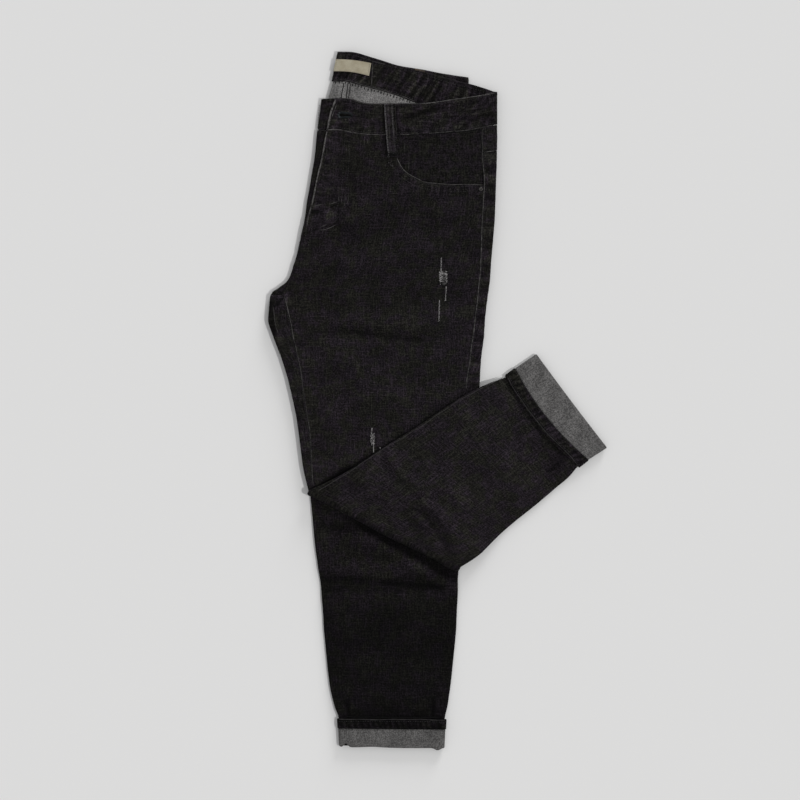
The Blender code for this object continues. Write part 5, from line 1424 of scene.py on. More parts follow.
# --- pocket facings: the denim inside each pocket opening, a little deeper
n_face = int(np.argmin(np.abs(THIGH_ROWS - 2.6)))
sub = FRONT_LEFT_GRID[:n_face, 30:].copy()
d = pocket_side(sub.reshape(-1, 3)).reshape(sub.shape[:2])
deep = POCKET_STEP + 0.30 + 1.0 * ease(d, -2.2, 1.0)
r = 0.20 * wobble(sub[..., 0], sub[..., 1], 52, 26.0) - 0.12 + 0.12 * pucker(sub[..., 0], np.abs(d), 53, 11.0)
sub[..., 2] += r * (1 - ease(d, -3.0, 0.0)) - deep + 0.2
face_uv = np.stack([sub[..., 0] + 400.0, sub[..., 1]], -1)
# Painted shade along the opening's edge, and painted highlight and shade that follow the facing's relief.
PIECES["pocket_facing_left"] = cloth("pocket_facing_left_cloth", sub, DENIM_FACING, wall=0.9, out=1.0, uv=face_uv,
                                     wear=tones(-0.25 * np.exp(-np.abs(d) / 3.0) + 0.5 * r), cut=[lambda p: pocket_side(p) - 8.0])
st = sample(RIGHT_LEG, np.linspace(0, 3.0, 26))
us = np.linspace(0.30, 1.0, 50)[None] * (width(st) - st["seam_right"] - GAP / 2 - 0.3)[:, None]
sub = place(st, us, 0 * us)
sub[..., 1] += np.linspace(-GAP - 1.4, 0, 26)[:, None]
d = pocket_side(sub.reshape(-1, 3), tuple(RIGHT_POCKET)).reshape(sub.shape[:2])
sub[..., 2] = POCKET_STEP + 0.55 + 0.8 * ease(d, -2.2, 1.0)
PIECES["pocket_facing_right"] = cloth("pocket_facing_right_cloth", sub, DENIM_FACING, wall=0.9, out=-1.0,
                                      uv=np.stack([sub[..., 0] + 700.0, sub[..., 1]], -1), cut=[lambda p: pocket_side(p, tuple(RIGHT_POCKET)) - 8.0])

# --- waistband: one strip walked once round its folds
def band_walk(step=2.4):
    """Bottom edge, top edge and outer normal along the walk, and its length."""
    lows, highs, normals = [], [], []
    stretch = []

    def flush():
        if len(stretch) < 2:
            stretch.clear()
            return
        pts = np.array(stretch)
        mid = (pts[:, :2] + pts[:, 2:4]) / 2
        knots = np.concatenate([[0.0], np.cumsum(np.hypot(*np.diff(mid, axis=0).T))])
        marks = np.linspace(0, knots[-1], max(int(knots[-1] / step), 2) + 1)
        if not normals:
            marks = np.concatenate([np.arange(0.0, 34.0, 0.85), marks[marks > 34.5]])
        cols = [pchip(knots, pts[:, c], marks) for c in range(5)]
        up = pts[0, 5]
        for tx, ty, bx, by, z in zip(*cols):
            highs.append((tx, ty, z)); lows.append((bx, by, z)); normals.append((0, 0, up))
        stretch.clear()

    face = 1.0
    for row in WAISTBAND:
        bottom = float(seam_y(row.bottom_x)) if row.bottom_y is None else row.bottom_y
        stretch.append((row.top_x, row.top_y, row.bottom_x, bottom, row.height, face))
        if row.place in BAND_FOLD_TO:
            to = BAND_FOLD_TO[row.place]
            flush()
            r = (row.height - to) / 2
            side = 1.0 if "side" in row.place else -1.0
            hollow = -1.0 if row.place == "fold centre back" else 1.0
            for k in range(1, 10):
                a = math.pi * k / 10
                dx, z = side * abs(r) * math.sin(a), (row.height + to) / 2 + r * math.cos(a)
                highs.append((row.top_x + dx, row.top_y, z)); lows.append((row.bottom_x + dx, bottom, z))
                normals.append((hollow * side * math.sin(a), 0.0, hollow * math.copysign(1.0, r) * math.cos(a)))
            face = -face
            stretch.append((row.top_x, row.top_y, row.bottom_x, bottom, to, face))
    flush()
    return np.array(lows), np.array(highs), np.array(normals)


lows, highs, normals = band_walk()
# The back stretch stands a little wider than it was cut, where it is pulled.
highs[:, 1] += 1.5 * ((highs[:, 2] < 9.3) & (highs[:, 2] > 3.0) & (np.arange(len(highs)) > np.argmax(highs[:, 0]))) * ease(-highs[:, 0], -70.0, -50.0) * \
    ease(np.arange(len(highs)), np.argmax(highs[:, 0]), np.argmax(highs[:, 0]) + 6)
highs[:, 1] += 1.1 * ease(highs[:, 0], 54.0, 68.0)
mids = (lows + highs) / 2
BAND_RUN = np.concatenate([[0.0], np.cumsum(np.linalg.norm(np.diff(mids, axis=0), axis=1))])
front_n = int(np.argmax(mids[:, 0]))
FRONT_END = BAND_RUN[front_n]
HOLE_X0, HOLE_X1 = at(337.6, 0)[0], at(352.2, 0)[0]
HOLE_Y = at(0, 115.3)[1]
hole_run = [float(np.interp(v, mids[:front_n, 0], BAND_RUN[:front_n])) for v in (HOLE_X0, HOLE_X1)]
hole_n = int(np.argmin(np.abs(mids[:front_n, 0] - (HOLE_X0 + HOLE_X1) / 2)))
low_y, high_y = lows[hole_n, 1], highs[hole_n, 1]
hole_f = (HOLE_Y - low_y - 1.0) / (high_y - low_y - 2.0)
HOLE_ACROSS = HOLE_Y - low_y
(ax, ay), (bx, by) = at(402, 121.5), at(446, 110)
BAND_CREASES = [Crease(402, 117.5, 440, 107, 1, 2.6, -1.3), Crease(404, 116, 444, 105, 1, 4.5, 0.35), Crease(470, 120, 497, 113, 0, 3.0, -0.5),
                Crease(352, 124, 372, 112, 0, 5.0, -0.25), Crease(410, 128, 436, 124, 0, 4.0, 0.25)]


# Painted shade beside the belt loop and in the band's creases; lighter marks after it.
BAND_PAINTED_SHADE = [Puckers(photo((383.6, 105), (383.9, 118), (384.0, 134.6)), 1.8, 9.0, 1.4), Puckers(photo((396.4, 105), (396.5, 118), (396.8, 134.6)), 1.8, 9.0, 1.1),
             Puckers(photo((402, 119), (412, 116.6), (426, 112.4), (446, 107.2)), 2.2, 9.0, 1.2), Puckers(photo((470, 121), (484, 117), (497, 113.4)), 2.4, 9.0, 0.7)]
BAND_LIGHT = [Puckers(photo((400.6, 130.6), (405.6, 130.4)), 4.0, 9.0, 0.8), Puckers(photo((338, 121), (352, 120.8)), 2.2, 9.0, 0.45),
              Puckers(photo((352, 126.4), (372, 127.4)), 2.2, 9.0, 0.5), Puckers(photo((444, 126), (470, 123.6)), 3.0, 9.0, 0.4)]


def slit_half(t):
    """Half width of the buttonhole: an eye at the fly's end, then a slit."""
    return 1.30 + 0.9 * (1 - ease(t, -0.60, 0.05))


def band_relief(run_, cross, side):
    rx = np.interp(run_[:, 0], BAND_RUN, mids[:, 0])[:, None] + 0 * cross
    ry = np.interp(run_[:, 0], BAND_RUN, lows[:, 1])[:, None] + cross
    front = (run_ < FRONT_END - 6.0) & (side > 0.2)
    h = 0.16 * wobble(run_, cross * 1.5, 61, 34.0) + 0.07 * wobble(run_, cross, 62, 11.0)
    edge = np.exp(-np.minimum(cross, 39.0 - cross) / 3.5)
    h += 0.13 * np.sin(run_ * 2 * math.pi / 7.3 + cross * 0.5 + 1.3 * np.sin(run_ / 29.0)) * edge
    # Sewn lines pull the two layers together near each edge.
    for line in (2.6, 36.4):
        h -= 0.22 * np.exp(-((cross - line) / 1.0) ** 2)
    h = h * np.sign(side) * (np.abs(side) > 0.2)
    front_h = 0.0 * cross
    for c in BAND_CREASES:
        (x0, y0), (x1, y1) = at(c.x0, c.y0), at(c.x1, c.y1)
        length = math.hypot(x1 - x0, y1 - y0)
        tx, ty = (x1 - x0) / length, (y1 - y0) / length
        t = ((rx - x0) * tx + (ry - y0) * ty) / length
        dd = (rx - x0) * ty - (ry - y0) * tx
        front_h = front_h + c.depth * np.exp(-(dd / c.half) ** 2) * ease(t, -0.15, 0.2) * (1 - ease(t, 0.8, 1.15))
    t = (run_ - (hole_run[0] + hole_run[1]) / 2) / (hole_run[1] - hole_run[0]) * 2
    front_h = front_h - 0.8 * np.exp(-((cross - HOLE_ACROSS) / slit_half(t)) ** 4) * (1 - ease(np.abs(t), 0.84, 1.02))
    front_h = front_h + 0.30 * np.exp(-((np.abs(cross - HOLE_ACROSS) - slit_half(t) - 1.0) / 0.9) ** 2) * (1 - ease(np.abs(t), 0.95, 1.2))
    return h + np.where(front, front_h, 0.0)


BACK_START, BACK_END = FRONT_END + 4.0, float(BAND_RUN[int(np.argmin(np.where(BAND_RUN > FRONT_END, mids[:, 0], 1e9)))])


def band_wear_and_shade(run_, cross, side, edge):
    rx = np.interp(run_[:, 0], BAND_RUN, mids[:, 0])[:, None] + 0 * cross
    h = band_relief(run_, cross, side)
    # Painted highlight and shade that follow the relief.
    tone = 0.75 * np.tanh((h * np.sign(side)) / 0.50)
    front = (side > 0.2) & (run_ < FRONT_END)
    tone = tone + front * (0.44 * wobble(run_ * 0.7, cross * 1.8, 67, 15.0) + 0.34 * wobble(run_ * 0.6, cross * 2.4, 68, 7.5))
    rub = 0.42 * (edge > 0.5) * ease(rx, at(400, 0)[0], at(424, 0)[0]) * (run_ < FRONT_END + 8)
    rub = rub + 0.25 * (np.abs(edge) > 0.5)
    rub = rub + 0.45 * np.exp(-run_ / 1.3)
    t = (run_ - (hole_run[0] + hole_run[1]) / 2) / (hole_run[1] - hole_run[0]) * 2
    halo = np.exp(-(np.maximum(np.abs(cross - HOLE_ACROSS) - slit_half(t) - 3.0, 0) / 2.2) ** 2) * np.exp(-(np.maximum(np.abs(t) - 1.0, 0) / 0.35) ** 2)
    tone = tone + 0.45 * halo * front - 0.9 * np.exp(-((run_ - 3.2) / 1.1) ** 2) * front
    ry = np.interp(run_[:, 0], BAND_RUN, lows[:, 1])[:, None] + cross
    # Painted shade beside the belt loop and in the creases, and lighter marks.
    tone = tone - front * pucker_field(rx, ry, BAND_PAINTED_SHADE)[0] + front * pucker_field(rx, ry, BAND_LIGHT)[0]
    # Painted shade in the buttonhole's slit.
    slit = np.exp(-((cross - HOLE_ACROSS) / slit_half(t)) ** 4) * (np.abs(t) < 1.0) * front
    # Puckers: short ones by each sewn line, long upright ones on the inner side.
    low, high = np.exp(-(np.maximum(cross - 3.0, 0) / 6.0) ** 2), np.exp(-(np.maximum(36.0 - cross, 0) / 4.5) ** 2)
    near_ = np.maximum(0.95 * low, 0.60 * high)
    along_ = run_ / 8.2
    inner = (side < -0.2) & (run_ > BACK_START) & (run_ < BACK_END)
    near_ = np.where(inner, 1.25 - 0.5 * np.exp(-np.minimum(cross, 38 - cross) / 3.0), near_)
    along_ = np.where(inner, run_ / 6.4 + 0.05 * cross, along_)
    tone = tone + np.where(inner, 0.34 * wobble(run_, cross * 0.35, 66, 9.0) - 0.12, 0.0)
    return np.stack([tone - 2.0 * slit, rub, near_, along_], -1)


PIECES["waistband"] = band("waistband_cloth", lows, highs, normals, BAND, DENIM_BAND, cols=21, relief=band_relief, wear=band_wear_and_shade,
                           places=[hole_f + d / 37.0 for d in (-4.6, -3.9, -3.4, -3.0, -2.6, -2.2, -1.7, -1.2, -0.7, 0.0, 0.7, 1.2, 1.7, 2.2, 2.6, 3.0, 3.4, 3.9, 4.6)])

# --- inner layers: the hidden layers of the stack, one rounded solid that is
# layered at its edges
def edge_x(table, side, y_):
    ys, xs = column(table, side + "_y")[::-1], column(table, side + "_x")[::-1]
    return float(np.interp(y_, ys, xs))


levels = [tuple(s[1:]) for s in INNER_TOP]
for level in INNER_LEVELS:
    above = level > 143.0
    inset = (9.0 if level < 165.0 else 4.5) if above else LAP + 1.0
    lx = max(edge_x(LEFT_THIGH, "left", level), edge_x(RIGHT_LEG, "left", level)) + inset
    rx = min(edge_x(LEFT_THIGH, "right", level), edge_x(RIGHT_LEG, "right", level)) - LAP - 1.0
    tube = float(np.interp(-level, [-s.left_y for s in LEFT_THIGH], column(LEFT_THIGH, "height")))
    levels.append((lx, level, rx, level, WALL + POCKET_STEP + 0.4, 2 * tube + LAYER_GAP - WALL - 0.6 - (1.6 if level > 235.0 else 0.0)))
levels = [(-133.0, 418.3, 29.0, 376.3, 6.04, 6.24), (-133.0, 414.4, 29.0, 372.4, 6.04, 6.24), (-133.2, 412.6, 29.1, 370.9, 4.7, 7.5)] + levels[1:]
levels = np.array(levels)
rows = []
for i in range(len(levels) - 1):
    gap = abs(levels[i, 1] - levels[i + 1, 1])
    fine = 1.6 if levels[i + 1, 1] > 352 else 8.0
    n_ = max(int(gap / fine), 1)
    rows += list(i + np.arange(n_) / n_)
rows.append(len(levels) - 1.0)
lev = np.array([[np.interp(r_, np.arange(len(levels)), levels[:, c]) for c in range(6)] for r_ in rows])
TOP_COLS, SIDE = 96, 12
lx, ly, rx, ry, lo, hi = (lev[:, c:c + 1] for c in range(6))
span = rx - lx
# The cloth's upper end follows the back waistband's lower edge.
BACK_LOW = photo((331.4, 81.6), (341, 80.8), (349.8, 82), (361, 85.6), (375.4, 89.6), (389, 93.2), (401, 97.2), (416.4, 103), (447, 111.5), (460, 115.2))
share_in = (1 - ease(np.array(rows), 2.0, 4.2))[:, None]
slope = (ry - ly) / span
c_ = np.minimum((hi - lo) * 0.42, 3.0)
us, zs = [], []
for k in range(SIDE):                       # up the left side, with the layers' grooves
    a = math.pi * k / SIDE
    groove = 0.30 * abs(math.sin(1.5 * math.pi * k / SIDE))
    us.append(c_ - (c_ - groove) * math.sin(a) ** 0.8 if 0 < k else c_)
    zs.append((lo + hi) / 2 - (hi - lo) / 2 * math.cos(a))
f = np.linspace(0, 1, TOP_COLS)
for q in f:
    us.append(c_ + (span - 2 * c_) * q); zs.append(hi)
for k in range(1, SIDE):
    a = math.pi * k / SIDE
    groove = 0.30 * abs(math.sin(1.5 * math.pi * k / SIDE))
    us.append(span - c_ + (c_ - groove) * math.sin(a) ** 0.8)
    zs.append((lo + hi) / 2 + (hi - lo) / 2 * math.cos(a))
for q in np.linspace(1, 0, 14)[:-1]:
    us.append(c_ + (span - 2 * c_) * q); zs.append(lo)
U, Z = np.concatenate([a + 0 * span for a in us], 1), np.concatenate([a + 0 * span for a in zs], 1)
grid = np.stack([lx + U, ly + slope * U, Z], -1)
straight = 413.8 + (371.8 - 413.8) * (grid[..., 0] + 133.0) / 162.0
grid[..., 1] += share_in * (pchip(BACK_LOW[:, 0], BACK_LOW[:, 1], grid[..., 0]) - 0.4 - straight)
grid[..., 0] -= 1.8 * ease(grid[..., 1], 382.0, 392.0) * (1 - ease(grid[..., 0], -139.0, -127.0))
x, y = grid[..., 0], grid[..., 1]
is_top = np.zeros(grid.shape[1]); is_top[SIDE:SIDE + TOP_COLS] = 1.0
opening = ease(y, 352.0, 362.0) * ease(hi - lo, 0.5, 2.4)
lines = np.zeros(x.shape)
(c0x, c0y), (c1x, c1y) = at(347.0, 81.0), at(343.5, 98.0)
line_x = c0x + (y - c0y) * (c1x - c0x) / (c1y - c0y)
ridge = ease(x, line_x - 10.5, line_x - 9.0) * (1 - ease(x, line_x + 2.0, line_x + 3.2))
swell = 0.22 * wobble(x, y, 71, 26.0) + 0.45 * ridge - 0.10
grid[..., 2] += is_top[None] * (swell * opening - 0.35 * ease(hi - lo, 0.5, 2.4))
# Painted highlight and shade: lighter on the swells and darker in the hollows; lighter also towards the right, with
# random tone.
tone = is_top[None] * (0.35 * np.tanh(swell / 0.4) + 0.10 * wobble(x, y, 72, 20.0) + 0.36 * ease(x, -110.0, -99.0) + 0.22 * ease(x, -62.0, -45.0) - 0.06)
# A painted crease: a dark line of shade with a lighter strip beside it.
crease = x - at(355.5, 0)[0] - (at(0, 87.0)[1] - y) * 0.35
tone += is_top[None] * (0.20 * np.exp(-((crease + 5.5) / 3.0) ** 2) - 0.34 * np.exp(-(crease / 3.0) ** 2))
n_, m_ = grid.shape[:2]
faces = quads(n_, m_, ring=True).tolist() + [list(range(m_))[::-1], [(n_ - 1) * m_ + j for j in range(m_)]]
PIECES["inner_layers"] = add_mesh("inner_layers_cloth", grid.reshape(-1, 3), faces, INSIDE_WAIST,
                                  np.stack([x, y], -1).reshape(-1, 2), tones(tone).reshape(-1, 4))

# --- turn-ups: the leg turned outward on itself, with its doubled hem
def ring_section(st_, out, flat):
    w_ = width(st_)
    fu, fv = side_fold(st_["height"], out)
    right_u, right_v = w_[:, None] - fu[:, ::-1], fv[:, ::-1]
    low_u = spread(fu[:, -1], right_u[:, 0], flat)[:, 1:]
    top_u = spread(right_u[:, -1], fu[:, 0], flat)[:, 1:]
    low_v, top_v = fv[:, -1:] + 0 * low_u, right_v[:, -1:] + 0 * top_u
    return np.concatenate([fu, low_u, right_u, top_u], 1), np.concatenate([fv, low_v, right_v, top_v], 1)


def station_back(table, back):
    """Fractional rows `back` mm before the end of the turn-up."""
    def length(a, b):
        return 0.5 * (math.hypot(a.left_x - b.left_x, a.left_y - b.left_y) + math.hypot(a.right_x - b.right_x, a.right_y - b.right_y))
    last = len(table) - 1
    l1, l2, l3 = length(table[-1], table[-2]), length(table[-2], table[-3]), length(table[-3], table[-4])
    back = np.asarray(back, float)
    return np.where(back <= l1, last - back / l1, np.where(back <= l1 + l2, last - 1 - (back - l1) / l2, last - 2 - (back - l1 - l2) / l3)), l1, l2


def linear(table, rows_):
    knots = np.arange(len(table))
    return {f_: np.interp(rows_, knots, column(table, f_)) for f_ in FIELDS}


# How far the turned-up cloth bows towards the leg at its middle: at its fold and
# at the hem; and the uneven corners of the lower cuff, as places and depths.
CUFF_BOW = {"left": (0.7, 7.6), "right": (0.0, 0.0)}
Corner = namedtuple("Corner", "x half depth")
LOWER_CORNERS = [Corner(at(345.8, 0)[0], 3.6, 5.2), Corner(at(335.6, 0)[0], 4.2, 6.6), Corner(at(437.6, 0)[0], 4.4, -3.0),
                 Corner(at(408.0, 0)[0], 30.0, -0.5), Corner(at(372.0, 0)[0], 14.0, 0.9)]


def bowed(p, side, table, back, u_share):
    """Shifts points of a turn-up along the leg."""
    q = p.copy()
    a, b = table[-2], table[-1]
    dx, dy = (a.left_x + a.right_x - b.left_x - b.right_x) / 2, (a.left_y + a.right_y - b.left_y - b.right_y) / 2
    length = math.hypot(dx, dy)
    fold, hem = CUFF_BOW[side]
    by = (fold + (hem - fold) * ease(back, 2.0, 22.0)) * 4 * u_share * (1 - u_share)
    if side == "right":
        for c in LOWER_CORNERS:
            by = by + c.depth * np.exp(-((q[..., 0] - c.x) / c.half) ** 2) * (1 - ease(back, 2.0, 10.0))
    q[..., 0] += by * dx / length
    q[..., 1] += by * dy / length
    return q


def turn_up(side, table, finish, seed, lighter, hem_cloth):
    _, l1, l2 = station_back(table, 0.0)
    half = CUFF_OUT / 2
    turn = [(CUFF_END - 0.5, 0.0)]
    for k in range(0, 9):
        a = math.pi * k / 8
        turn.append((WALL / 2 + half * (1 - math.sin(a)) * 0.9, half * (1 - math.cos(a))))
    n_flat = int((l1 - GAP / 2 - CUFF_END) / 1.9)
    for k in range(n_flat + 1):
        turn.append((CUFF_END + (l1 - GAP / 2 - CUFF_END) * k / n_flat, CUFF_OUT))
    back = np.array([t[0] for t in turn])
    rows_ = station_back(table, back)[0]
    st_ = linear(table, rows_)
    flat_cols = 62
    us_, vs_ = [], []
    for i, (b, out) in enumerate(turn):
        one = {k: x_[i:i + 1] for k, x_ in st_.items()}
        u_, v_ = ring_section(one, out, flat_cols)
        us_.append(u_); vs_.append(v_)
    U_, V_ = np.concatenate(us_), np.concatenate(vs_)
    raw = bowed(finish(place(st_, U_, V_, "down")), side, table, back[:, None] + 0 * U_, np.clip(U_ / width(st_)[:, None], 0, 1))
    m_ = raw.shape[1]
    X, Y = raw[..., 0], raw[..., 1]
    across_ = np.concatenate([np.zeros((len(raw), 1)), np.cumsum(np.linalg.norm(np.diff(raw, axis=1), axis=2), 1)], 1)
    low_part = slice(FOLD_COLS - 3, FOLD_COLS + flat_cols + 2)
    # place() turned it over: the section's low side is on top now.
    up_side = np.zeros(m_)
    up_side[FOLD_COLS - 4:FOLD_COLS + flat_cols + 3] = 1.0
    run_ = back[:, None] + 0 * X
    r_ = 0.20 * wobble(X, Y, seed, 30.0) + 0.10 * wobble(X, Y, seed + 1, 9.0) + 0.30 * pucker(across_, l1 - run_, seed + 2, 8.5, 9.0)
    r_ *= ease(run_, 0.0, 5.0) * up_side[None]
    outer = normals_of(raw, 1.0, ring=True)
    # The outward side of a ring is away from its middle.
    centre = raw.mean(1, keepdims=True)
    flip = np.sign(np.einsum("ijk,ijk->", outer[9:], (raw - centre)[9:]))
    g = raw + outer * flip * r_[..., None]
    uv_ = np.stack([across_, back[:, None] + 0 * X], -1)
    # Painted highlight and shade that follow the relief; darker still at the folded end.
    tone_ = 0.30 * np.tanh(r_ / 0.3) - 0.35 * (1 - ease(run_, 0.0, 2.5)) + lighter
    ed = 0.35 * np.exp(-run_ / 1.5) * up_side[None]
    cuff_ = cloth("cuff_" + side + "_cloth", g, INSIDE_CUFF, out=flip, ring=True, uv=uv_, wear=tones(tone_, ed), edge_wear=0.4)
    # The hem: a doubled band with its folded upper edge and a sewn line.
    rows_f = np.linspace(0.0, 1.0, 9)
    span_ = l2 - GAP / 2
    back_h = l1 + GAP / 2 + span_ * rows_f
    st_h = linear(table, station_back(table, back_h)[0])
    hu, hv = ring_section(st_h, HEM_OUT, 84)
    raw = bowed(finish(place(st_h, hu, hv, "down")), side, table, back_h[:, None] + 0 * hu, np.clip(hu / width(st_h)[:, None], 0, 1))
    X, Y = raw[..., 0], raw[..., 1]
    m_ = raw.shape[1]
    across_ = np.concatenate([np.zeros((len(raw), 1)), np.cumsum(np.linalg.norm(np.diff(raw, axis=1), axis=2), 1)], 1)
    q_ = rows_f[:, None] + 0 * X
    up_side = np.zeros(m_)
    up_side[FOLD_COLS - 4:FOLD_COLS + 84 + 3] = 1.0
    rope = 0.26 * np.sin(across_ * 2 * math.pi / 8.0 + q_ * 4.0 + 1.2 * np.sin(across_ / 23.0 + seed) + 0.8 * np.sin(across_ / 9.1))
    rope += 0.16 * wobble(across_, q_ * 12.0, seed + 5, 14.0)
    r_ = (rope * (0.5 + 0.5 * np.sin(q_ * math.pi)) - 0.32 * np.exp(-((q_ - 0.80) / 0.10) ** 2)) * up_side[None]
    outer = normals_of(raw, 1.0, ring=True)
    g = raw + outer * flip * r_[..., None]
    # The hem is painted lighter on its roping and darker in its grooves, as painted highlight and shade.
    hem_ = cloth("hem_" + side + "_cloth", g, hem_cloth, wall=HEM, out=flip, ring=True, uv=np.stack([across_, back_h[:, None] + 0 * X], -1),
                 wear=tones((1.5 if side == "right" else 1.1) * np.tanh(r_ / 0.30)), edge_wear=0.0)
    return cuff_, hem_


PIECES["cuff_left"], PIECES["hem_left"] = turn_up("left", LEFT_TURNED, lowered, 81, 0.16, DENIM_HEM)
PIECES["cuff_right"], PIECES["hem_right"] = turn_up("right", RIGHT_LEG, lambda p: p, 91, 0.0, DENIM_HEM_PAINTED_SHADE)

# ------------------------------------------------------- finding the surface
def tree_of(obs):
    pts, polys, n0 = [], [], 0
    for ob in obs:
        me = ob.data
        co = np.empty(len(me.vertices) * 3, np.float32)
        me.vertices.foreach_get("co", co)
        pts.append(co.reshape(-1, 3) * 1000.0 + [ORIGIN[0], ORIGIN[1], 0.0])
        polys += [[i + n0 for i in p.vertices] for p in me.polygons]
        n0 += len(me.vertices)
    return BVHTree.FromPolygons([tuple(p) for p in np.concatenate(pts).tolist()], polys)


def on_surface(tree, path, fall=None):
    """Heights and normals straight below plan places."""
    zs_, ns_ = [], []
    last = fall
    for px, py in path:
        hit, normal, _, _ = tree.ray_cast(Vector((px, py, 60.0)), Vector((0, 0, -1)))
        if hit is None:
            hit, normal = Vector((px, py, last if last is not None else 0.0)), Vector((0, 0, 1))
        last = hit.z
        zs_.append(hit.z); ns_.append(tuple(normal if normal.z > 0 else -normal))
    return np.array(zs_), np.array(ns_)


def ridge(name, tree, path, half, high, mat, step=1.7, wander=0.25, seed=1, edge=1.0, wear=0.0, taper=True, side=None, sink=0.25):
    """A low rounded cord of cloth that lies along a seam's edge."""
    p = resampled(path, step)
    rng = np.random.default_rng(seed)
    s_ = np.arange(len(p)) * step
    p = moved_aside(p, 0) + 0
    drift = wander * (np.sin(s_ / 17.0 + rng.uniform(0, 6)) + 0.6 * np.sin(s_ / 6.1 + rng.uniform(0, 6)))
    p = moved_aside(p, drift[:, None])
    z_, _ = on_surface(tree, p)
    z_ = np.pad(z_, 4, mode="edge")
    z_ = np.max([z_[k_:k_ + len(p) + 4] for k_ in range(5)], axis=0)
    z_ = np.convolve(z_, np.ones(5) / 5, "valid")
    t = np.gradient(p, axis=0)
    t /= np.linalg.norm(t, axis=1, keepdims=True)
    side_v = np.stack([-t[:, 1], t[:, 0], 0 * t[:, 0]], 1)
    n_ = len(p)
    size = np.ones(n_)
    if taper:
        k_ = np.arange(n_)
        size = np.minimum(1.0, np.minimum(k_ + 0.4, n_ - k_ - 0.6) / 3.0)
    lump = 1 + 0.16 * np.sin(s_ / 2.1 + rng.uniform(0, 6)) + 0.12 * np.sin(s_ / 5.3 + rng.uniform(0, 6))
    prof = np.linspace(-1, 1, 7)
    rows_ = []
    for q in prof:
        h_ = high * math.sqrt(max(1 - q * q, 0.0)) - sink
        rows_.append(np.column_stack([p + side_v[:, :2] * (half * q * size * lump)[:, None], z_ + h_ * size]))
    rows_.append(np.column_stack([p, z_ - sink - 0.35]))
    g = np.stack(rows_, 1)
    m_ = g.shape[1]
    faces = quads(n_, m_, ring=True).tolist() + [list(range(m_))[::-1], [(n_ - 1) * m_ + j for j in range(m_)]]
    uv_ = np.stack([np.tile(np.arange(m_), n_) * half * 0.4, np.repeat(s_, m_)], -1)
    tone_ = tones(np.full(n_ * m_, wear), np.full(n_ * m_, edge))
    return (g.reshape(-1, 3), faces, uv_, tone_)


def stitch_row(tree, path, pitch=3.1, length=2.1, radius=0.27, lift=0.10, tone=(0.0, 0.0), seed=1, skip=None, loose=0.12):
    """Separate stitches along a path: short bowed threads that dip at both ends."""
    p = resampled(path, pitch)
    rng = np.random.default_rng(seed)
    points, faces, uv_, tone_ = [], [], [], []
    mids_ = (p[:-1] + p[1:]) / 2
    dirs = p[1:] - p[:-1]
    dirs /= np.linalg.norm(dirs, axis=1, keepdims=True)
    z_, n_ = on_surface(tree, mids_)
    for c0, d0, z0, nn in zip(mids_, dirs, z_, n_):
        if skip is not None and skip(c0):
            continue
        c0 = c0 + rng.normal(0, loose, 2)
        turn = rng.normal(0, 0.07)
        d0 = np.array([d0[0] - d0[1] * turn, d0[1] + d0[0] * turn])
        side_v = np.array([-d0[1], d0[0]])
        slope = -(nn[0] * d0[0] + nn[1] * d0[1]) / max(nn[2], 0.3)
        cross_slope = -(nn[0] * side_v[0] + nn[1] * side_v[1]) / max(nn[2], 0.3)
        start_ = len(points)
        half_l = length / 2 * rng.uniform(0.9, 1.08)
        for q, size, dip in ((-1.0, 0.35, -0.42), (-0.72, 0.9, -0.08), (-0.25, 1.0, 0.06), (0.25, 1.0, 0.06), (0.72, 0.9, -0.08), (1.0, 0.35, -0.42)):
            for k_ in range(6):
                a = 2 * math.pi * k_ / 6
                ox, oz = radius * size * math.cos(a), radius * size * math.sin(a)
                px = c0 + d0 * half_l * q + side_v * ox
                points.append((px[0], px[1], z0 + slope * half_l * q + cross_slope * ox + lift + dip * radius * 2 + oz))
                uv_.append((ox, q * half_l)); tone_.append(tone)
        for r_ in range(5):
            for k_ in range(6):
                a, b = start_ + r_ * 6 + k_, start_ + r_ * 6 + (k_ + 1) % 6
                faces.append([a, a + 6, b + 6, b])
        faces.append([start_ + k_ for k_ in range(6)])
        faces.append([start_ + 30 + k_ for k_ in range(5, -1, -1)])
    tone_ = np.array(tone_)
    return np.array(points), faces, np.array(uv_), tones(tone_[:, 0], tone_[:, 1])


def joined(name, parts, mat):
    """Many small closed pieces as one mesh."""
    parts = [p for p in parts if len(p[0])]
    faces, n0 = [], 0
    for p in parts:
        faces += [[i + n0 for i in f_] for f_ in p[1]]
        n0 += len(p[0])
    ob = add_mesh(name, np.concatenate([p[0] for p in parts]), faces, mat, np.concatenate([p[2] for p in parts]), np.concatenate([p[3] for p in parts]))
    return ob

# ------------------------------------------------- seams, stitches and small parts
TOP = tree_of([PIECES[n_] for n_ in ("front_left", "back_left", "back_right", "front_right", "yoke_left", "waistband", "pocket_facing_left",
                                     "inner_layers", "cuff_left", "cuff_right", "hem_left", "hem_right")])
worn, sewn = [], []


# Raised cords along seams: rubbed lighter where their edge value is high, and painted dark as shadow where their tone
# is set far below zero.
def worn_edge(path, half=0.75, high=0.55, seed=1, edge=0.9, wear=0.0, **more):
    worn.append(ridge("", TOP, path, half, high, None, seed=seed, edge=edge, wear=wear, **more))


def sewing(path, aside=0.0, seed=1, tone=(0.0, 0.25), tree=None, into=None, **more):
    p = moved_aside(resampled(path, 4.0), aside) if aside else path
    (sewn if into is None else into).append(stitch_row(tree or TOP, p, seed=seed, tone=tone, **more))


BAND_TOP = photo((335.4, 98.9), (341, 98.4), (349.8, 99.4), (361, 103.0), (373, 104.6), (397, 104.2), (420, 104.0), (439.6, 102.0),
                 (458, 99.2), (478, 96.4), (495.6, 92.8))
BAND_END = photo((334.8, 100), (331.6, 108), (329.2, 116), (327.6, 124), (326.6, 129.4))

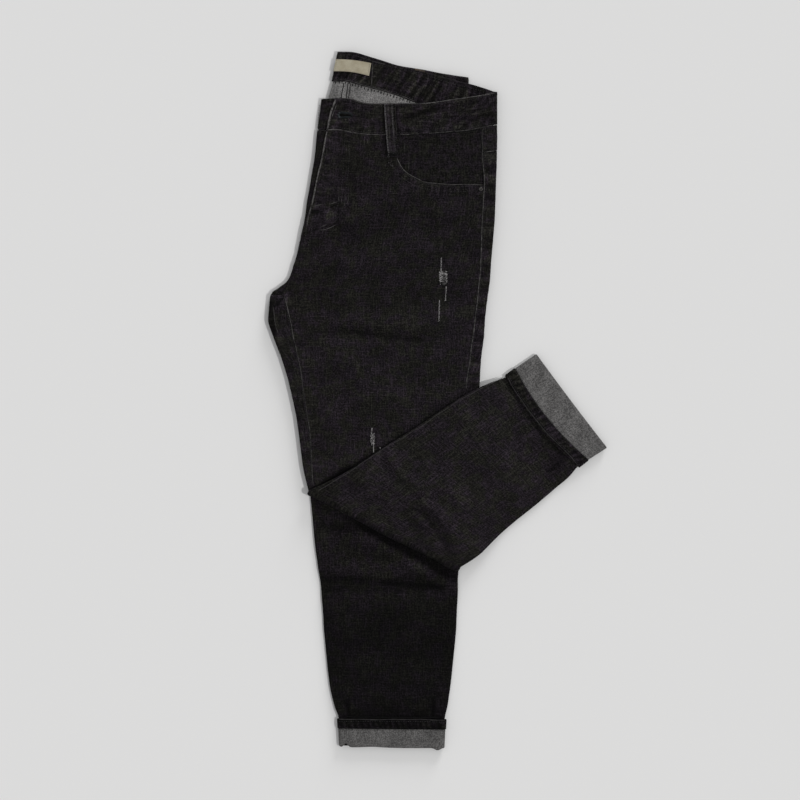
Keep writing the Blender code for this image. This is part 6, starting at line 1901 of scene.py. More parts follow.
worn_edge(INSEAM[:4], 0.62, 0.50, 3, 0.58)
worn_edge(INSEAM[3:], 0.58, 0.46, 2, 0.34)
sewing(INSEAM, -1.7, 4)
sewing(INSEAM, -7.6, 5)
worn_edge(OUTSEAM, 0.62, 0.50, 6, 0.74)
sewing(OUTSEAM, 1.7, 7)
worn_edge(FLY[:7] + [0.75, 0.0], 0.95, 0.62, 8, 1.2, wander=0.1)
worn_edge(FLY[6:] + [0.75, 0.0], 0.85, 0.50, 42, 0.55, wander=0.2)
worn_edge(photo((336.9, 104.6), (335.4, 108.4), (333.3, 113.8), (331.9, 119)), 0.55, 0.44, 43, 0.60, wander=0.4)
sewing(FLY, 1.8, 9)
worn_edge(POCKET[:5], 0.64, 0.52, 10, 0.70)
worn_edge(POCKET[4:], 0.60, 0.48, 41, 0.48)
sewing(POCKET, -1.9, 11)
sewing(POCKET, -8.6, 12, tone=(0.0, 0.45))
worn_edge(BAND_LOW[:2], 0.66, 0.50, 13, 0.80)
worn_edge(BAND_LOW[1:5], 0.55, 0.40, 40, 0.66)
worn_edge(BAND_LOW[4:8], 0.70, 0.50, 38, 0.78)
worn_edge(BAND_LOW[7:], 0.58, 0.44, 37, 0.68)
worn_edge(BAND_TOP[6:], 0.62, 0.40, 14, 0.85)
worn_edge(BAND_TOP[:7], 0.55, 0.36, 15, 0.25)
worn_edge(BAND_END + [1.3, 0.0], 1.35, 0.55, 16, 1.5, wander=0.15)
sewing(BAND_LOW, 2.6, 17)
sewing(BAND_TOP, -2.6, 18)
sewing(BAND_END, 2.2, 19)
# The fly's double row, straight down and hooked in at its end.
J_OUT = photo((350.0, 136), (349.4, 152), (348.0, 172), (346.2, 190), (343.2, 206), (338.0, 218), (328.4, 226.6), (318, 230.8))
J_IN = photo((344.9, 136), (344.3, 152), (343.0, 172), (341.2, 189), (338.4, 203), (333.6, 213.4), (325.6, 221), (316, 225.4))
sewing(J_OUT, 0.0, 20, tone=(0.0, 0.30))
sewing(J_IN, 0.0, 21, tone=(0.0, 0.25))
worn_edge(photo((317.4, 230.6), (324, 230.0), (330, 227.8), (336.2, 224.4)), 0.60, 0.40, 22, 0.46)
worn_edge(photo((320.4, 227.2), (324.5, 225.4), (328.2, 223.3)), 0.65, 0.40, 23, 0.52)
# The crotch seam past the fly, and the seams that meet at the crotch.
# Painted shadow: a dark cord in the crotch's fold.
worn_edge(photo((274.0, 306.6), (279, 301.8), (283.6, 297.4)), 1.25, 0.50, 25, 0.0, wear=-4.5)
sewing(photo((306.6, 218), (306.0, 232), (303.4, 246)), 0.0, 26, tone=(0.1, 0.5))
sewing(photo((312.6, 218), (311.2, 232), (308.2, 246)), 0.0, 27, tone=(0.1, 0.5))
worn_edge(photo((273.6, 306), (274.0, 313), (275.0, 323), (278.2, 334)), 0.6, 0.42, 28, 0.20)
# Yoke and waist seams on the side strip and on the lower front's edge.
worn_edge(photo((484.0, 152.6), (490, 151.6), (496.4, 150.9)), 0.60, 0.45, 29, 0.75)
worn_edge(photo((484.2, 150.2), (490, 149.4), (496.2, 148.8)), 0.60, 0.30, 30, 0.0, wear=-4.0)
sewing(photo((484.2, 154.6), (490, 153.8), (496.2, 153.2)), 0.0, 31)
sewing(photo((484.4, 161.0), (490, 160.6), (496.2, 160.2)), 0.0, 32, tone=(-0.4, 0.0))
worn_edge(photo((316.8, 130.4), (325.4, 130.2)), 0.85, 0.35, 33, 0.40, sink=0.45)
sewing(photo((319.2, 104), (317.4, 128)), 0.0, 34)

# Hems: a rubbed, broken line on the leg's side, a sewn row just below it.
HEM_R = photo((338.2, 719.6), (360, 719.4), (390, 719.5), (420, 719.8), (445.2, 720.2))
HEM_L = photo((506.8, 376.6), (513.6, 388.9), (520.6, 399.3), (532.6, 415.3), (545.3, 431.3), (556.6, 443.3), (570.2, 456.1), (578.6, 466.6))
worn_edge(HEM_R, 0.56, 0.40, 35, -0.25, wander=0.35)
worn_edge(photo((318.4, 130.3), (322, 130.5), (326.0, 130.2)), 0.42, 0.36, 39, -0.20, wander=0.25)
worn_edge(HEM_L, 0.60, 0.42, 36, -1.30, wander=0.35)
sewing(HEM_R, -2.4, 37, tone=(0.0, 0.35))
sewing(HEM_L, 2.4, 38, tone=(0.0, 0.35))
# Painted shadow: a dark cord in the step above the lower hem.
worn_edge(photo((345, 716.9), (352, 717.3), (390, 717.5), (420, 717.6), (440, 717.9)), 0.75, 0.34, 44, 0.0, wear=-5.0, wander=0.15)
# Small folds that the fly's end pulls into the cloth.
worn_edge(photo((312.8, 207.0), (318, 205.4), (323.2, 203.8)), 0.75, 0.55, 45, 0.30, wear=0.2)
worn_edge(photo((330.2, 204.3), (334, 203.1), (337.6, 201.8)), 0.75, 0.60, 46, 0.36, wear=0.2)
# Painted shade: dark cords in the troughs beside these folds.
worn_edge(photo((310.6, 211.4), (315, 212.0), (319.8, 211.8)), 1.4, 0.40, 47, 0.0, wear=-3.6)
worn_edge(photo((330.8, 206.6), (334, 206.0), (337.4, 204.8)), 0.8, 0.40, 48, 0.0, wear=-3.8)
worn_edge(photo((404.3, 143.0), (404.6, 147.5), (404.5, 152.0)), 0.42, 0.34, 49, 0.36)
worn_edge(photo((409.3, 160.0), (409.0, 165.5), (408.6, 171.0)), 0.42, 0.34, 50, 0.30)
for n_, (x_, y0_, y1_) in enumerate(((338.6, 194.6, 203.5), (341.6, 193.8, 205.0), (344.9, 195.0, 206.6), (348.2, 194.0, 205.2))):
    worn_edge(photo((x_ + 0.3, y0_), (x_, (y0_ + y1_) / 2), (x_ - 0.5, y1_)), 0.42, 0.34, 70 + n_, 0.34)
# The turned leg's upper edge is rubbed along the fold of its side.
TURNED_EDGE = photo((318, 490.4), (335, 480.3), (353, 469.4), (383, 449.6), (415, 429.8), (427, 422.4), (446, 409.4), (465, 396.9), (479.4, 389), (503, 378))
worn_edge(TURNED_EDGE, 0.48, 0.34, 39, 0.16, wander=0.5)
# Painted shadow: dark cords beside the side seam and under the band's lower edge.
worn_edge(photo((480.0, 132.5), (481.0, 143), (482.0, 154.5)), 0.72, 0.50, 76, 0.0, wear=-5.0, wander=0.2)
worn_edge(photo((483.0, 160), (483.6, 172), (483.4, 190)), 0.70, 0.48, 77, 0.0, wear=-4.8, wander=0.2)
worn_edge(photo((420, 134.6), (440, 133.2), (452, 132.5), (466, 131.5), (478, 129.8)), 0.66, 0.46, 78, 0.0, wear=-4.8, wander=0.25)
worn_edge(photo((304.8, 224.5), (302.2, 234), (299.8, 244), (297.8, 252)), 0.42, 0.34, 79, 0.0, wear=-0.35, wander=0.2)

# Light loose threads of the felled seam that joins the two backs, and the
# teeth of the sewing along the back waistband's lower edge.
felled, grey_rows = [], []
for n_, (x0_, x1_, deep_) in enumerate(((343.7, 341.0, -2.6), (347.9, 346.2, -2.6), (351.0, 348.4, -1.6))):
    felled.append(stitch_row(TOP, photo((x0_, 83.2), (x1_, 98.2)), pitch=2.3, length=2.5, radius=0.52, lift=0.18, tone=(deep_, 0.0), seed=50 + n_))
teeth = photo((332.2, 82.6), (341, 81.9), (349.8, 83.1), (361, 86.7), (375.4, 90.7), (389, 94.3), (401, 98.3), (413, 102.4))
TEETH = resampled(teeth, 4.3)
TEETH_DOWN = (moved_aside(TEETH, -1.0) - TEETH)
# The inner side of the back band: rows of sewing seen from the wrong side.
INNER_LOW = photo((332.6, 80.4), (341, 79.6), (349.8, 80.8), (361, 84.4), (375.4, 88.4), (389, 92.0), (401, 96.0), (415, 101.2))
INNER_TOP_LINE = photo((338.2, 55.2), (349.8, 54.2), (357.8, 55.4), (373, 60.6), (385, 63.8), (401, 68.6), (413, 71.0), (426, 74.0), (441, 79.2),
                       (462, 85.2), (482, 90.0))
sewing(INNER_LOW, 1.8, 60, tone=(0.1, 0.55))
sewing(INNER_TOP_LINE, -1.2, 61, tone=(0.0, 0.35))
worn_edge(INNER_LOW, 0.55, 0.36, 62, 0.35)
worn_edge(photo((373.0, 60.8), (372.2, 74), (371.8, 86.6)), 0.55, 0.4, 63, 0.55)
worn_edge(photo((358, 56.4), (373, 61.4), (385, 64.6)), 0.45, 0.3, 64, 0.20)

PIECES_ADDED = [joined("worn_seam_edges", worn, WORN_AND_SHADOW_CORD), joined("stitches_black", sewn, THREAD), joined("felled_seam_threads", felled, THREAD)]


# --- buttonhole: close stitches round a slit, in the upper front's band
def satin_ring(x0, x1, y0, count, seed):
    """Short stitches square to the slit's outline, from the eye round the slit."""
    rng = np.random.default_rng(seed)
    outline = []
    for k_ in range(240):
        a = 2 * math.pi * k_ / 240
        q = (x0 + x1) / 2 + (x1 - x0) / 2 * 1.12 * math.cos(a)
        t_ = (q - (x0 + x1) / 2) / ((x1 - x0) / 2)
        outline.append((q - 0.6 * (1 - ease(t_, -1.1, 0.2)), y0 + math.copysign(abs(math.sin(a)) ** 0.42, math.sin(a)) * (float(slit_half(t_)) + 0.15)))
    outline = np.array(outline + outline[:1])
    length = np.concatenate([[0.0], np.cumsum(np.hypot(*np.diff(outline, axis=0).T))])
    ends = []
    for s_ in np.linspace(0, length[-1], count, endpoint=False):
        c0 = np.array([np.interp(s_, length, outline[:, 0]), np.interp(s_, length, outline[:, 1])])
        c1 = np.array([np.interp((s_ + 0.5) % length[-1], length, outline[:, 0]), np.interp((s_ + 0.5) % length[-1], length, outline[:, 1])])
        d0 = c1 - c0
        d0 /= max(np.hypot(*d0), 1e-6)
        d0 = np.array([d0[1], -d0[0]])
        reach = 2.5 * rng.uniform(0.88, 1.10)
        ends.append((tuple(c0 - d0 * 0.35), tuple(c0 + d0 * reach)))
    return ends


def threads(tree, ends, radius, lift, tone, seed=1, bow=0.25, taper=0.5):
    """Single yarns between two plan places, bowed up in the middle."""
    rng = np.random.default_rng(seed)
    points, faces, uv_, tone_ = [], [], [], []
    for (ax_, ay_), (bx_, by_) in ends:
        length = math.hypot(bx_ - ax_, by_ - ay_)
        steps_ = max(int(length / 0.8), 3)
        path = np.stack([np.linspace(ax_, bx_, steps_ + 1), np.linspace(ay_, by_, steps_ + 1)], 1)
        sway = rng.normal(0, 0.10 * min(length / 4.0, 1.5)) * np.sin(np.linspace(0, math.pi, steps_ + 1))
        side_v = np.array([-(by_ - ay_), bx_ - ax_]) / max(length, 1e-6)
        path = path + side_v * sway[:, None]
        z_, _ = on_surface(tree, path)
        z_ = z_ + lift + bow * np.sin(np.linspace(0, math.pi, steps_ + 1)) * rng.uniform(0.5, 1.2)
        z_[0] -= lift + 0.15
        z_[-1] -= lift + 0.15
        start_ = len(points)
        for i_ in range(steps_ + 1):
            size = taper if i_ in (0, steps_) else rng.uniform(0.85, 1.12)
            for k_ in range(5):
                a = 2 * math.pi * k_ / 5
                off = side_v * radius * size * math.cos(a)
                points.append((path[i_][0] + off[0], path[i_][1] + off[1], z_[i_] + radius * size * math.sin(a)))
                uv_.append((a * radius, i_ * 0.8)); tone_.append(tone)
        for i_ in range(steps_):
            for k_ in range(5):
                a, b = start_ + i_ * 5 + k_, start_ + i_ * 5 + (k_ + 1) % 5
                faces.append([a, a + 5, b + 5, b])
        faces.append([start_ + k_ for k_ in range(5)])
        faces.append([start_ + steps_ * 5 + k_ for k_ in range(4, -1, -1)])
    tone_ = np.array(tone_)
    return np.array(points), faces, np.array(uv_), tones(tone_[:, 0], tone_[:, 1])


rng = np.random.default_rng(54)
teeth_ends = [(tuple(p_ - d_ * rng.uniform(0.6, 1.4)), tuple(p_ + d_ * rng.uniform(1.5, 3.0))) for p_, d_ in zip(TEETH[1:-1] + rng.normal(0, 0.35, (len(TEETH) - 2, 2)), TEETH_DOWN[1:-1])]
tooth_parts = [threads(TOP, teeth_ends, 0.62, 0.12, (-2.0, 0.0), 55, bow=0.15, taper=0.6)]
ring_ends = satin_ring(HOLE_X0 + 3.4, HOLE_X1 - 2.2, HOLE_Y, 96, 5)
eye_ends = [e_ for e_ in ring_ends if e_[0][0] < HOLE_X0 + 3.6]
side_ends = [e_ for e_ in ring_ends if e_[0][0] >= HOLE_X0 + 3.6]
hole_parts = [threads(TOP, side_ends, 0.28, 0.10, (-0.2, 0.05), 6, bow=0.16, taper=0.7), threads(TOP, eye_ends, 0.30, 0.14, (0.5, 0.50), 7, bow=0.16, taper=0.7)]


# --- bar-tacks: close short threads across, at the loop's ends and the pocket
def bar_tack(tree, x0, y0, x1, y1, wide, count, seed, lift=0.15):
    rng = np.random.default_rng(seed)
    length = math.hypot(x1 - x0, y1 - y0)
    tx, ty = (x1 - x0) / length, (y1 - y0) / length
    ends = []
    for k_ in range(count):
        c0 = (x0 + (x1 - x0) * (k_ + 0.5) / count, y0 + (y1 - y0) * (k_ + 0.5) / count)
        slant = 0.35 * (1 if k_ % 2 else -1)
        reach = wide / 2 * rng.uniform(0.9, 1.1)
        ends.append(((c0[0] - ty * reach - tx * slant, c0[1] + tx * reach - ty * slant), (c0[0] + ty * reach + tx * slant, c0[1] - tx * reach + ty * slant)))
    return threads(tree, ends, 0.28, lift, (-2.6, 0.0), seed, bow=0.12, taper=0.8)


# --- belt loop of the upper front: a folded strip, sewn down at both ends
LoopPoint = namedtuple("LoopPoint", "left_x left_y right_x right_y lift")
LOOP = [
    LoopPoint(-67.4, 386.0, -52.8, 386.4, 0.0), LoopPoint(-67.2, 378.0, -52.6, 378.0, 0.45), LoopPoint(-66.4, 365.0, -51.8, 365.0, 0.85),
    LoopPoint(-65.4, 350.0, -51.0, 350.0, 0.85), LoopPoint(-63.8, 332.0, -49.9, 332.0, 0.55), LoopPoint(-62.0, 317.4, -49.2, 318.2, 0.05),
]
fine = np.linspace(0, len(LOOP) - 1, 44)
lx_, ly_, rx_, ry_, lift_ = (pchip(np.arange(len(LOOP)), column(LOOP, c), fine) for c in ("left_x", "left_y", "right_x", "right_y", "lift"))
band_top = 12.3
z_loop = band_top + 0.3 + 0.7 + lift_ * 0.8
loop_low, loop_high = np.stack([lx_, ly_, z_loop], 1), np.stack([rx_, ry_, z_loop], 1)


def loop_relief(run_, cross, side):
    h = 0.10 * wobble(run_, cross * 3, 101, 12.0)
    for line in (2.6, 12.2):
        h = h - 0.20 * np.exp(-((cross - line) / 0.8) ** 2)
    h = h + 0.18 * np.sin(run_ * 2 * math.pi / 6.5) * np.exp(-np.minimum(cross, 14 - cross) / 2.5)
    return h * (side > 0.2)


def loop_wear_and_shade(run_, cross, side, edge):
    h = loop_relief(run_, cross, side)
    rub = 1.5 * (edge < -0.5) + 0.30 * (edge > 0.5) + 1.1 * np.exp(-((cross - 10.0) / 0.65) ** 2) * (side > 0) + 1.4 * np.exp(-((cross - 0.8) / 1.1) ** 2) * (side > 0)
    rub = rub + 0.40 * np.exp(-((cross - 4.8) / 0.7) ** 2) * (side > 0)
    rub = rub * (1 - 0.6 * ease(run_, 34, 46) * (cross > 5))
    # Painted light and shade on the loop: lighter along its middle and on its raised relief, darker by its right edge
    # and in its hollows.
    painted_light_and_shade = 0.5 * np.exp(-((cross - 4.6) / 2.2) ** 2) * (1 + 0.5 * np.sin(run_ / 2.3)) - 0.5 * np.exp(-((cross - 12.6) / 1.1) ** 2)
    return tones(0.10 + 0.7 * np.tanh(h / 0.3) + painted_light_and_shade, rub, 0.5 + 0 * rub, run_ / 6.0)


PIECES["belt_loop_front_left"] = band("belt_loop_front_left_cloth", loop_low, loop_high, np.tile([0, 0, 1.0], (44, 1)), 1.4, DENIM_BAND,
                                      cols=17, relief=loop_relief, wear=loop_wear_and_shade, uv_start=300.0)
LOOP_TREE = tree_of([PIECES["belt_loop_front_left"], PIECES["front_left"], PIECES["waistband"]])
loop_parts = []
for aside, seed in ((2.3, 110), (11.4, 111)):
    line = loop_low[:, :2] + (loop_high[:, :2] - loop_low[:, :2]) * (aside / 14.2)
    loop_parts.append(stitch_row(LOOP_TREE, line[2:-2], pitch=2.9, seed=seed, tone=(0.0, 0.4), lift=0.10))
(tx0, ty0), (tx1, ty1) = at(386.9, 155.6), at(396.2, 154.4)
loop_parts.append(bar_tack(LOOP_TREE, tx0, ty0, tx1, ty1, 5.6, 30, 112))
loop_parts.append(threads(LOOP_TREE, [((at(387.3, 0)[0] + d_, at(0, 157.6)[1]), (at(387.5, 0)[0] + d_ * 1.1, at(0, 154.2)[1])) for d_ in (0.2, 0.9, 1.5)], 0.34, 0.35, (0.6, 0.8), 116, bow=0.1))
loop_parts.append(threads(LOOP_TREE, [((at(392.6, 0)[0] + d_, at(0, 154.2)[1]), (at(393.4, 0)[0] + d_, at(0, 153.0)[1])) for d_ in (0.0, 1.0)], 0.32, 0.35, (0.6, 0.7), 117, bow=0.1))
(tx0, ty0), (tx1, ty1) = at(384.6, 106.2), at(395.2, 106.0)
loop_parts.append(bar_tack(LOOP_TREE, tx0, ty0, tx1, ty1, 1.8, 24, 113))
(tx0, ty0), (tx1, ty1) = at(398.0, 159.6), at(399.4, 163.4)
loop_parts.append(bar_tack(TOP, tx0, ty0, tx1, ty1, 2.6, 12, 114))
loop_parts.append(threads(TOP, [(at(390.4, 164.0), at(391.2, 166.6)), (at(391.8, 164.8), at(392.6, 167.2)), (at(388.4, 162.2), at(389.2, 164.0))], 0.36, 0.15, (0.5, 0.75), 118, bow=0.15))
(tx0, ty0), (tx1, ty1) = at(318.0, 228.6), at(312.6, 230.4)
loop_parts.append(bar_tack(TOP, tx0, ty0, tx1, ty1, 2.4, 14, 115))

# --- the loop and the patch's edge that show above the lower back's waistband
def small_band(name, lows_, highs_, z_, thick, mat, relief, wear, cols=11, rows_=14):
    k_ = np.linspace(0, 1, rows_)[:, None]
    lo_ = np.array([lows_[0]]) * (1 - k_) + np.array([lows_[1]]) * k_
    hi_ = np.array([highs_[0]]) * (1 - k_) + np.array([highs_[1]]) * k_
    zz = np.full((rows_, 1), z_)
    return band(name, np.concatenate([lo_, zz], 1), np.concatenate([hi_, zz], 1), np.tile([0, 0, 1.0], (rows_, 1)), thick, mat, cols=cols,
                relief=relief, wear=wear)


def plain_relief(seed, amp=0.08, size=6.0):
    return lambda run_, cross, side: amp * wobble(run_, cross * 2, seed, size) * (side > 0.2)


def plain_wear(tone, rub):
    return lambda run_, cross, side, edge: tones(tone + 0 * run_, rub * (np.abs(edge) > 0.5) + 0 * run_)


PIECES["belt_loop_back_right"] = small_band("belt_loop_back_right_cloth", [(11.1, 421.0), (26.0, 417.2)], [(11.1, 426.0), (26.0, 423.6)], 7.15, 1.5,
                                            DENIM_BAND, plain_relief(121), plain_wear(0.25, 0.6))
PIECES["leather_patch"] = small_band("leather_patch_hide", [(-27.8, 430.4), (-15.0, 427.6)], [(-27.6, 433.2), (-14.9, 430.3)], 7.0, 1.2,
                                     brown_leather(), plain_relief(122, 0.05, 3.0), plain_wear(0.0, 0.0), cols=9)

# --- woven label, bare, sewn on at both ends
L0, L1, L2, L3 = (np.array(at(*p)) for p in ((335.8, 59.2), (371.2, 63.2), (369.0, 76.0), (333.3, 71.4)))
k_ = np.linspace(0, 1, 60)[:, None]
label_z = 8.3 + 0.3 + 0.4
rise_ = np.sin(k_ * math.pi) * np.array([[0.0, 1.0]])
lift_ = 0.30 * np.sin(k_[:, 0] * math.pi) + 0.10 * np.sin(k_[:, 0] * 9.0 + 1.0)
low_l = np.concatenate([L3 * (1 - k_) + L2 * k_ + 2.0 * rise_, (label_z + lift_)[:, None]], 1)
high_l = np.concatenate([L0 * (1 - k_) + L1 * k_ + 1.4 * rise_, (label_z + 0.6 * lift_)[:, None]], 1)


def label_relief(run_, cross, side):
    h = 0.06 * wobble(run_, cross, 131, 9.0) + 0.05 * np.exp(-np.minimum(cross, 16.6 - cross) / 0.6)
    for line in (1.6, 44.5):
        h = h - 0.16 * np.exp(-((run_ - line) / 0.6) ** 2)
    return h * (side > 0.2)


def label_wear(run_, cross, side, edge):
    border = np.exp(-((np.minimum(cross, 16.6 - cross) - 0.9) / 0.35) ** 2)
    return tones(-0.22 * border - 0.3 * (np.abs(edge) > 0.5) + 0.04 * wobble(run_, cross, 132, 14.0))


PIECES["waistband_label"] = band("waistband_label_cloth", low_l, high_l, np.tile([0, 0, 1.0], (60, 1)), 0.75, label_cloth(), cols=23,
                                 relief=label_relief, wear=label_wear)
LABEL_TREE = tree_of([PIECES["waistband_label"], PIECES["waistband"]])
label_threads = []
for q_, seed in ((0.035, 133), (0.965, 134)):
    line = np.stack([L3 + (L2 - L3) * q_, L0 + (L1 - L0) * q_])
    line = line[0] + (line[1] - line[0]) * np.linspace(0.06, 0.94, 6)[:, None]
    label_threads.append(stitch_row(LABEL_TREE, line, pitch=2.2, length=1.5, radius=0.20, lift=0.08, seed=seed, tone=(0.0, 0.0)))

# --- rivet: a low domed cap with a rim
RIVET = namedtuple("Rivet", "x y radius height")(58.0, 275.9, 3.3, 1.5)
rivet_z = float(on_surface(TOP, [(RIVET.x, RIVET.y)])[0][0])
profile = [(0.0, 0.62), (0.35, 0.66), (0.62, 0.74), (0.95, 0.95), (1.25, 1.10), (1.7, 1.22), (2.2, 1.18), (2.55, 1.02), (2.8, 0.72), (2.95, 0.40), (3.05, 0.12),
           (3.2, 0.0), (3.1, -0.15), (0.0, -0.15)]
points, faces = [], []
N_ = 36
for r_, h_ in profile:
    for k_ in range(N_):
        a = 2 * math.pi * k_ / N_
        points.append((RIVET.x + r_ * math.cos(a), RIVET.y + r_ * math.sin(a), rivet_z + 0.05 + h_))
for i_ in range(len(profile) - 1):
    for k_ in range(N_):
        a, b = i_ * N_ + k_, i_ * N_ + (k_ + 1) % N_
        faces.append([a, a + N_, b + N_, b])
PIECES["rivet_left"] = add_mesh("rivet_left_cap", points, faces, dark_metal())

# --- where the cloth is pulled open: light yarns left across and along
frays, gaps = [], []


def opened(x0, y0, x1, y1, wide, seed, strands=2):
    """A slim vertical opening: a few long light yarns side by side, with gaps."""
    rng = np.random.default_rng(seed)
    (ax_, ay_), (bx_, by_) = at(x0, y0), at(x1, y1)
    length = math.hypot(bx_ - ax_, by_ - ay_)
    ends = []
    for k_ in range(strands):
        off = (k_ - (strands - 1) / 2) * wide / max(strands - 0.4, 1)
        q_ = rng.uniform(0, 0.05)
        while q_ < 0.95:
            long = rng.uniform(2.5, 6.5) / length
            e_ = min(q_ + long, 1.0)
            ends.append(((ax_ + (bx_ - ax_) * q_ + off + rng.normal(0, 0.08), ay_ + (by_ - ay_) * q_),
                         (ax_ + (bx_ - ax_) * e_ + off + rng.normal(0, 0.08), ay_ + (by_ - ay_) * e_)))
            q_ = e_ + rng.uniform(-0.5, 0.9) / length
    return threads(TOP, ends, 0.36, 0.08, (0.25, 0.0), seed, bow=0.10)


frays += [opened(441.3, 257.3, 441.0, 271.5, 1.35, 1), opened(446.3, 286.0, 445.3, 300.6, 0.95, 2), opened(439.5, 300.0, 438.8, 321.0, 1.35, 3),
          opened(371.9, 427.6, 371.4, 434.0, 0.9, 4), opened(373.4, 441.0, 373.6, 452.8, 0.95, 5, 2)]


def mesh_patch(x0, y0, x1, y1, seed, uprights, crossings, fade=0.0):
    rng = np.random.default_rng(seed)
    (ax_, ay_), (bx_, by_) = at(x0, y0), at(x1, y1)
    ends = []
    for k_ in range(uprights):
        px = ax_ + (bx_ - ax_) * (k_ + 0.5 + rng.normal(0, 0.12)) / uprights
        top_, low_ = ay_ + rng.uniform(-2.0, 0.5), by_ + rng.uniform(-1.0, 6.0) * (1 - 0.3 * k_ / uprights)
        q_ = top_
        while q_ > low_:
            e_ = max(q_ - rng.uniform(2.2, 5.5), low_ - 0.5)
            ends.append(((px + rng.normal(0, 0.15), q_), (px + rng.normal(0, 0.15), e_)))
            q_ = e_ - rng.uniform(0.1, 1.4)
    flat_ = []
    for k_ in range(crossings):
        q_ = (k_ + 0.5 + rng.normal(0, 0.15)) / crossings
        py = ay_ + (by_ - ay_) * q_ * (1 - fade)
        start_ = ax_ + rng.uniform(-0.3, 1.6)
        end_ = min(start_ + rng.uniform(2.0, 4.6), bx_ + 0.3)
        lean = rng.choice([-1.0, 1.0]) * rng.uniform(0.2, 1.4)
        flat_.append(((start_, py - lean), (end_, py + lean)))
        if rng.uniform() < 0.6:
            start_ = bx_ - rng.uniform(1.4, 4.0)
            flat_.append(((start_, py + lean * 0.6), (bx_ + 0.3, py - lean * 0.6)))
    return ends, flat_


def gap_shadow_patch(x0, y0, x1, y1, seed):
    """Painted shadow in an opening: a thin uneven dark lens on the cloth."""
    rng = np.random.default_rng(seed)
    (ax_, ay_), (bx_, by_) = at(x0, y0), at(x1, y1)
    cx_, cy_, rx_, ry_ = (ax_ + bx_) / 2, (ay_ + by_) / 2, abs(bx_ - ax_) / 2, abs(by_ - ay_) / 2
    pts, faces_ = [], []
    n_, rings_ = 36, 5
    edge_ = 1 + 0.10 * np.sin(np.arange(n_) * 2 * math.pi / n_ * 5 + rng.uniform(0, 6)) + rng.normal(0, 0.05, n_)
    plan = [(cx_, cy_)]
    for r_ in range(1, rings_ + 1):
        for k_ in range(n_):
            a = 2 * math.pi * k_ / n_
            sq = (abs(math.cos(a)) ** 3 + abs(math.sin(a)) ** 3) ** (-1 / 3)
            plan.append((cx_ + rx_ * r_ / rings_ * sq * math.cos(a) * edge_[k_], cy_ + ry_ * r_ / rings_ * sq * math.sin(a) * edge_[k_]))
    z_, _ = on_surface(TOP, plan)
    up = np.array([0.10] + [0.10 if r_ < rings_ - 1 else (0.04 if r_ == rings_ - 1 else -0.10) for r_ in range(rings_) for _ in range(n_)])
    pts = [(p[0], p[1], z + h) for p, z, h in zip(plan, z_, up)] + [(p[0], p[1], z - 0.35) for p, z in zip(plan, z_)]
    low_ = len(plan)
    for k_ in range(n_):
        faces_.append([0, 1 + k_, 1 + (k_ + 1) % n_])
        faces_.append([low_, low_ + 1 + (k_ + 1) % n_, low_ + 1 + k_])
    for r_ in range(rings_ - 1):
        for k_ in range(n_):
            a, b = 1 + r_ * n_ + k_, 1 + r_ * n_ + (k_ + 1) % n_
            faces_.append([a, a + n_, b + n_, b])
            faces_.append([low_ + a, low_ + b, low_ + b + n_, low_ + a + n_])
    for k_ in range(n_):
        a, b = 1 + (rings_ - 1) * n_ + k_, 1 + (rings_ - 1) * n_ + (k_ + 1) % n_
        faces_.append([a, low_ + a, low_ + b, b])
    pts = np.array(pts)
    return pts, faces_, pts[:, :2].copy(), np.zeros((len(pts), 4))


gaps += [gap_shadow_patch(438.9, 271.4, 447.4, 286.6, 1), gap_shadow_patch(369.9, 432.8, 374.5, 446.5, 2)]
up1, flat1 = mesh_patch(439.0, 271.4, 447.2, 284.5, 7, 9, 15, fade=0.18)
frays += [threads(TOP, up1, 0.34, 0.20, (0.15, 0.0), 8, bow=0.15), threads(TOP, flat1, 0.36, 0.42, (0.5, 0.0), 9, bow=0.25)]
up2, flat2 = mesh_patch(370.2, 433.2, 374.6, 444.6, 17, 5, 8)
frays += [threads(TOP, up2, 0.34, 0.18, (0.15, 0.0), 18, bow=0.15), threads(TOP, flat2, 0.32, 0.36, (0.2, 0.0), 19, bow=0.2)]
frays.append(threads(TOP, [((at(438.4, 321.4)[0] - 1.0, at(0, 321.4)[1]), (at(438.4, 321.4)[0] + 1.4, at(0, 320.8)[1])),
                           ((at(445.0, 300.9)[0] - 1.0, at(0, 300.9)[1]), (at(445.0, 300.9)[0] + 1.3, at(0, 300.3)[1])),
                           ((at(380.0, 447.0)[0], at(0, 447.0)[1]), (at(380.3, 449.4)[0], at(0, 449.4)[1]))], 0.5, 0.1, (0.2, 0.0), 20))
PIECES_ADDED += [joined("felled_teeth", tooth_parts, THREAD), joined("pulled_open_yarns", frays, GREY_YARN), joined("pulled_open_gaps", gaps, GAP_SHADOW), joined("buttonhole_stitches", hole_parts, THREAD_COOL),
                 joined("bar_tacks_and_loop_stitches", loop_parts, THREAD), joined("label_stitches", label_threads, GREY_YARN)]
ADDED_SLOTS = {"pulled_open_yarns": "denim_inside", "label_stitches": "label"}
for ob in PIECES_ADDED:
    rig.ride(ob, "root")
    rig.slot(ob, ADDED_SLOTS.get(ob.name, "denim"))

# ------------------------------------------------------------ what stands for what
SLOTS = {"cuff_left": "denim_inside", "cuff_right": "denim_inside", "inner_layers": "denim_inside", "leather_patch": "leather",
         "waistband_label": "label", "rivet_left": "metal"}
for node, ob in PIECES.items():
    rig.ride(ob, "root")
    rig.replaces(ob, node)
    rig.slot(ob, SLOTS.get(node, "denim"))

# ------------------------------------------------------------ floor, light, camera
floor_mesh = bpy.data.meshes.new("studio_floor")
floor_mesh.from_pydata([(-4, -4, -0.0003), (4, -4, -0.0003), (4, 4, -0.0003), (-4, 4, -0.0003)], [], [(0, 1, 2, 3)])
floor = bpy.data.objects.new("studio_floor", floor_mesh)
bpy.context.scene.collection.objects.link(floor)
t = Tree("studio_paper")
floor_mesh.materials.append(t.finish((0.80, 0.80, 0.80), 0.9, specular=0.0))
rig.stage(floor)

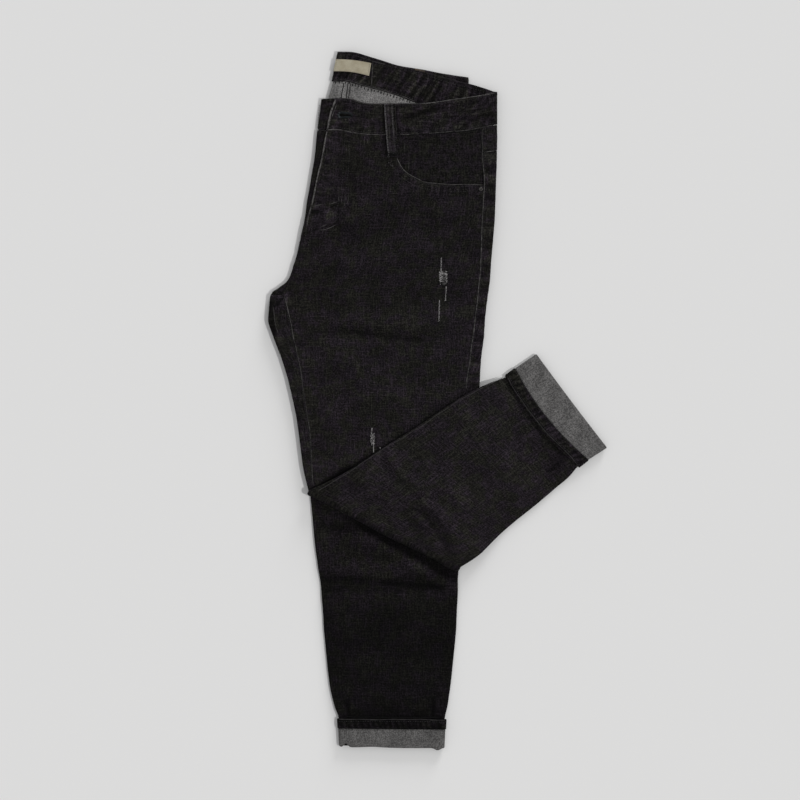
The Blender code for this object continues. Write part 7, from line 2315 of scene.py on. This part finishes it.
# ------------------------------------------------------------ sheets of cloth
# The cut of what is built, in metres, and its area where it isn't a rectangle.
Sheet = namedtuple("Sheet", "node width length area rests_on")
SHEETS = [
    Sheet("front_right", 0.285, 0.820, 0.1440, ("studio_floor",)), Sheet("back_right", 0.210, 0.840, 0.0970, ("studio_floor", "front_right")),
    Sheet("front_left", 0.285, 0.820, 0.1480, ("inner_layers", "back_right")), Sheet("back_left", 0.200, 0.840, 0.0950, ("inner_layers", "front_left")),
    Sheet("inner_layers", 0.256, 0.513, 0.1050, ("front_right",)),
    Sheet("yoke_left", 0.040, 0.034, None, ("inner_layers",)), Sheet("yoke_right", 0.040, 0.037, None, ("studio_floor",)),
    Sheet("pocket_facing_left", 0.122, 0.083, 0.0086, ("front_left",)), Sheet("pocket_facing_right", 0.126, 0.094, 0.0097, ("studio_floor",)),
    Sheet("waistband", 0.039, 0.875, None, ("studio_floor", "inner_layers")),
    Sheet("belt_loop_front_left", 0.0125, 0.072, None, ("waistband", "front_left")), Sheet("belt_loop_back_right", 0.012, 0.010, None, ("waistband",)),
    Sheet("cuff_left", 0.310, 0.037, None, ("back_left",)), Sheet("cuff_right", 0.290, 0.0265, None, ("back_right", "studio_floor")),
    Sheet("hem_left", 0.305, 0.0165, None, ("back_left",)), Sheet("hem_right", 0.295, 0.0130, None, ("back_right",)),
    Sheet("waistband_label", 0.0485, 0.0175, None, ("waistband",)),
]
CARRIED = {"front_left": [PIECES["rivet_left"]] + [ob for ob in PIECES_ADDED if ob.name.startswith(("pulled_open", "stitches_black", "worn_seam"))],
           "waistband": [PIECES["leather_patch"]] + [ob for ob in PIECES_ADDED if ob.name.startswith(("buttonhole", "bar_tacks"))],
           "waistband_label": [ob for ob in PIECES_ADDED if ob.name.startswith("label")],
           "inner_layers": [ob for ob in PIECES_ADDED if ob.name.startswith("felled")]}
for row in SHEETS:
    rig.sheet(PIECES[row.node], flat=(row.width, row.length), held="folded", area=row.area, with_pieces=CARRIED.get(row.node, []),
             rests_on=[PIECES[n].name if n in PIECES else n for n in row.rests_on])

world = bpy.data.worlds.new("studio")
bpy.context.scene.world = world
world.use_nodes = True
world.node_tree.nodes["Background"].inputs["Color"].default_value = (1.0, 1.0, 1.0, 1.0)
world.node_tree.nodes["Background"].inputs["Strength"].default_value = 0.481


def lamp(name, towards, energy, size, colour):
    """A distant soft light; `towards` points from the jeans to it."""
    sun = bpy.data.lights.new(name, "SUN")
    sun.energy, sun.angle, sun.color = energy, math.radians(size), colour
    ob = bpy.data.objects.new(name, sun)
    bpy.context.scene.collection.objects.link(ob)
    ob.rotation_euler = Vector(towards).normalized().to_track_quat("Z", "Y").to_euler()


lamp("key", (0.50, -0.16, 0.85), 1.03, 2.0, (1.0, 0.995, 0.985))
# A wide low softbox beyond the upper right corner.
lamp("low_soft", (0.34, 0.90, 0.25), 1.60, 22.0, (1.0, 1.0, 1.0))

cam = bpy.data.cameras.new("camera")
cam.sensor_width = 36.0
cam.lens = 36.0 * 5.992 / 1.04
cam.clip_start, cam.clip_end = 0.1, 50.0
cam_ob = bpy.data.objects.new("camera", cam)
bpy.context.scene.collection.objects.link(cam_ob)
cam_ob.location = (-0.0486, 0.0006, 6.0)
bpy.context.scene.camera = cam_ob
bpy.context.scene.view_settings.view_transform = "Standard"
bpy.context.scene.view_settings.look = "None"

bpy.context.view_layer.update()
with open("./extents.json", "w") as out:
    json.dump([[list(CAD_LOW), list(CAD_HIGH)], [list(v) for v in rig.bounds()]], out)
